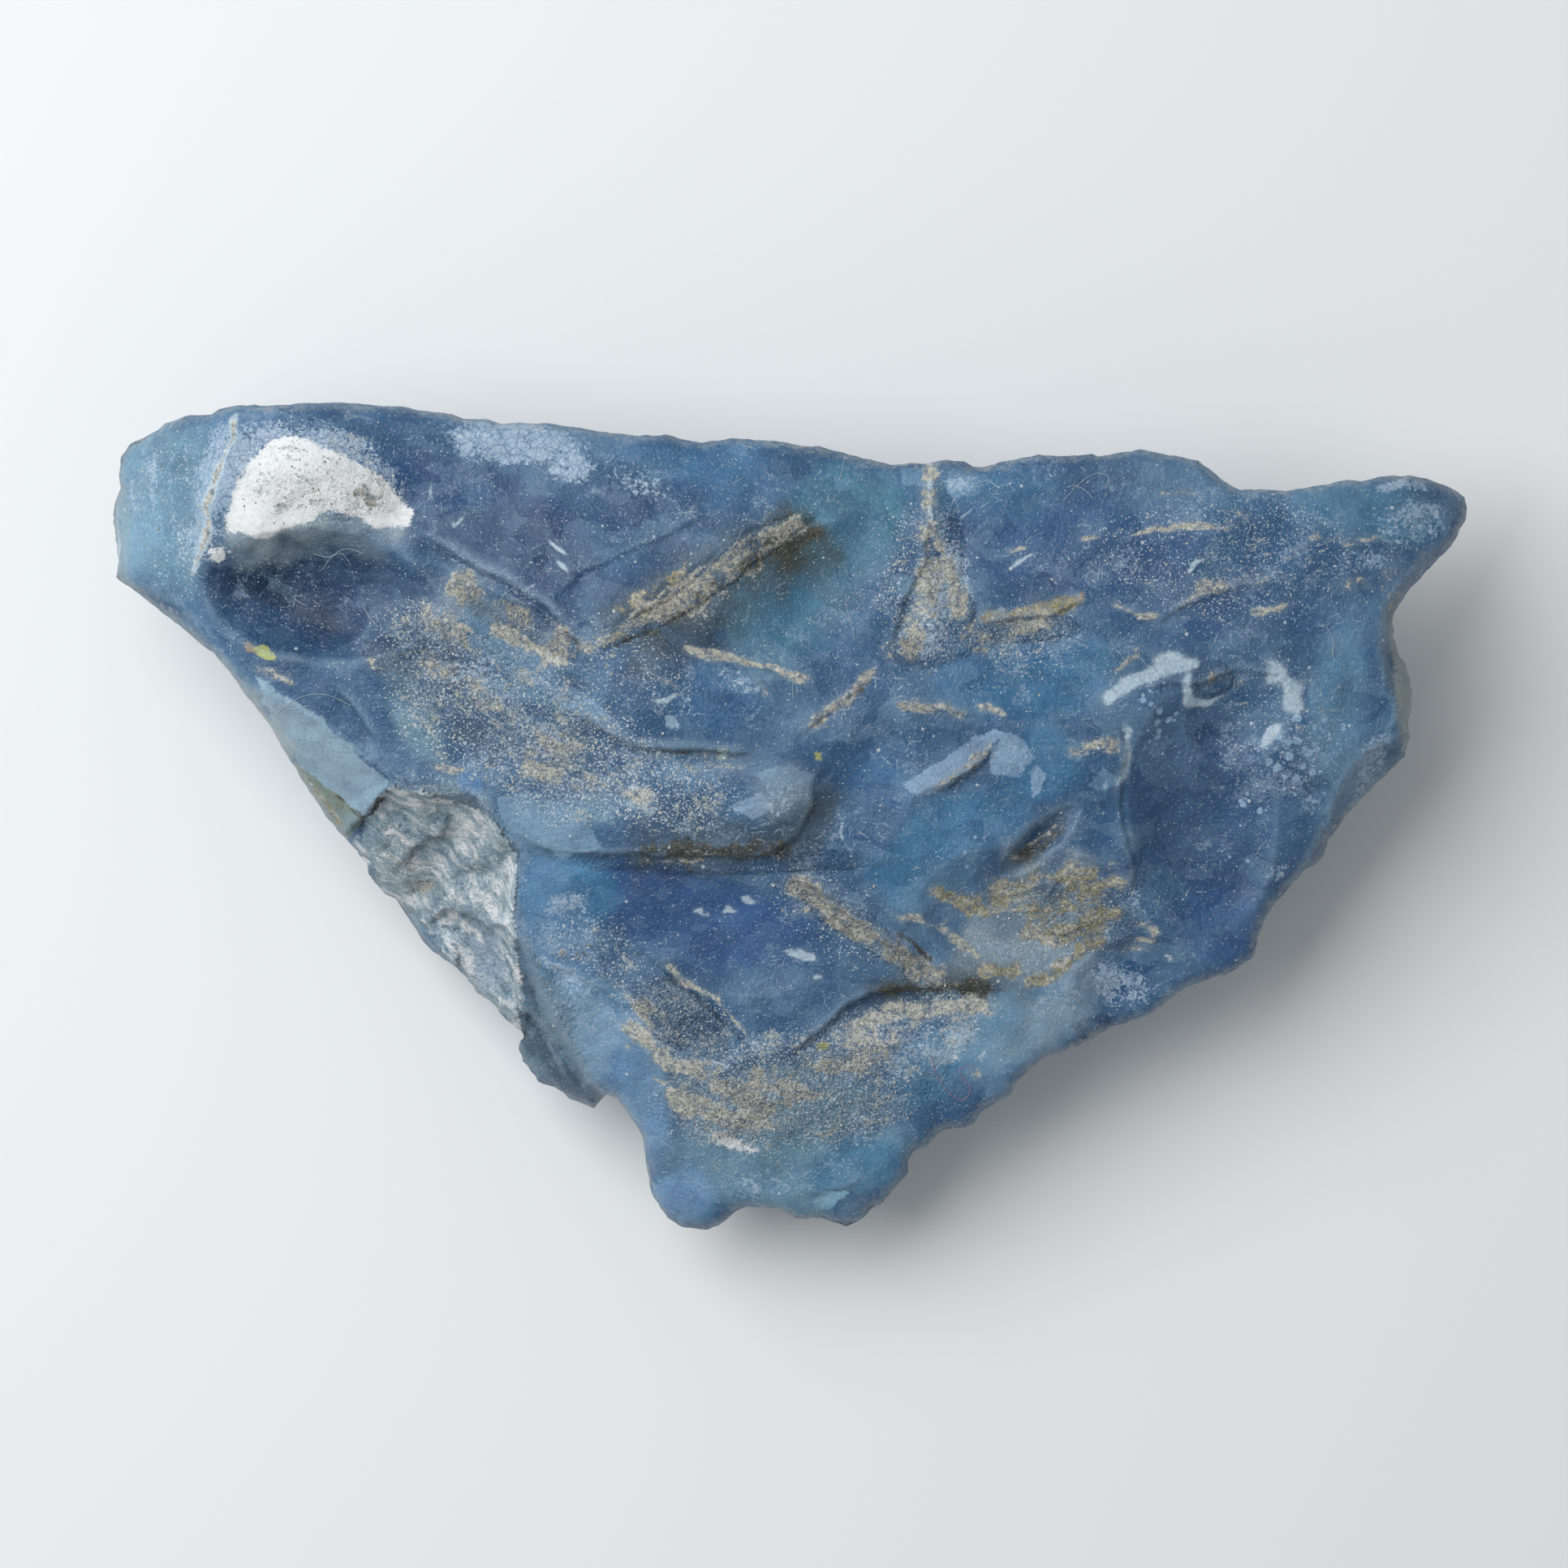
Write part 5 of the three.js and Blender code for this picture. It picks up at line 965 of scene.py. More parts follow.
# %% Outer edge
EDGE_STEP = 0.12  # mm between points of the fine edge
NICKS = ((0.9, 0.035), (0.33, 0.03))  # size and depth of the nicks, mm


def read_edge(solid):
    """The loop between upper skin and underside, clockwise from above, in mm."""
    work = bmesh.new()
    work.from_mesh(solid.data)
    bmesh.ops.remove_doubles(work, verts=work.verts, dist=1e-6)
    work.normal_update()
    follows = {}
    for line in work.edges:
        if len(line.link_faces) != 2:
            continue
        ups = [face.normal.z > 0 for face in line.link_faces]
        if ups[0] != ups[1]:
            a, b = line.verts
            follows.setdefault(a, []).append(b)
            follows.setdefault(b, []).append(a)
    start = min(follows, key=lambda vert: vert.co.x)
    loop = [start]
    step = max(follows[start], key=lambda vert: vert.co.y)
    while step is not start:
        loop.append(step)
        step = next(vert for vert in follows[step] if vert is not loop[-2])
    points = np.array([vert.co[:] for vert in loop]) / MM
    work.free()
    return points


def nicked_edge(loop):
    """The loop in short steps, pushed in and out by small nicks."""
    points = []
    for a, b in zip(loop, np.roll(loop, -1, axis=0)):
        count = max(1, round(math.dist(a[:2], b[:2]) / EDGE_STEP))
        for k in range(count):
            points.append(a + (b - a) * k / count)
    fine = np.array(points)
    along = np.roll(fine, -1, axis=0) - np.roll(fine, 1, axis=0)
    inward = np.c_[along[:, 1], -along[:, 0]] / np.hypot(along[:, 0], along[:, 1])[:, None]
    for order, (size, deep) in enumerate(NICKS):
        push = deep * noise(fine[:, 0], fine[:, 1], 0 * fine[:, 0], size, 31 + order)
        fine[:, :2] += inward * push[:, None]
    return fine


solid_edge = read_edge(solid_stone)
fine_edge = nicked_edge(solid_edge)
print("edge points:", len(solid_edge), "in the solid,", len(fine_edge), "in the fine skin")

# %% [markdown]
# ## Meshing the skins
# Points are strewn evenly inside the edge and joined by constrained Delaunay triangulation,
# which keeps the edge whole. A grid of squares would need its rim stitched, and a voxel
# remesh would round the lips off. The upper skin is finer, because its steps are finer.

# %% Strewing and joining
FINE_GRID = 0.101  # mm between points along lips and marks
OPEN_GRID = 0.235  # mm between points elsewhere on the upper skin
UNDER_GRID = 0.34  # mm between points of the underside
LIP_BAND = 0.3  # mm on either hand of a ledge's line
MARK_BAND = 0.12  # mm on either hand of a mark's rim
CLEAR_OF_EDGE = 0.7  # share of the spacing that grid points keep clear of the edge
JITTER = 0.18  # share of the spacing by which grid points are strewn
SOFT_DEPOSITS = {"haze_and_reflection", "stain_and_shade", "cloud"}  # their rims need no fine mesh


rng = np.random.default_rng(SEED)


def depth_inside(x, y):
    """Distance in mm from the solid's outer edge."""
    loop = np.r_[solid_edge[:, :2], solid_edge[:1, :2]]
    return near_line(x, y, loop)[1]


def near_marks(x, y):
    """Whether each place is near a ledge's lip, a stroke or a flake's rim."""
    near = np.zeros(x.shape, bool)
    bands = [(ledge["line"], LIP_BAND) for ledge in LEDGES + FINE_STEPS]
    for name, strokes in STROKES.items():
        if name not in SOFT_DEPOSITS:
            bands += [(line, half_width + MARK_BAND) for half_width, _, line in strokes]
    bands += [(loop + loop[:1], MARK_BAND) for _, loop, _ in FLAKES]
    bands += [(CHALK_LOOP + CHALK_LOOP[:1], CHALK_FRINGE / 2)]
    for line, band in bands:
        pick, away, _, _, _ = near_line(x, y, line, band)
        near[pick[away < band]] = True
    return near


def strew(spacing, marks=None):
    """A loose hexagonal grid of plan points inside the edge, near marks, off them or both."""
    low = fine_edge[:, :2].min(0)
    high = fine_edge[:, :2].max(0)
    rows = np.arange(low[1], high[1], spacing * math.sqrt(3) / 2)
    columns = np.arange(low[0], high[0], spacing)
    x, y = np.meshgrid(columns, rows)
    x[::2] += spacing / 2
    x = (x + rng.uniform(-JITTER, JITTER, x.shape) * spacing).ravel()
    y = (y + rng.uniform(-JITTER, JITTER, y.shape) * spacing).ravel()
    keep = inside(x, y, fine_edge[:, :2])
    if marks is not None:
        keep &= near_marks(x, y) == marks
    x = x[keep]
    y = y[keep]
    deep = depth_inside(x, y)
    clear = deep > CLEAR_OF_EDGE * spacing
    return x[clear], y[clear], deep[clear]


def triangulate(x, y):
    """Triangles over the edge's points followed by the given ones."""
    plan = [Vector(point) for point in np.r_[fine_edge[:, :2], np.c_[x, y]]]
    rim = len(fine_edge)
    edges = [(i, (i + 1) % rim) for i in range(rim)]
    points, _, faces, _, _, _ = delaunay_2d_cdt(plan, edges, [], 1, 1e-7)
    if len(points) != len(plan):
        raise SystemExit("the plan's points changed while they were joined")
    faces = np.array(faces)
    spots = np.array([point[:] for point in points])
    a, b, c = (spots[faces[:, i]] for i in range(3))
    turn = (b[:, 0] - a[:, 0]) * (c[:, 1] - a[:, 1]) - (b[:, 1] - a[:, 1]) * (c[:, 0] - a[:, 0])
    faces[turn < 0] = faces[turn < 0][:, ::-1]
    return faces[turn != 0]

# %% Skins
close_points = strew(FINE_GRID, True)
open_points = strew(OPEN_GRID, False)
upper_x, upper_y, upper_deep = (np.r_[a, b] for a, b in zip(close_points, open_points))
under_x, under_y, under_deep = strew(UNDER_GRID)
upper_faces = triangulate(upper_x, upper_y)
under_faces = triangulate(under_x, under_y)
rim_count = len(fine_edge)
_, _, rim_z = skins_at(fine_edge[:, 0], fine_edge[:, 1], np.zeros(rim_count))
upper_z = skins_at(upper_x, upper_y, upper_deep)[0]
under_z = skins_at(under_x, under_y, under_deep)[1]
under_faces = under_faces[:, ::-1].copy()
under_faces[under_faces >= rim_count] += len(upper_x)
skin_points = np.concatenate([
    np.c_[fine_edge[:, :2], rim_z],
    np.c_[upper_x, upper_y, upper_z],
    np.c_[under_x, under_y, under_z],
])
skin_faces = np.concatenate([upper_faces, under_faces])
print("points:", len(skin_points), "triangles:", len(skin_faces))

# %% [markdown]
# ## Rough and smooth breaks
# Where the opal broke in one clean pop its face is smooth and waxy. Where it is mixed with
# the sandy rock it grew in, and on the low flank, it broke in splinters. So the finest relief
# is pushed along the surface normal, strongly in the rough places and hardly at all on the
# clean ones. It must stay off the flat spot underneath.

# %% Values of the fine relief
RELIEF = ((2.6, 0.04), (1.2, 0.035), (0.55, 0.03), (0.3, 0.018))  # size and height, mm
CHIPS = (
    # width and length of the flakes in mm, turn, height in mm
    (2.6, 6.5, -24, 0.085),
    (1.9, 4.2, 34, 0.055),
    (0.8, 1.7, -8, 0.032),
)
ROUGH_PLACES = [
    # where, half widths, turn, strength
    ((-16, -1.6), (4.2, 3.4), -50, 2.8),
    ((-12.6, -8.6), (5, 2.4), -60, 2.2),
    ((-14, 6), (6.5, 3), -24, 0.8),
    ((-12.5, 9), (3.6, 1), -28, 1.2),
    ((-3.8, 10.9), (6.2, 0.7), 33, 1.8),
    ((7, 11.4), (0.9, 4.6), 8, 1.8),
    ((6.6, 7.9), (2.6, 1), 8, 1.4),
    ((10.6, 8.7), (3, 0.7), 4, 1.4),
    ((-3, -1.8), (8.2, 0.7), 0, 1.2),
    ((3.2, -4.9), (4.6, 0.8), -33, 1.6),
    ((13.6, -4.4), (3.4, 1.6), -14, 1.2),
    ((0.5, -12.6), (7.6, 2.6), 8, 1),
    ((-5, -9), (3, 1.4), -40, 1.2),
    ((-21.4, 15), (4.2, 1.4), -8, 0.9),
    ((19.2, 6.4), (1, 1), 0, 1.4),
    ((28, 6), (0.9, 5), 0, 1.2),
]
SMOOTHEST = 0.3
UNDER_ROUGHNESS = 0.8
ROUGH_BEND = (1.5, 0.5)  # mm, size of the bends in their rims and how far they shift
ROUGH_RIM = 1.6  # the higher, the sharper the rims of rough places
FLOOR_FADE = 0.5  # the relief grows over this height above the floor, mm
CHIP_SCATTER = 0.42  # how far a chip's middle strays in its cell
CHIP_TILTS = (0.9, 1.1)  # along and across
CHIP_STEP = 0.35  # how far one chip stands above the next, beside its tilt
CHIP_BENDS = ((1.4, 0.3), (0.4, 0.08))  # size of the bends and how far they shift, mm

# %% Chips and normals
def chips(x, y, wide, long, turn, seed):
    """Small flat breaks: each cell of the plan is a tilted plane. Height -1 to 1, and a tone."""
    angle = math.radians(turn)
    u = (x * math.cos(angle) + y * math.sin(angle)) / long
    v = (y * math.cos(angle) - x * math.sin(angle)) / wide
    column = np.floor(u).astype(np.int64)
    row = np.floor(v).astype(np.int64)
    nearest = np.full(x.shape, np.inf)
    height = np.zeros(x.shape)
    tone = np.zeros(x.shape)
    for step in range(9):
        i = column + step % 3 - 1
        j = row + step // 3 - 1
        du = u - i - 0.5 - CHIP_SCATTER * lattice(i, j, 1, seed)
        dv = v - j - 0.5 - CHIP_SCATTER * lattice(i, j, 2, seed)
        away = du * du + dv * dv
        closer = away < nearest
        plane = CHIP_TILTS[0] * du * lattice(i, j, 3, seed)
        plane = plane + CHIP_TILTS[1] * dv * lattice(i, j, 4, seed)
        nearest = np.where(closer, away, nearest)
        height = np.where(closer, plane + CHIP_STEP * lattice(i, j, 5, seed), height)
        tone = np.where(closer, lattice(i, j, 6, seed), tone)
    return height, tone


def point_normals(points, faces):
    """Unit normals at the points, weighted by the faces' areas."""
    a, b, c = (points[faces[:, i]] for i in range(3))
    across = np.cross(b - a, c - a)
    total = np.zeros_like(points)
    for corner in range(3):
        for axis in range(3):
            weight = np.bincount(faces[:, corner], across[:, axis], len(points))
            total[:, axis] += weight
    return total / np.maximum(np.linalg.norm(total, axis=1), 1e-12)[:, None]

# %% Fine relief
x, y, z = skin_points.T
is_under = np.arange(len(x)) >= rim_count + len(upper_x)
roughness = np.full(len(x), SMOOTHEST)
size, shift = ROUGH_BEND
rough_x = x + shift * noise(x, y, 0 * x, size, 41)
for at, half, turn, strength in ROUGH_PLACES:
    share = smooth(ROUGH_RIM * bowl(rough_x, y, at, half, turn))
    roughness = np.maximum(roughness, SMOOTHEST + strength * share)
patches = smooth(0.5 + 1.4 * noise(x, y, z, 6.5, 43))
roughness[is_under] = SMOOTHEST + UNDER_ROUGHNESS * patches[is_under]
push = np.zeros(len(x))
for order, (size, height) in enumerate(RELIEF):
    push += height * noise(x, y, z, size, 51 + order)
bent_x, bent_y = bent(x, y, z, CHIP_BENDS, (57, 59))
flake_tone = np.zeros(len(x))
for order, (wide, long, turn, height) in enumerate(CHIPS):
    rise, tone = chips(bent_x, bent_y, wide, long, turn, 81 + order)
    push += height * rise / (0.45 + 0.55 * roughness)  # chips show on smooth breaks too
    flake_tone += tone / len(CHIPS)
push *= roughness * smooth(z / FLOOR_FADE)
skin_points = skin_points + point_normals(skin_points, skin_faces) * push[:, None]
skin_points[:, 2] = np.maximum(skin_points[:, 2], 0)
print("relief pushed up to", round(float(np.abs(push).max()), 3), "mm")

# %% [markdown]
# ## Laying the colours on the points
# Each point of the skin gets its tint and its masks as attributes. The places are bent by
# noise first, so no zone has a drawn rim.

# %% Tints
THIN_EDGE_BLUE = "#72a2cc"  # light comes through where the stone is thin
THIN_EDGE_GLOW = 0.3
THIN_EDGE_WIDTH = 2.4  # mm
RED_KEPT = 0.86  # the clay takes a little more of the red
SWAY = ((3.1, 0.7), (0.9, 0.25))  # size of the bends and how far they shift, mm: for zones
RIPPLE = ((0.6, 0.12),)  # the same for rims of flakes and strokes
ZONE_RIM = 1.5  # the higher, the sharper the rims of zones


def linear(hex_colour):
    """An sRGB hex colour as linear red, green, blue and alpha."""
    parts = [int(hex_colour[i:i + 2], 16) / 255 for i in (1, 3, 5)]
    return [p / 12.92 if p <= 0.04045 else ((p + 0.055) / 1.055) ** 2.4 for p in parts] + [1.0]


def lay(colours, hex_colour, share):
    """Lays a colour over the points' colours."""
    return colours + (np.array(linear(hex_colour)) - colours) * share[:, None]


x, y, z = skin_points.T
sway_x, sway_y = bent(x, y, z, SWAY, (61, 63))
ripple_x, ripple_y = bent(x, y, z, RIPPLE, (65, 66))
tint = np.tile(linear(BODY_BLUE), (len(x), 1))
for colour, at, half, turn in ZONES:
    tint = lay(tint, colour, smooth(ZONE_RIM * bowl(sway_x, sway_y, at, half, turn)))
for colour, loop, share in FLAKES:
    tint = lay(tint, colour, share * inside(ripple_x, ripple_y, loop))
depth = np.zeros(len(x))
depth[rim_count:rim_count + len(upper_x)] = upper_deep
depth[rim_count + len(upper_x):] = under_deep
glow = THIN_EDGE_GLOW * smooth(1 - depth / THIN_EDGE_WIDTH)
tint = lay(tint, THIN_EDGE_BLUE, glow * smooth(0.4 + noise(x, y, z, 4, 69)))
under_tint = np.tile(linear(UNDER_TINTS[0]), (len(x), 1))
for order, colour in enumerate(UNDER_TINTS[1:]):
    under_tint = lay(under_tint, colour, smooth(0.4 + 1.6 * noise(x, y, z, 8, 67 + order)))
under_share = is_under.astype(float)
under_share[:rim_count] = 0.5
tint += (under_tint - tint) * under_share[:, None]
lively = flake_tone * (1 + FLANK_CONTRAST * inside(ripple_x, ripple_y, FLANK_LOOP))
tint[:, :3] *= 1 + FLAKE_CONTRAST * lively[:, None]
tint[:, 0] *= RED_KEPT
print("mean tint:", [round(float(v), 3) for v in tint.mean(0)])

# %% Masks of the deposits
DEPOSITS = ("chalk", "tan", "brown_dirt_and_shade", "cream", "ochre", "cloud", "milk", "dots", "stain_and_shade",
            "haze_and_reflection", "dust")
STROKE_REACH = 2.4  # a stroke acts out to its half width times this
STROKE_END = 0.9  # mm over which a stroke runs out at its ends
STROKE_FALL = 0.75  # share of a stroke that is lost at its half width
PATCH_RIM = 1.3  # the higher, the sharper the rims of patches
DUST_RIM = 1.4
LEAST_DUST = 0.2
CRUST_HAZE = 0.5  # crusts leave this share of haze round them
BURIED = ("tan", "cream", "ochre", "cloud", "haze_and_reflection")  # deposits that a crumb lies on
masks = {name: np.zeros(len(x)) for name in DEPOSITS}


def raise_mask(name, pick, amount):
    """Brings a mask up to an amount where it is lower."""
    masks[name][pick] = np.maximum(masks[name][pick], amount)


uneven = 0.85 + 0.4 * noise(x, y, z, 1.7, 71) + 0.3 * noise(x, y, z, 0.7, 72)
for name, strokes in STROKES.items():
    for half_width, strength, line in strokes:
        reach = half_width * STROKE_REACH
        pick, away, _, run, total = near_line(ripple_x, ripple_y, line, reach)
        ends = smooth(0.1 + np.minimum(run, total - run) / STROKE_END)
        swell = half_width * (1 + 0.6 * noise(x[pick], y[pick], z[pick], 0.9, 73))
        body = np.clip(1.25 - STROKE_FALL * away / swell, 0, 1)
        raise_mask(name, pick, strength * ends * uneven[pick] * body)
patch_x = 0.5 * (ripple_x + sway_x)
patch_y = 0.5 * (ripple_y + sway_y)
for name, patches in PATCHES.items():
    for strength, at, half, turn in patches:
        body = np.clip(PATCH_RIM * bowl(patch_x, patch_y, at, half, turn), 0, 1)
        raise_mask(name, slice(None), strength * body * uneven)
crusts = np.max([masks["tan"], masks["cream"], masks["ochre"], masks["milk"]], axis=0)
masks["haze_and_reflection"] = np.maximum(masks["haze_and_reflection"], CRUST_HAZE * crusts)
pick, away, _, _, _ = near_line(ripple_x, ripple_y, CHALK_LOOP + CHALK_LOOP[:1], 8)
side = np.where(inside(ripple_x, ripple_y, CHALK_LOOP)[pick], away, -away)
raise_mask("chalk", pick, smooth(0.72 + side / CHALK_FRINGE))
for strength, at, half, turn in DUST:
    share = smooth(DUST_RIM * bowl(sway_x, sway_y, at, half, turn))
    raise_mask("dust", slice(None), strength * share)
masks["dust"] = np.maximum(masks["dust"], LEAST_DUST)
for _, loop, share in FLAKES:
    if share == 1:  # a crumb lies on top of the deposits
        for name in BURIED:
            masks[name] *= 1 - inside(ripple_x, ripple_y, loop)
print("covered points:", {name: int((masks[name] > 0.5).sum()) for name in DEPOSITS})

# %% Masks of the underside and of the forms
UNDER_DEPOSITS = (
    # deposit, size of its patches in mm, where they start, strength, seed
    ("tan", 5, 0.2, 0.75, 75), ("chalk", 6, 0.45, 0.7, 77),
    ("cloud", 5, 0.1, 0.7, 77), ("ochre", 5, 0.4, 0.8, 77),
)
UNDER_DUST = 0.6
RIM_WIDTH = 0.45  # mm, how far in the worn outer rim, partly a painted highlight, reaches

for name in DEPOSITS:
    masks[name] *= 1 - is_under
for name, size, low, high, seed in UNDER_DEPOSITS:
    spread = noise(x, y, z, size, seed) + 0.6 * noise(x, y, z, size / 3, seed + 10)
    patch = high * smooth((spread - low) / 0.8)
    masks[name] = np.where(is_under, patch, masks[name])
masks["dust"][is_under] = UNDER_DUST
masks["rim"] = smooth(1.15 - depth / RIM_WIDTH) * (0.75 + 0.5 * noise(x, y, z, 1.2, 79))
masks["flank"] = inside(ripple_x, ripple_y, FLANK_LOOP) * (1.0 - is_under)
masks["bare"] = np.clip(1 - (roughness - SMOOTHEST), 0, 1)
print("masks:", ", ".join(masks))

# %% [markdown]
# ## Worn edges and painted shade in the hollows
# Handling rubs lips pale, and the hollows are darkened as painted shade. Both follow from the
# forms: a point that stands above the mean height around it is on a lip, one below it is in
# the hollows. The heights are laid on a square grid, blurred and compared, which costs little.

# %% Wear and painted shade
WEAR_AND_SHADE_GRID = 0.15  # mm
WEAR_AND_SHADE_REACH = 3  # grid steps over which the mean is taken
WEAR_AND_SHADE_GAIN = 9.0
LIP_START = 0.15  # lips and hollows that stand out less than this, after the gain, don't count
SHADE_START = 0.05
UNDER_WEAR_AND_SHADE = 0.4
GRID_MARGIN = 1  # mm of grid round the stone


def stands_out(height):
    """How far each point stands above the mean height around it, in mm."""
    low = skin_points[:, :2].min(0) - GRID_MARGIN
    high = skin_points[:, :2].max(0) + GRID_MARGIN
    across = np.arange(low[0], high[0], WEAR_AND_SHADE_GRID)
    along = np.arange(low[1], high[1], WEAR_AND_SHADE_GRID)
    grid_x, grid_y = np.meshgrid(across, along)
    heights = height(grid_x.ravel(), grid_y.ravel()).reshape(grid_x.shape)
    mean = heights
    for axis in (0, 1):
        shifts = [np.roll(mean, step, axis) for step in range(-WEAR_AND_SHADE_REACH, WEAR_AND_SHADE_REACH + 1)]
        mean = sum(shifts) / len(shifts)
    columns = np.rint((x - low[0]) / WEAR_AND_SHADE_GRID).astype(int)
    rows = np.rint((y - low[1]) / WEAR_AND_SHADE_GRID).astype(int)
    return (heights - mean)[rows, columns]


under_bulge = UNDER_WEAR_AND_SHADE * stands_out(lambda u, v: -under_height(u, v))
bulge = np.where(is_under, under_bulge, stands_out(upper_height))
masks["worn"] = np.clip(bulge * WEAR_AND_SHADE_GAIN - LIP_START, 0, 1)
# painted shade: points below the mean height around them are darkened in the finish
masks["hollow_shade"] = np.clip(-bulge * WEAR_AND_SHADE_GAIN - SHADE_START, 0, 1)
print("worn points:", int((masks["worn"] > 0.3).sum()), "of", len(x))

# %% [markdown]
# ## The skin as a mesh
# The points, faces and masks become one closed mesh. Smooth shading suits the waxy breaks;
# the lips are steep enough in the mesh to stay crisp.

# %% Mesh
def new_piece(name, data):
    """An object for a mesh, a lamp or a camera, put into the scene."""
    piece = bpy.data.objects.new(name, data)
    bpy.context.collection.objects.link(piece)
    return piece


mesh = bpy.data.meshes.new("opal_skin")
mesh.from_pydata((skin_points * MM).tolist(), [], skin_faces.tolist())
mesh.polygons.foreach_set("use_smooth", [True] * len(mesh.polygons))
colours = mesh.attributes.new("tint", "FLOAT_COLOR", "POINT")
colours.data.foreach_set("color", tint.astype(np.float32).ravel())
for name, values in masks.items():
    layer = mesh.attributes.new(name, "FLOAT", "POINT")
    layer.data.foreach_set("value", values.astype(np.float32))
mesh.update()
stone = new_piece("opal_skin", mesh)
print("mesh:", len(mesh.vertices), "points,", len(mesh.polygons), "triangles")
# %% [markdown]
# ## A helper for node trees
# Every finish is a small tree of nodes. One helper adds a node, sets its properties and fills
# its inputs: a socket is linked, anything else is a fixed value. A colour ramp needs its stops
# set one by one, so it has a helper too.

# %% Node helpers


def add(tree, kind, inputs=None, **settings):
    """Adds a node, sets its properties and fills its inputs."""
    made = tree.nodes.new(kind)
    for name, value in settings.items():
        setattr(made, name, value)
    for key, value in (inputs or {}).items():
        socket = made.inputs[key]
        if isinstance(value, bpy.types.NodeSocket):
            tree.links.new(value, socket)
        else:
            socket.default_value = value
    return made


def ramp(tree, value, stops):
    """Colours for a value, from stops: the first, the last, then those between."""
    made = add(tree, "ShaderNodeValToRGB", {"Fac": value})
    band = made.color_ramp
    for at, _ in stops[2:]:
        band.elements.new(at)
    for element, (at, tone) in zip(band.elements, sorted(stops)):
        element.position = at
        element.color = linear(tone)
    return made.outputs["Color"]


def new_finish(name):
    """An empty finish: itself, its tree and its shader."""
    made = bpy.data.materials.new(name)
    made.use_nodes = True
    return made, made.node_tree, made.node_tree.nodes["Principled BSDF"]


# %% [markdown]
# ## The finish of the opal
# Common opal is silica gel with no crystals, so it breaks with a waxy sheen. One opaque shader
# with the IOR of opal, 1.45, gives that. Light carried below the surface would be truer, but
# it is lost when a finish is baked, so the thin edges got a paler tint instead. All patterns
# read Object coordinates, and their sizes are in millimetres.

# %% Patterns
OPAL_IOR = 1.45
OPAL_SHEEN = 0.26  # lowest roughness of the waxy break
SHEEN_SWING = 0.3  # how much rougher its grain can be
BEND_SIZE = 1.1  # mm, size of the bends in drawn-out patterns
TEAR_SIZE = 0.32  # mm, size of the holes in torn deposits

finish, tree, shader = new_finish("common_opal_broken")
place = add(tree, "ShaderNodeTexCoord").outputs["Object"]


def mask_of(name):
    return add(tree, "ShaderNodeAttribute", attribute_name=name).outputs["Fac"]


def joined(way, parts):
    """One value from several, joined two by two."""
    total = parts[0]
    for part in parts[1:]:
        total = add(tree, "ShaderNodeMath", {0: total, 1: part}, operation=way).outputs[0]
    return total


def all_of(*shares):
    return joined("MULTIPLY", shares)


def any_of(*shares):
    return joined("MAXIMUM", shares)


def sum_of(*parts):
    return joined("ADD", parts)


def between(value, low, high):
    """0 below low, 1 above high, soft in between; the other way round if low is the higher."""
    inputs = {"Value": value, "From Min": low, "From Max": high}
    ranged = add(tree, "ShaderNodeMapRange", inputs, interpolation_type="SMOOTHSTEP")
    return ranged.outputs["Result"]


def cloudiness(size_mm, detail=3.0, rough=0.55, warp=0.0):
    """Noise between 0 and 1 with features of a size in mm."""
    inputs = {"Vector": place, "Scale": 1 / (size_mm * MM), "Detail": detail,
              "Roughness": rough, "Distortion": warp}
    return add(tree, "ShaderNodeTexNoise", inputs).outputs["Fac"]


def turned_place(long_mm, wide_mm, turn, seed, bend):
    """Places bent by noise and counted in turned cells of a length and width in mm."""
    shove = add(tree, "ShaderNodeTexNoise", {"Vector": place, "Scale": 1 / (BEND_SIZE * MM)})
    inputs = {0: shove.outputs["Color"], 1: (bend * MM,) * 3, 2: place}
    bent = add(tree, "ShaderNodeVectorMath", inputs, operation="MULTIPLY_ADD").outputs[0]
    inputs = {"Vector": bent, "Rotation": (0, 0, math.radians(turn)),
              "Location": (seed * MM, seed * MM, 0),
              "Scale": (long_mm * MM, wide_mm * MM, wide_mm * MM)}
    return add(tree, "ShaderNodeMapping", inputs, vector_type="TEXTURE").outputs["Vector"]


def streaks(long_mm, wide_mm, turn, seed, bend=0.8, detail=5.0, rough=0.74):
    """Noise drawn out one way, as torn layers and scratches are."""
    inputs = {"Vector": turned_place(long_mm, wide_mm, turn, seed, bend), "Scale": 1.0,
              "Detail": detail, "Roughness": rough}
    return add(tree, "ShaderNodeTexNoise", inputs).outputs["Fac"]


def beads(spot, scale):
    """Round cells: the distance from each one's middle, and a random number for each."""
    cell = add(tree, "ShaderNodeTexVoronoi", {"Vector": spot, "Scale": scale})
    odds = add(tree, "ShaderNodeSeparateColor", {"Color": cell.outputs["Color"]}).outputs[0]
    return cell.outputs["Distance"], odds


def over(base, tone, *shares):
    """Lays a tone, as hex or socket, over a base by the product of the shares."""
    top = linear(tone) if isinstance(tone, str) else tone
    inputs = {0: all_of(*shares), 6: base, 7: top}
    return add(tree, "ShaderNodeMix", inputs, data_type="RGBA").outputs[2]


fine = cloudiness(0.9, 5, 0.68, 0.3)
grain = cloudiness(0.16, 3, 0.75)
tear = cloudiness(TEAR_SIZE, 4, 0.76, 0.2)
tear_b = cloudiness(TEAR_SIZE * 0.7, 5, 0.76, 0.6)
across = add(tree, "ShaderNodeSeparateXYZ", {"Vector": place}).outputs[0]
lean_of_layers = {0: between(across, -1 * MM, 4 * MM), 2: streaks(1.1, 0.34, -34, 2),
                  3: streaks(1.1, 0.3, 14, 8)}
layers = add(tree, "ShaderNodeMix", lean_of_layers).outputs[0]
print("nodes for the patterns:", len(tree.nodes))
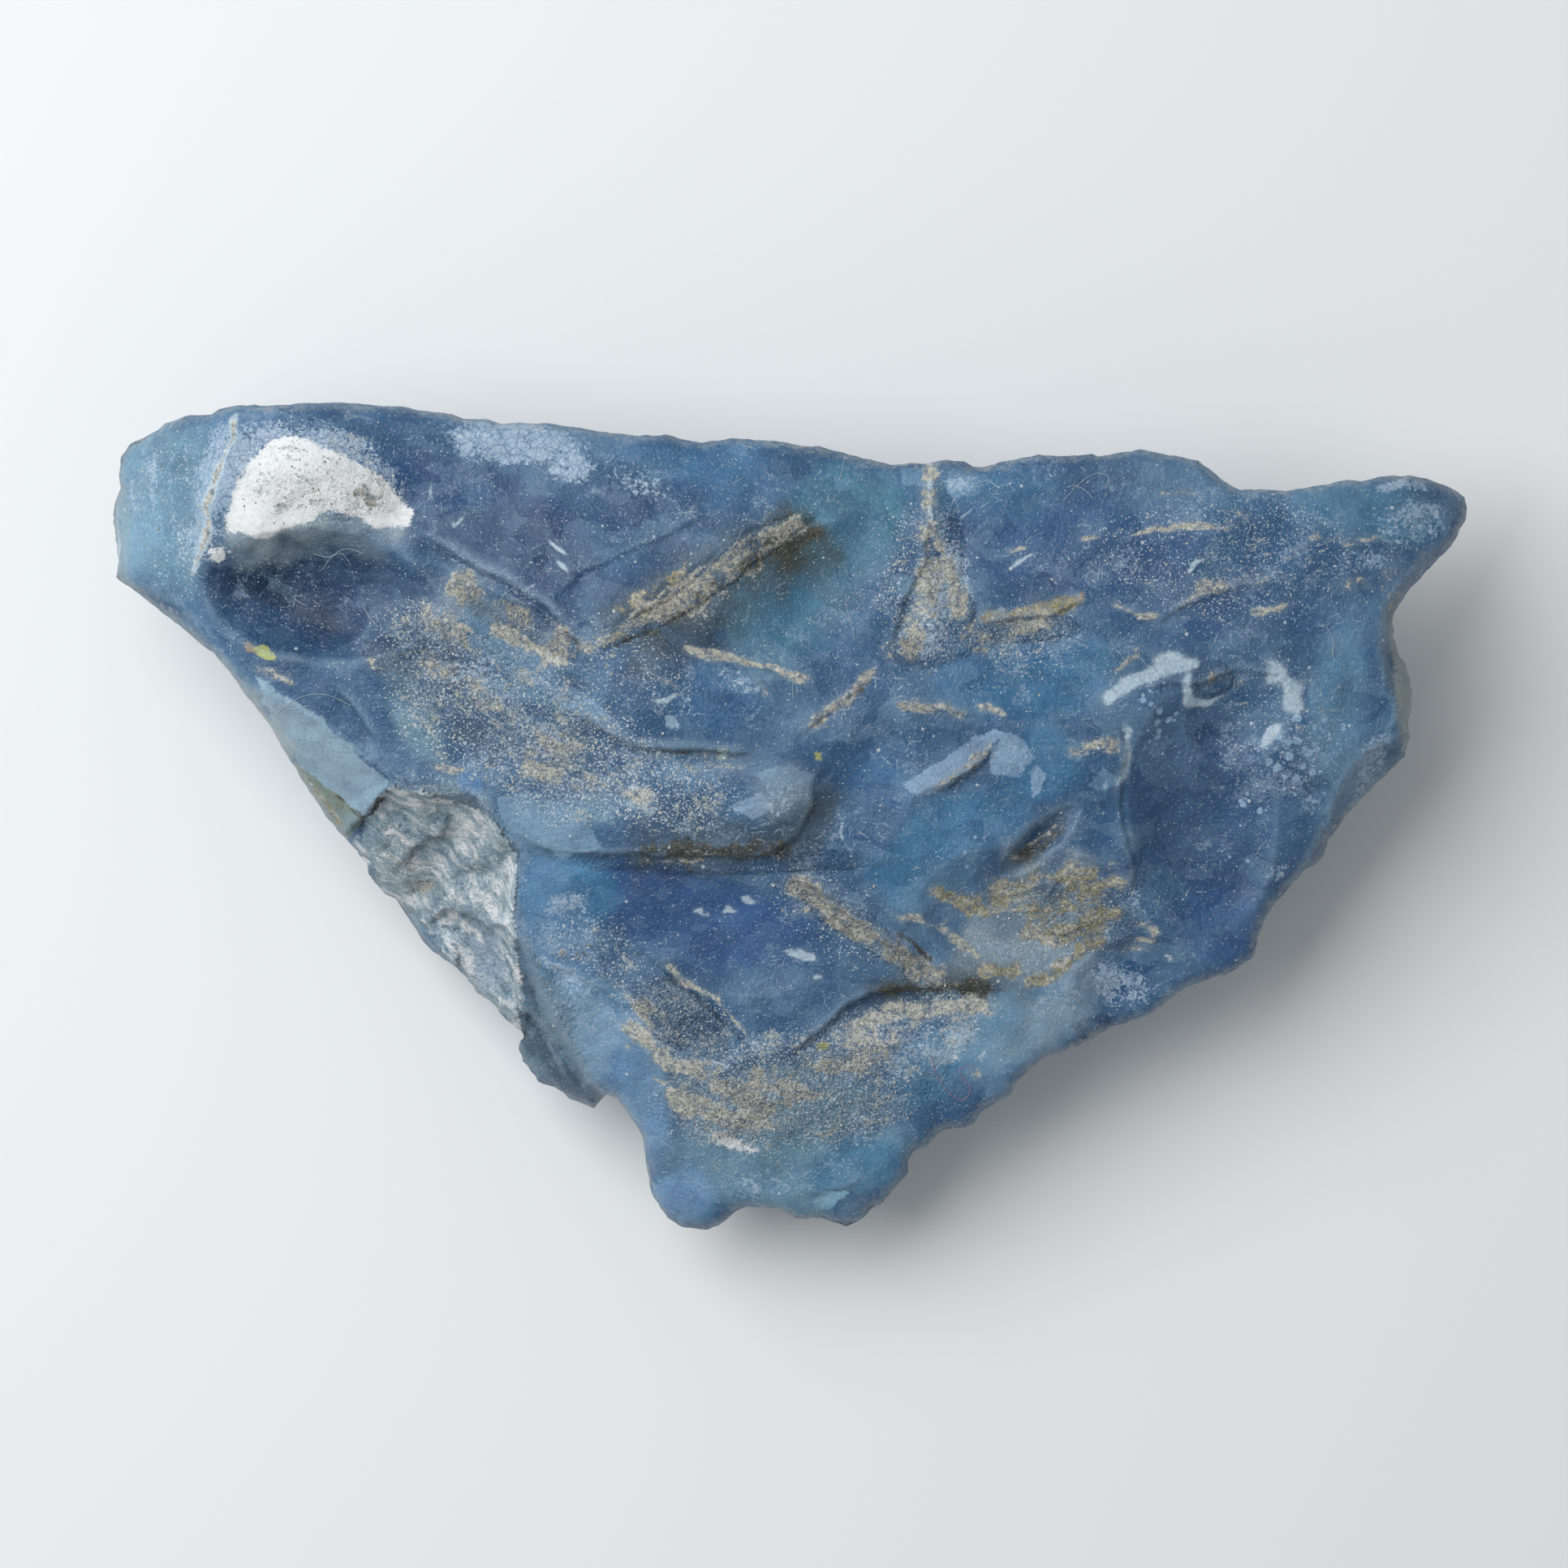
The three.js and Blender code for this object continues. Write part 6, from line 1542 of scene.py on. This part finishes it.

# %% [markdown]
# ### The blue stone
# Over the tint come clouds of indigo and teal a few millimetres wide, then small flat breaks
# that each catch the light in their own way, then what wear, dirt and haze do to the forms,
# with painted shade in the hollows and along the crevices and a painted reflection on the left bevel.
# A pepper and salt of 0.16 mm ends it, because a break is never one even tone.

# %% Bare stone
FLAT_BREAKS = (
    # length and width in mm, turn, seed, share
    (6, 2.4, -24, 3, 0.2), (3.4, 1.5, 30, 11, 0.18), (1.3, 0.7, -10, 23, 0.18),
)
WASHES = (
    # mask, colour, share; the first is painted shade in the hollows, the haze is partly a
    # painted reflection on the left bevel, and the stain holds painted shade beside the crevices
    ("hollow_shade", "#2b3a4c", 0.22), ("worn", "#86a0b4", 0.42), ("haze_and_reflection", "#a0b0b6", 0.8),
    ("stain_and_shade", "#3c4038", 0.75),
)


def flat_breaks(long_mm, wide_mm, turn, seed):
    """Small breaks with crisp edges: a tone for each, and its tilted plane as a height."""
    spot = turned_place(long_mm, wide_mm, turn, seed, 1.2)
    cell = add(tree, "ShaderNodeTexVoronoi", {"Vector": spot, "Scale": 1.0})
    inputs = {0: spot, 1: cell.outputs["Position"]}
    off = add(tree, "ShaderNodeVectorMath", inputs, operation="SUBTRACT").outputs[0]
    inputs = {0: cell.outputs["Color"], 1: (-0.5, -0.5, -0.5)}
    lean = add(tree, "ShaderNodeVectorMath", inputs, operation="ADD").outputs[0]
    dot = add(tree, "ShaderNodeVectorMath", {0: off, 1: lean}, operation="DOT_PRODUCT")
    tone = add(tree, "ShaderNodeSeparateColor", {"Color": cell.outputs["Color"]}).outputs[1]
    return tone, dot.outputs["Value"]


colour = add(tree, "ShaderNodeAttribute", attribute_name="tint").outputs["Color"]
broad = cloudiness(3.4, 4, 0.6, 0.6)
colour = over(colour, "#2c4f7a", between(broad, 0.5, 0.72), 0.2)
colour = over(colour, "#5c8ea4", between(broad, 0.48, 0.26), 0.2)
for long_mm, wide_mm, turn, seed, share in FLAT_BREAKS:
    tone, tilt = flat_breaks(long_mm, wide_mm, turn, seed)
    colour = over(colour, "#7c9bb4", between(tone, 0.6, 1.0), share)
    colour = over(colour, "#2a4266", between(tone, 0.4, 0.0), share)
for name, tone, share in WASHES:
    colour = over(colour, tone, mask_of(name), share)
colour = over(colour, "#89a2b8", between(grain, 0.56, 0.7), 0.3)
colour = over(colour, "#22395c", between(grain, 0.44, 0.32), 0.3)
print("nodes with the bare stone:", len(tree.nodes))

# %% [markdown]
# ### Deposits
# A deposit covers where its mask, torn up by noise at 0.3 mm, passes a threshold: so its rim
# is ragged and its middle has holes. Each has three tones, from the hollows of the grain to
# its tops. Crusts are a mix: whiter crumbs in some places, blue showing through in others.

# %% Deposits
DEPOSIT_TONES = {
    # lowest, highest and middle place of the grain with their colours
    "cloud": ((0.3, "#7898b4"), (0.7, "#bdcbd8"), (0.5, "#9db3c8")),
    "dots": ((0.3, "#7394b6"), (0.7, "#a9bfd2"), (0.5, "#8cabc6")),
    "milk": ((0.3, "#8fb0c6"), (0.7, "#c6d4dc"), (0.5, "#aec3d0")),
    "chalk": ((0.3, "#c9cdce"), (0.7, "#e9ebeb"), (0.42, "#dcdfe0")),
    "ochre": ((0.3, "#646149"), (0.7, "#bfb488"), (0.5, "#948c68")),
    "cream": ((0.3, "#78838a"), (0.7, "#cfccbf"), (0.48, "#a9a899")),
    "tan": ((0.3, "#51585a"), (0.7, "#c2beb0"), (0.48, "#8f8f84")),
    "brown_dirt_and_shade": ((0.3, "#23271f"), (0.7, "#6a6656"), (0.5, "#3f4037")),
    "crumb": ((0.3, "#768893"), (0.7, "#c0c4c2"), (0.5, "#9aa19f")),
}


def torn(name, noise_used, ragged=2.2):
    """Where a deposit really covers: its mask torn up by noise."""
    holes = all_of(sum_of(noise_used, -0.5), ragged)
    return between(sum_of(mask_of(name), holes), 0.38, 0.62)


# A thin film of dust, and crumbs that drift along the layers
dusty = mask_of("dust")
film = between(sum_of(cloudiness(2.4, 7, 0.8, 0.2), all_of(dusty, 0.16)), 0.6, 0.68)
film = all_of(film, between(tear_b, 0.4, 0.56))
colour = over(colour, ramp(tree, grain, ((0.35, "#6f8fae"), (0.65, "#a9bac8"))), film, 0.5)
drift = all_of(sum_of(cloudiness(1.5, 6, 0.72, 0.8), layers), 0.5)
crumbs = between(sum_of(drift, all_of(dusty, 0.14)), 0.655, 0.69)

# A net of blue lines in the milky clouds, and milky dots that sit apart or run together
inputs = {"Vector": turned_place(0.7, 0.5, 20, 5, 0.6), "Scale": 1.0}
cells = add(tree, "ShaderNodeTexVoronoi", inputs, feature="DISTANCE_TO_EDGE")
net = sum_of(all_of(between(cells.outputs["Distance"], 0.01, 0.1), 0.5), 0.5)
from_middle, odds = beads(turned_place(0.42, 0.42, 0, 4, 0.3), 1.0)
size = all_of(mask_of("dots"), odds, 0.85)
dots = between(sum_of(size, all_of(from_middle, -1.0)), -0.04, 0.08)
milky = between(sum_of(mask_of("milk"), all_of(tear, 0.5), -0.25), 0.26, 0.6)

# The torn flank: pale splinters over darker rock, all drawn out down the slope; their white tops are
# partly painted glints
splinter = streaks(1.5, 0.7, -46, 6)
torn_face = all_of(mask_of("flank"), between(cloudiness(1.9, 4, 0.7, 0.4), 0.38, 0.5))
pale = ramp(tree, splinter, ((0.36, "#668aa0"), (0.5, "#b6c8d2"), (0.6, "#ffffff")))
colour = over(colour, pale, torn_face, 0.78)

clumps = all_of(sum_of(layers, fine), 0.5)
heaps = all_of(sum_of(tear, fine), 0.5)
covered = {
    "cloud": all_of(torn("cloud", tear_b), 0.85, net),
    "dots": all_of(dots, 0.9),
    "milk": all_of(milky, 0.85),
    "chalk": all_of(torn("chalk", tear_b, 1.3), 0.97),
    "ochre": all_of(torn("ochre", clumps, 2.8), 0.85),
    "cream": all_of(torn("cream", clumps, 2.8), 0.92),
    "tan": all_of(torn("tan", heaps, 2.8), 0.88),
    "brown_dirt_and_shade": all_of(torn("brown_dirt_and_shade", tear), 0.85),
    "crumb": all_of(crumbs, between(tear, 0.38, 0.5), 0.85),
}
for name, share in covered.items():
    colour = over(colour, ramp(tree, grain, DEPOSIT_TONES[name]), share)
crust = any_of(covered["tan"], covered["cream"], covered["ochre"])
whiter = between(cloudiness(0.8, 4, 0.7), 0.45, 0.56)
bared = between(cloudiness(0.3, 4, 0.7), 0.52, 0.58)
crumb_white = ramp(tree, grain, ((0.34, "#8f9089"), (0.64, "#dad7cc")))
colour = over(colour, crumb_white, crust, whiter, 0.55)
colour = over(colour, "#3d5c7e", crust, bared, 0.7)
cover = any_of(crust, covered["brown_dirt_and_shade"], covered["chalk"], covered["crumb"])
print("nodes with the deposits:", len(tree.nodes))

# %% [markdown]
# ### Specks, scratches, sheen and relief
# Pits and specks of dust are about 0.1 mm wide, drawn twice as coarse as the finest real ones,
# which wouldn't show. Hair-fine scratches run four ways, and the outer edge is rubbed pale,
# with a painted highlight along it.
# Deposits and dust are dull, the bare break keeps its sheen. The relief is a bump of 0.13 mm,
# because it is finer than the mesh.

# %% Surface
BUMP_DEPTH = 0.13  # mm
SCRATCH_WAYS = ((4, 0.3), (38, 0.7), (-36, 1.9), (82, 3.1))  # turn and seed

tiny = cloudiness(0.1, 2, 0.5)
pits = between(sum_of(tiny, all_of(dusty, -0.08)), 0.31, 0.26)
colour = over(colour, "#20385c", pits, 0.5)
from_middle, odds = beads(place, 1 / (0.5 * MM))
reach = all_of(joined("POWER", (odds, 9.0)), 0.2)
large_specks = between(sum_of(reach, all_of(from_middle, -1.0)), -0.03, 0.03)
specks = any_of(between(sum_of(tiny, all_of(dusty, 0.14)), 0.7, 0.74), large_specks)
hairs = [between(streaks(2.2, 0.1, turn, seed, 0.5, 1.0, 0.5), 0.69, 0.73)
         for turn, seed in SCRATCH_WAYS]
colour = over(colour, "#aab9c2", any_of(*hairs), between(cloudiness(2.2), 0.48, 0.62), 0.5)
colour = over(colour, "#d0d7d9", specks, 0.7)
# the outer rim: rubbed pale, and partly a painted highlight along the edge
colour = over(colour, "#a5adae", mask_of("rim"), between(cloudiness(0.4), 0.42, 0.62), 0.55)
tree.links.new(colour, shader.inputs["Base Color"])

dull = any_of(all_of(cover, 0.9), all_of(film, 0.85))
sheen = sum_of(all_of(grain, SHEEN_SWING), OPAL_SHEEN)
tree.links.new(any_of(sheen, dull), shader.inputs["Roughness"])
shader.inputs["IOR"].default_value = OPAL_IOR

height = sum_of(all_of(tear, 1.3), all_of(grain, 0.9))
height = all_of(height, sum_of(1.3, all_of(mask_of("bare"), -1.0)))
height = all_of(height, sum_of(1.0, all_of(mask_of("chalk"), -0.6)))
height = sum_of(height, all_of(tilt, 0.8), all_of(mask_of("flank"), splinter, 3.0))
inputs = {"Strength": 1.0, "Distance": BUMP_DEPTH * MM, "Height": height}
bump = add(tree, "ShaderNodeBump", inputs)
tree.links.new(bump.outputs["Normal"], shader.inputs["Normal"])
mesh.materials.append(finish)
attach(stone, "root")
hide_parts("opal")
print("nodes in the finish:", len(tree.nodes))

# %% [markdown]
# ## Dust grains
# Crumbs of the sandy rock lie on the stone where it is dusty. Geometry Nodes strews them by
# the dust mask, so moving the mask moves the grains. Each is a small uneven ball, turned and
# scaled at random from a fixed seed. The result is turned into a plain mesh at the end.

# %% Helpers for Geometry Nodes
def node_group(name, inputs):
    """An empty tree with named inputs, its entry node and the inputs' identifiers."""
    group = bpy.data.node_groups.new(name, "GeometryNodeTree")
    sockets = group.interface
    sockets.new_socket("Geometry", in_out="INPUT", socket_type="NodeSocketGeometry")
    sockets.new_socket("Geometry", in_out="OUTPUT", socket_type="NodeSocketGeometry")
    for label in inputs:
        sockets.new_socket(label, in_out="INPUT", socket_type="NodeSocketFloat")
    names = {item.name: item.identifier for item in sockets.items_tree if item.in_out == "INPUT"}
    return group, add(group, "NodeGroupInput"), names


def end_group(group, geometry, finish_used):
    """Ends a tree: instances become real and get their material."""
    real = add(group, "GeometryNodeRealizeInstances", {"Geometry": geometry})
    inputs = {"Geometry": real.outputs["Geometry"], "Material": finish_used}
    dressed = add(group, "GeometryNodeSetMaterial", inputs)
    add(group, "NodeGroupOutput", {"Geometry": dressed.outputs["Geometry"]})


def settle(piece, group, names, values):
    """Runs a tree on a piece and keeps the result as its plain mesh."""
    modifier = piece.modifiers.new(group.name, "NODES")
    modifier.node_group = group
    for label, value in values.items():
        modifier[names[label]] = value
    bpy.context.view_layer.update()
    seen = piece.evaluated_get(bpy.context.evaluated_depsgraph_get())
    plain = bpy.data.meshes.new_from_object(seen)
    piece.modifiers.remove(modifier)
    piece.data = plain
    plain.name = piece.name


def toned_finish(name, stops, roughness):
    """A matt finish whose colour follows each grain's or fibre's own tone."""
    made, its_tree, its_shader = new_finish(name)
    tone = add(its_tree, "ShaderNodeAttribute", attribute_name="tone").outputs["Fac"]
    its_tree.links.new(ramp(its_tree, tone, stops), its_shader.inputs["Base Color"])
    its_shader.inputs["Roughness"].default_value = roughness
    return made


# %% Dust grains
GRAIN_RADIUS = 0.055  # mm, before scaling
GRAIN_SCALES = (0.5, 1.7)
GRAIN_WIDTH = 0.8  # width of the largest grains as a share of their length
GRAIN_FLATNESS = 0.6  # height of a grain as a share of its length
GRAIN_LEAN = 0.6  # radians, the most a grain tips
GRAINS_PER_SQUARE_MM = 5.0
DUST_GATHERS = 3.0  # power of the dust mask: the higher, the more they keep to dusty places
GRAIN_SEED = 5

# Sandy rock dust is quite matt and runs from slate to cream
rock_dust = toned_finish("rock_dust", ((0.0, "#6b7a84"), (1.0, "#cdccc4"), (0.35, "#959a98"),
                                       (0.7, "#afafa6")), 0.85)
group, entry, names = node_group("strew_grains", ("Per square metre", "Radius"))
dust = add(group, "GeometryNodeInputNamedAttribute", {"Name": "dust"}, data_type="FLOAT")
inputs = {0: dust.outputs[0], 1: DUST_GATHERS}
gathered = add(group, "ShaderNodeMath", inputs, operation="POWER")
inputs = {0: gathered.outputs[0], 1: entry.outputs["Per square metre"]}
density = add(group, "ShaderNodeMath", inputs, operation="MULTIPLY")
inputs = {"Mesh": entry.outputs["Geometry"], "Density": density.outputs[0], "Seed": GRAIN_SEED}
points = add(group, "GeometryNodeDistributePointsOnFaces", inputs, distribute_method="RANDOM")
inputs = {"Radius": entry.outputs["Radius"], "Subdivisions": 1}
ball = add(group, "GeometryNodeMeshIcoSphere", inputs)
low, high = GRAIN_SCALES
inputs = {0: (low, low, low * GRAIN_FLATNESS), 1: (high, high * GRAIN_WIDTH, high * GRAIN_FLATNESS),
          "Seed": 1}
size = add(group, "FunctionNodeRandomValue", inputs, data_type="FLOAT_VECTOR")
inputs = {1: (GRAIN_LEAN, GRAIN_LEAN, 2 * math.pi), "Seed": 2}
turn = add(group, "FunctionNodeRandomValue", inputs, data_type="FLOAT_VECTOR")
inputs = {"Points": points.outputs["Points"], "Instance": ball.outputs["Mesh"],
          "Scale": size.outputs[0], "Rotation": turn.outputs[0]}
grains = add(group, "GeometryNodeInstanceOnPoints", inputs)
tone = add(group, "FunctionNodeRandomValue", {"Seed": 3}, data_type="FLOAT")
inputs = {"Geometry": grains.outputs["Instances"], "Name": "tone", "Value": tone.outputs[1]}
kept = add(group, "GeometryNodeStoreNamedAttribute", inputs, data_type="FLOAT",
           domain="INSTANCE")
end_group(group, kept.outputs["Geometry"], rock_dust)

bed_points = skin_points[:rim_count + len(upper_x)]
bed = bpy.data.meshes.new("grain_bed")
bed.from_pydata((bed_points * MM).tolist(), [], upper_faces.tolist())
layer = bed.attributes.new("dust", "FLOAT", "POINT")
layer.data.foreach_set("value", masks["dust"][:len(bed_points)].astype(np.float32))
dust_grains = new_piece("dust_grains", bed)
settle(dust_grains, group, names, {
    "Per square metre": GRAINS_PER_SQUARE_MM / MM**2,
    "Radius": GRAIN_RADIUS * MM,
})
dust_grains.data.polygons.foreach_set("use_smooth", [True] * len(dust_grains.data.polygons))
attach(dust_grains, "root")
print("dust grains:", len(dust_grains.data.polygons) // 20, "of 20 faces each")

# %% [markdown]
# ## Lint
# A few fibres of lint cling to the stone. Each is a line draped over the upper skin, and
# Geometry Nodes sweeps a thin circle along it. A real fibre is about 0.02 mm thick; these
# are drawn a little thicker so that they can be seen.

# %% Lint lines
FIBRE_RADIUS = 0.012  # mm
FIBRE_LIFT = 0.03  # mm above the skin
LOOSE_FIBRES = 26
LOOSE_FIELD = ((-28, -15), (27, 16))  # mm, the corners of the area that they are strewn over
LOOSE_STEP = 0.16  # mm between the bends of a loose fibre
LOOSE_STEPS = (3, 11)  # the least number of steps, and one more than the most
LOOSE_CURL = 0.16  # radians that every step turns by at most, the same way
LOOSE_SWAY = 0.2  # radians that a step turns by at most beside that
NAMED_FIBRES = [
    # tone, then the line: 0 is white lint, 1 is pink lint
    (1, ((6.5, -10.9), (6.6, -11.6), (7.1, -12.4), (7.8, -13), (8.2, -12.7), (8.3, -12.3),
         (7.9, -11.9), (7.7, -11.5), (8, -11.3), (8.4, -11.3))),
    (0, ((12.4, 14.5), (13, 15.2), (13.8, 15.8), (14.4, 15.7), (14.5, 15.4), (14.3, 15.05))),
    (0, ((-21.7, 12.1), (-21, 11.9), (-20.4, 12.2), (-20, 11.6))),
    (0, ((-21.3, 11.4), (-20.9, 12), (-20.2, 12.4), (-19.4, 12.1))),
    (0, ((-23.4, 4.9), (-22.4, 5.6), (-21.2, 5.8), (-20, 5.2))),
    (0, ((19.6, 14.1), (20.6, 13.9), (21, 13.4), (20.8, 13))),
    (0, ((2.2, 9.6), (2.8, 8.9), (2.9, 8.1))),
    (0, ((24.4, 8.8), (24.8, 8.1), (24.6, 7.4), (25.2, 7))),
    (0, ((-6.8, 6.9), (-5.6, 6.3), (-4.8, 5.7))),
]
lint_rng = np.random.default_rng(SEED + 4)


def loose_fibre():
    """A short fibre: a walk with a slowly changing heading, from a place on the stone."""
    while True:
        here = lint_rng.uniform(*LOOSE_FIELD)
        if inside(here[:1], here[1:], fine_edge[:, :2])[0]:
            break
    heading = lint_rng.uniform(0, 2 * math.pi)
    curl = lint_rng.uniform(-LOOSE_CURL, LOOSE_CURL)
    line = [tuple(here)]
    for _ in range(lint_rng.integers(*LOOSE_STEPS)):
        heading += curl + lint_rng.uniform(-LOOSE_SWAY, LOOSE_SWAY)
        here = here + LOOSE_STEP * np.array((math.cos(heading), math.sin(heading)))
        line.append(tuple(here))
    return line


def rounded(line):
    """The same line with its corners cut into soft bends, twice."""
    knots = np.array(line, float)
    for _ in range(2):
        cut = np.empty((2 * len(knots) - 2, 2))
        cut[0::2] = 0.75 * knots[:-1] + 0.25 * knots[1:]
        cut[1::2] = 0.25 * knots[:-1] + 0.75 * knots[1:]
        knots = np.r_[knots[:1], cut, knots[-1:]]
    return knots


skin_tree = BVHTree.FromPolygons(bed_points.tolist(), upper_faces.tolist())


def draped(line):
    """The line laid just above the upper skin; parts that miss it are left out."""
    spots = []
    for u, v in line:
        hit = skin_tree.ray_cast(Vector((u, v, 30)), Vector((0, 0, -1)))[0]
        if hit is not None:
            spots.append((u, v, hit.z + FIBRE_LIFT + FIBRE_RADIUS))
    return spots


fibres = [(tone, rounded(line)) for tone, line in NAMED_FIBRES]
fibres += [(0, rounded(loose_fibre())) for _ in range(LOOSE_FIBRES)]
fibre_points = []
fibre_edges = []
fibre_tones = []
for tone, line in fibres:
    spots = draped(line)
    first = len(fibre_points)
    fibre_points += spots
    fibre_tones += [tone] * len(spots)
    fibre_edges += [(first + k, first + k + 1) for k in range(len(spots) - 1)]
lint_lines = bpy.data.meshes.new("lint_lines")
lint_lines.from_pydata([tuple(v * MM for v in spot) for spot in fibre_points], fibre_edges, [])
layer = lint_lines.attributes.new("tone", "FLOAT", "POINT")
layer.data.foreach_set("value", np.array(fibre_tones, np.float32))
print("lint:", len(fibres), "fibres with", len(fibre_points), "points")

# %% Lint fibres
# Cotton lint is matt, and grey-blue where it lies in the stone's own light
lint = toned_finish("lint", ((0.0, "#b3bfc7"), (1.0, "#b07f98")), 0.8)
group, entry, names = node_group("sweep_fibres", ("Radius",))
curves = add(group, "GeometryNodeMeshToCurve", {"Mesh": entry.outputs["Geometry"]})
inputs = {"Resolution": 5, "Radius": entry.outputs["Radius"]}
ring = add(group, "GeometryNodeCurvePrimitiveCircle", inputs)
inputs = {"Curve": curves.outputs["Curve"], "Profile Curve": ring.outputs["Curve"],
          "Fill Caps": True}
tubes = add(group, "GeometryNodeCurveToMesh", inputs)
end_group(group, tubes.outputs["Mesh"], lint)
lint_fibres = new_piece("lint_fibres", lint_lines)
settle(lint_fibres, group, names, {"Radius": FIBRE_RADIUS * MM})
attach(lint_fibres, "root")
print("lint faces:", len(lint_fibres.data.polygons))

# %% [markdown]
# ## Floor, light and camera
# The stone lies on a plain pale board. One large soft lamp stands close at the upper left, so
# the board is bright there and falls off to the lower right, and the stone's lips throw short
# soft shadows. A weak even sky fills them. The camera looks straight down through a long lens.

# %% Stage
FLOOR_SIZE = 2.4  # metres
LAMP_AT = (-150, 85, 235)  # mm
LAMP_SIDE = 240  # mm
LAMP_WATTS = 0.8
LAMP_AIM = (0, 0, 0.01)  # metres, the middle of the stone
SKY_STRENGTH = 0.4
CAMERA_AT = (-0.3, 1.63, 408.5)  # mm
CAMERA_LENS = 200  # mm, on a sensor 36 mm wide

scene = bpy.context.scene
half = FLOOR_SIZE / 2
corners = [(-half, -half, 0), (half, -half, 0), (half, half, 0), (-half, half, 0)]
floor_mesh = bpy.data.meshes.new("floor")
floor_mesh.from_pydata(corners, [], [(0, 1, 2, 3)])
floor = new_piece("floor", floor_mesh)
pale_board, _, board_shader = new_finish("pale_board")
board_shader.inputs["Base Color"].default_value = linear("#e6e9ea")
board_shader.inputs["Roughness"].default_value = 0.6
floor_mesh.materials.append(pale_board)

lamp_data = bpy.data.lights.new("window_lamp", "AREA")
lamp_data.size = LAMP_SIDE * MM
lamp_data.energy = LAMP_WATTS
lamp = new_piece("window_lamp", lamp_data)
lamp.location = [v * MM for v in LAMP_AT]
lamp_way = Vector(LAMP_AIM) - lamp.location
lamp.rotation_euler = lamp_way.to_track_quat("-Z", "Y").to_euler()

sky = bpy.data.worlds.new("soft_sky")
sky.use_nodes = True
sky_light = sky.node_tree.nodes["Background"]
sky_light.inputs["Color"].default_value = linear("#f2f5f8")
sky_light.inputs["Strength"].default_value = SKY_STRENGTH
scene.world = sky

camera_data = bpy.data.cameras.new("camera")
camera_data.lens = CAMERA_LENS
camera_data.sensor_width = 36
camera_data.clip_end = 10
camera = new_piece("camera", camera_data)
camera.location = [v * MM for v in CAMERA_AT]
scene.camera = camera
scene.view_settings.view_transform = "Standard"
print("camera height, mm:", CAMERA_AT[2])
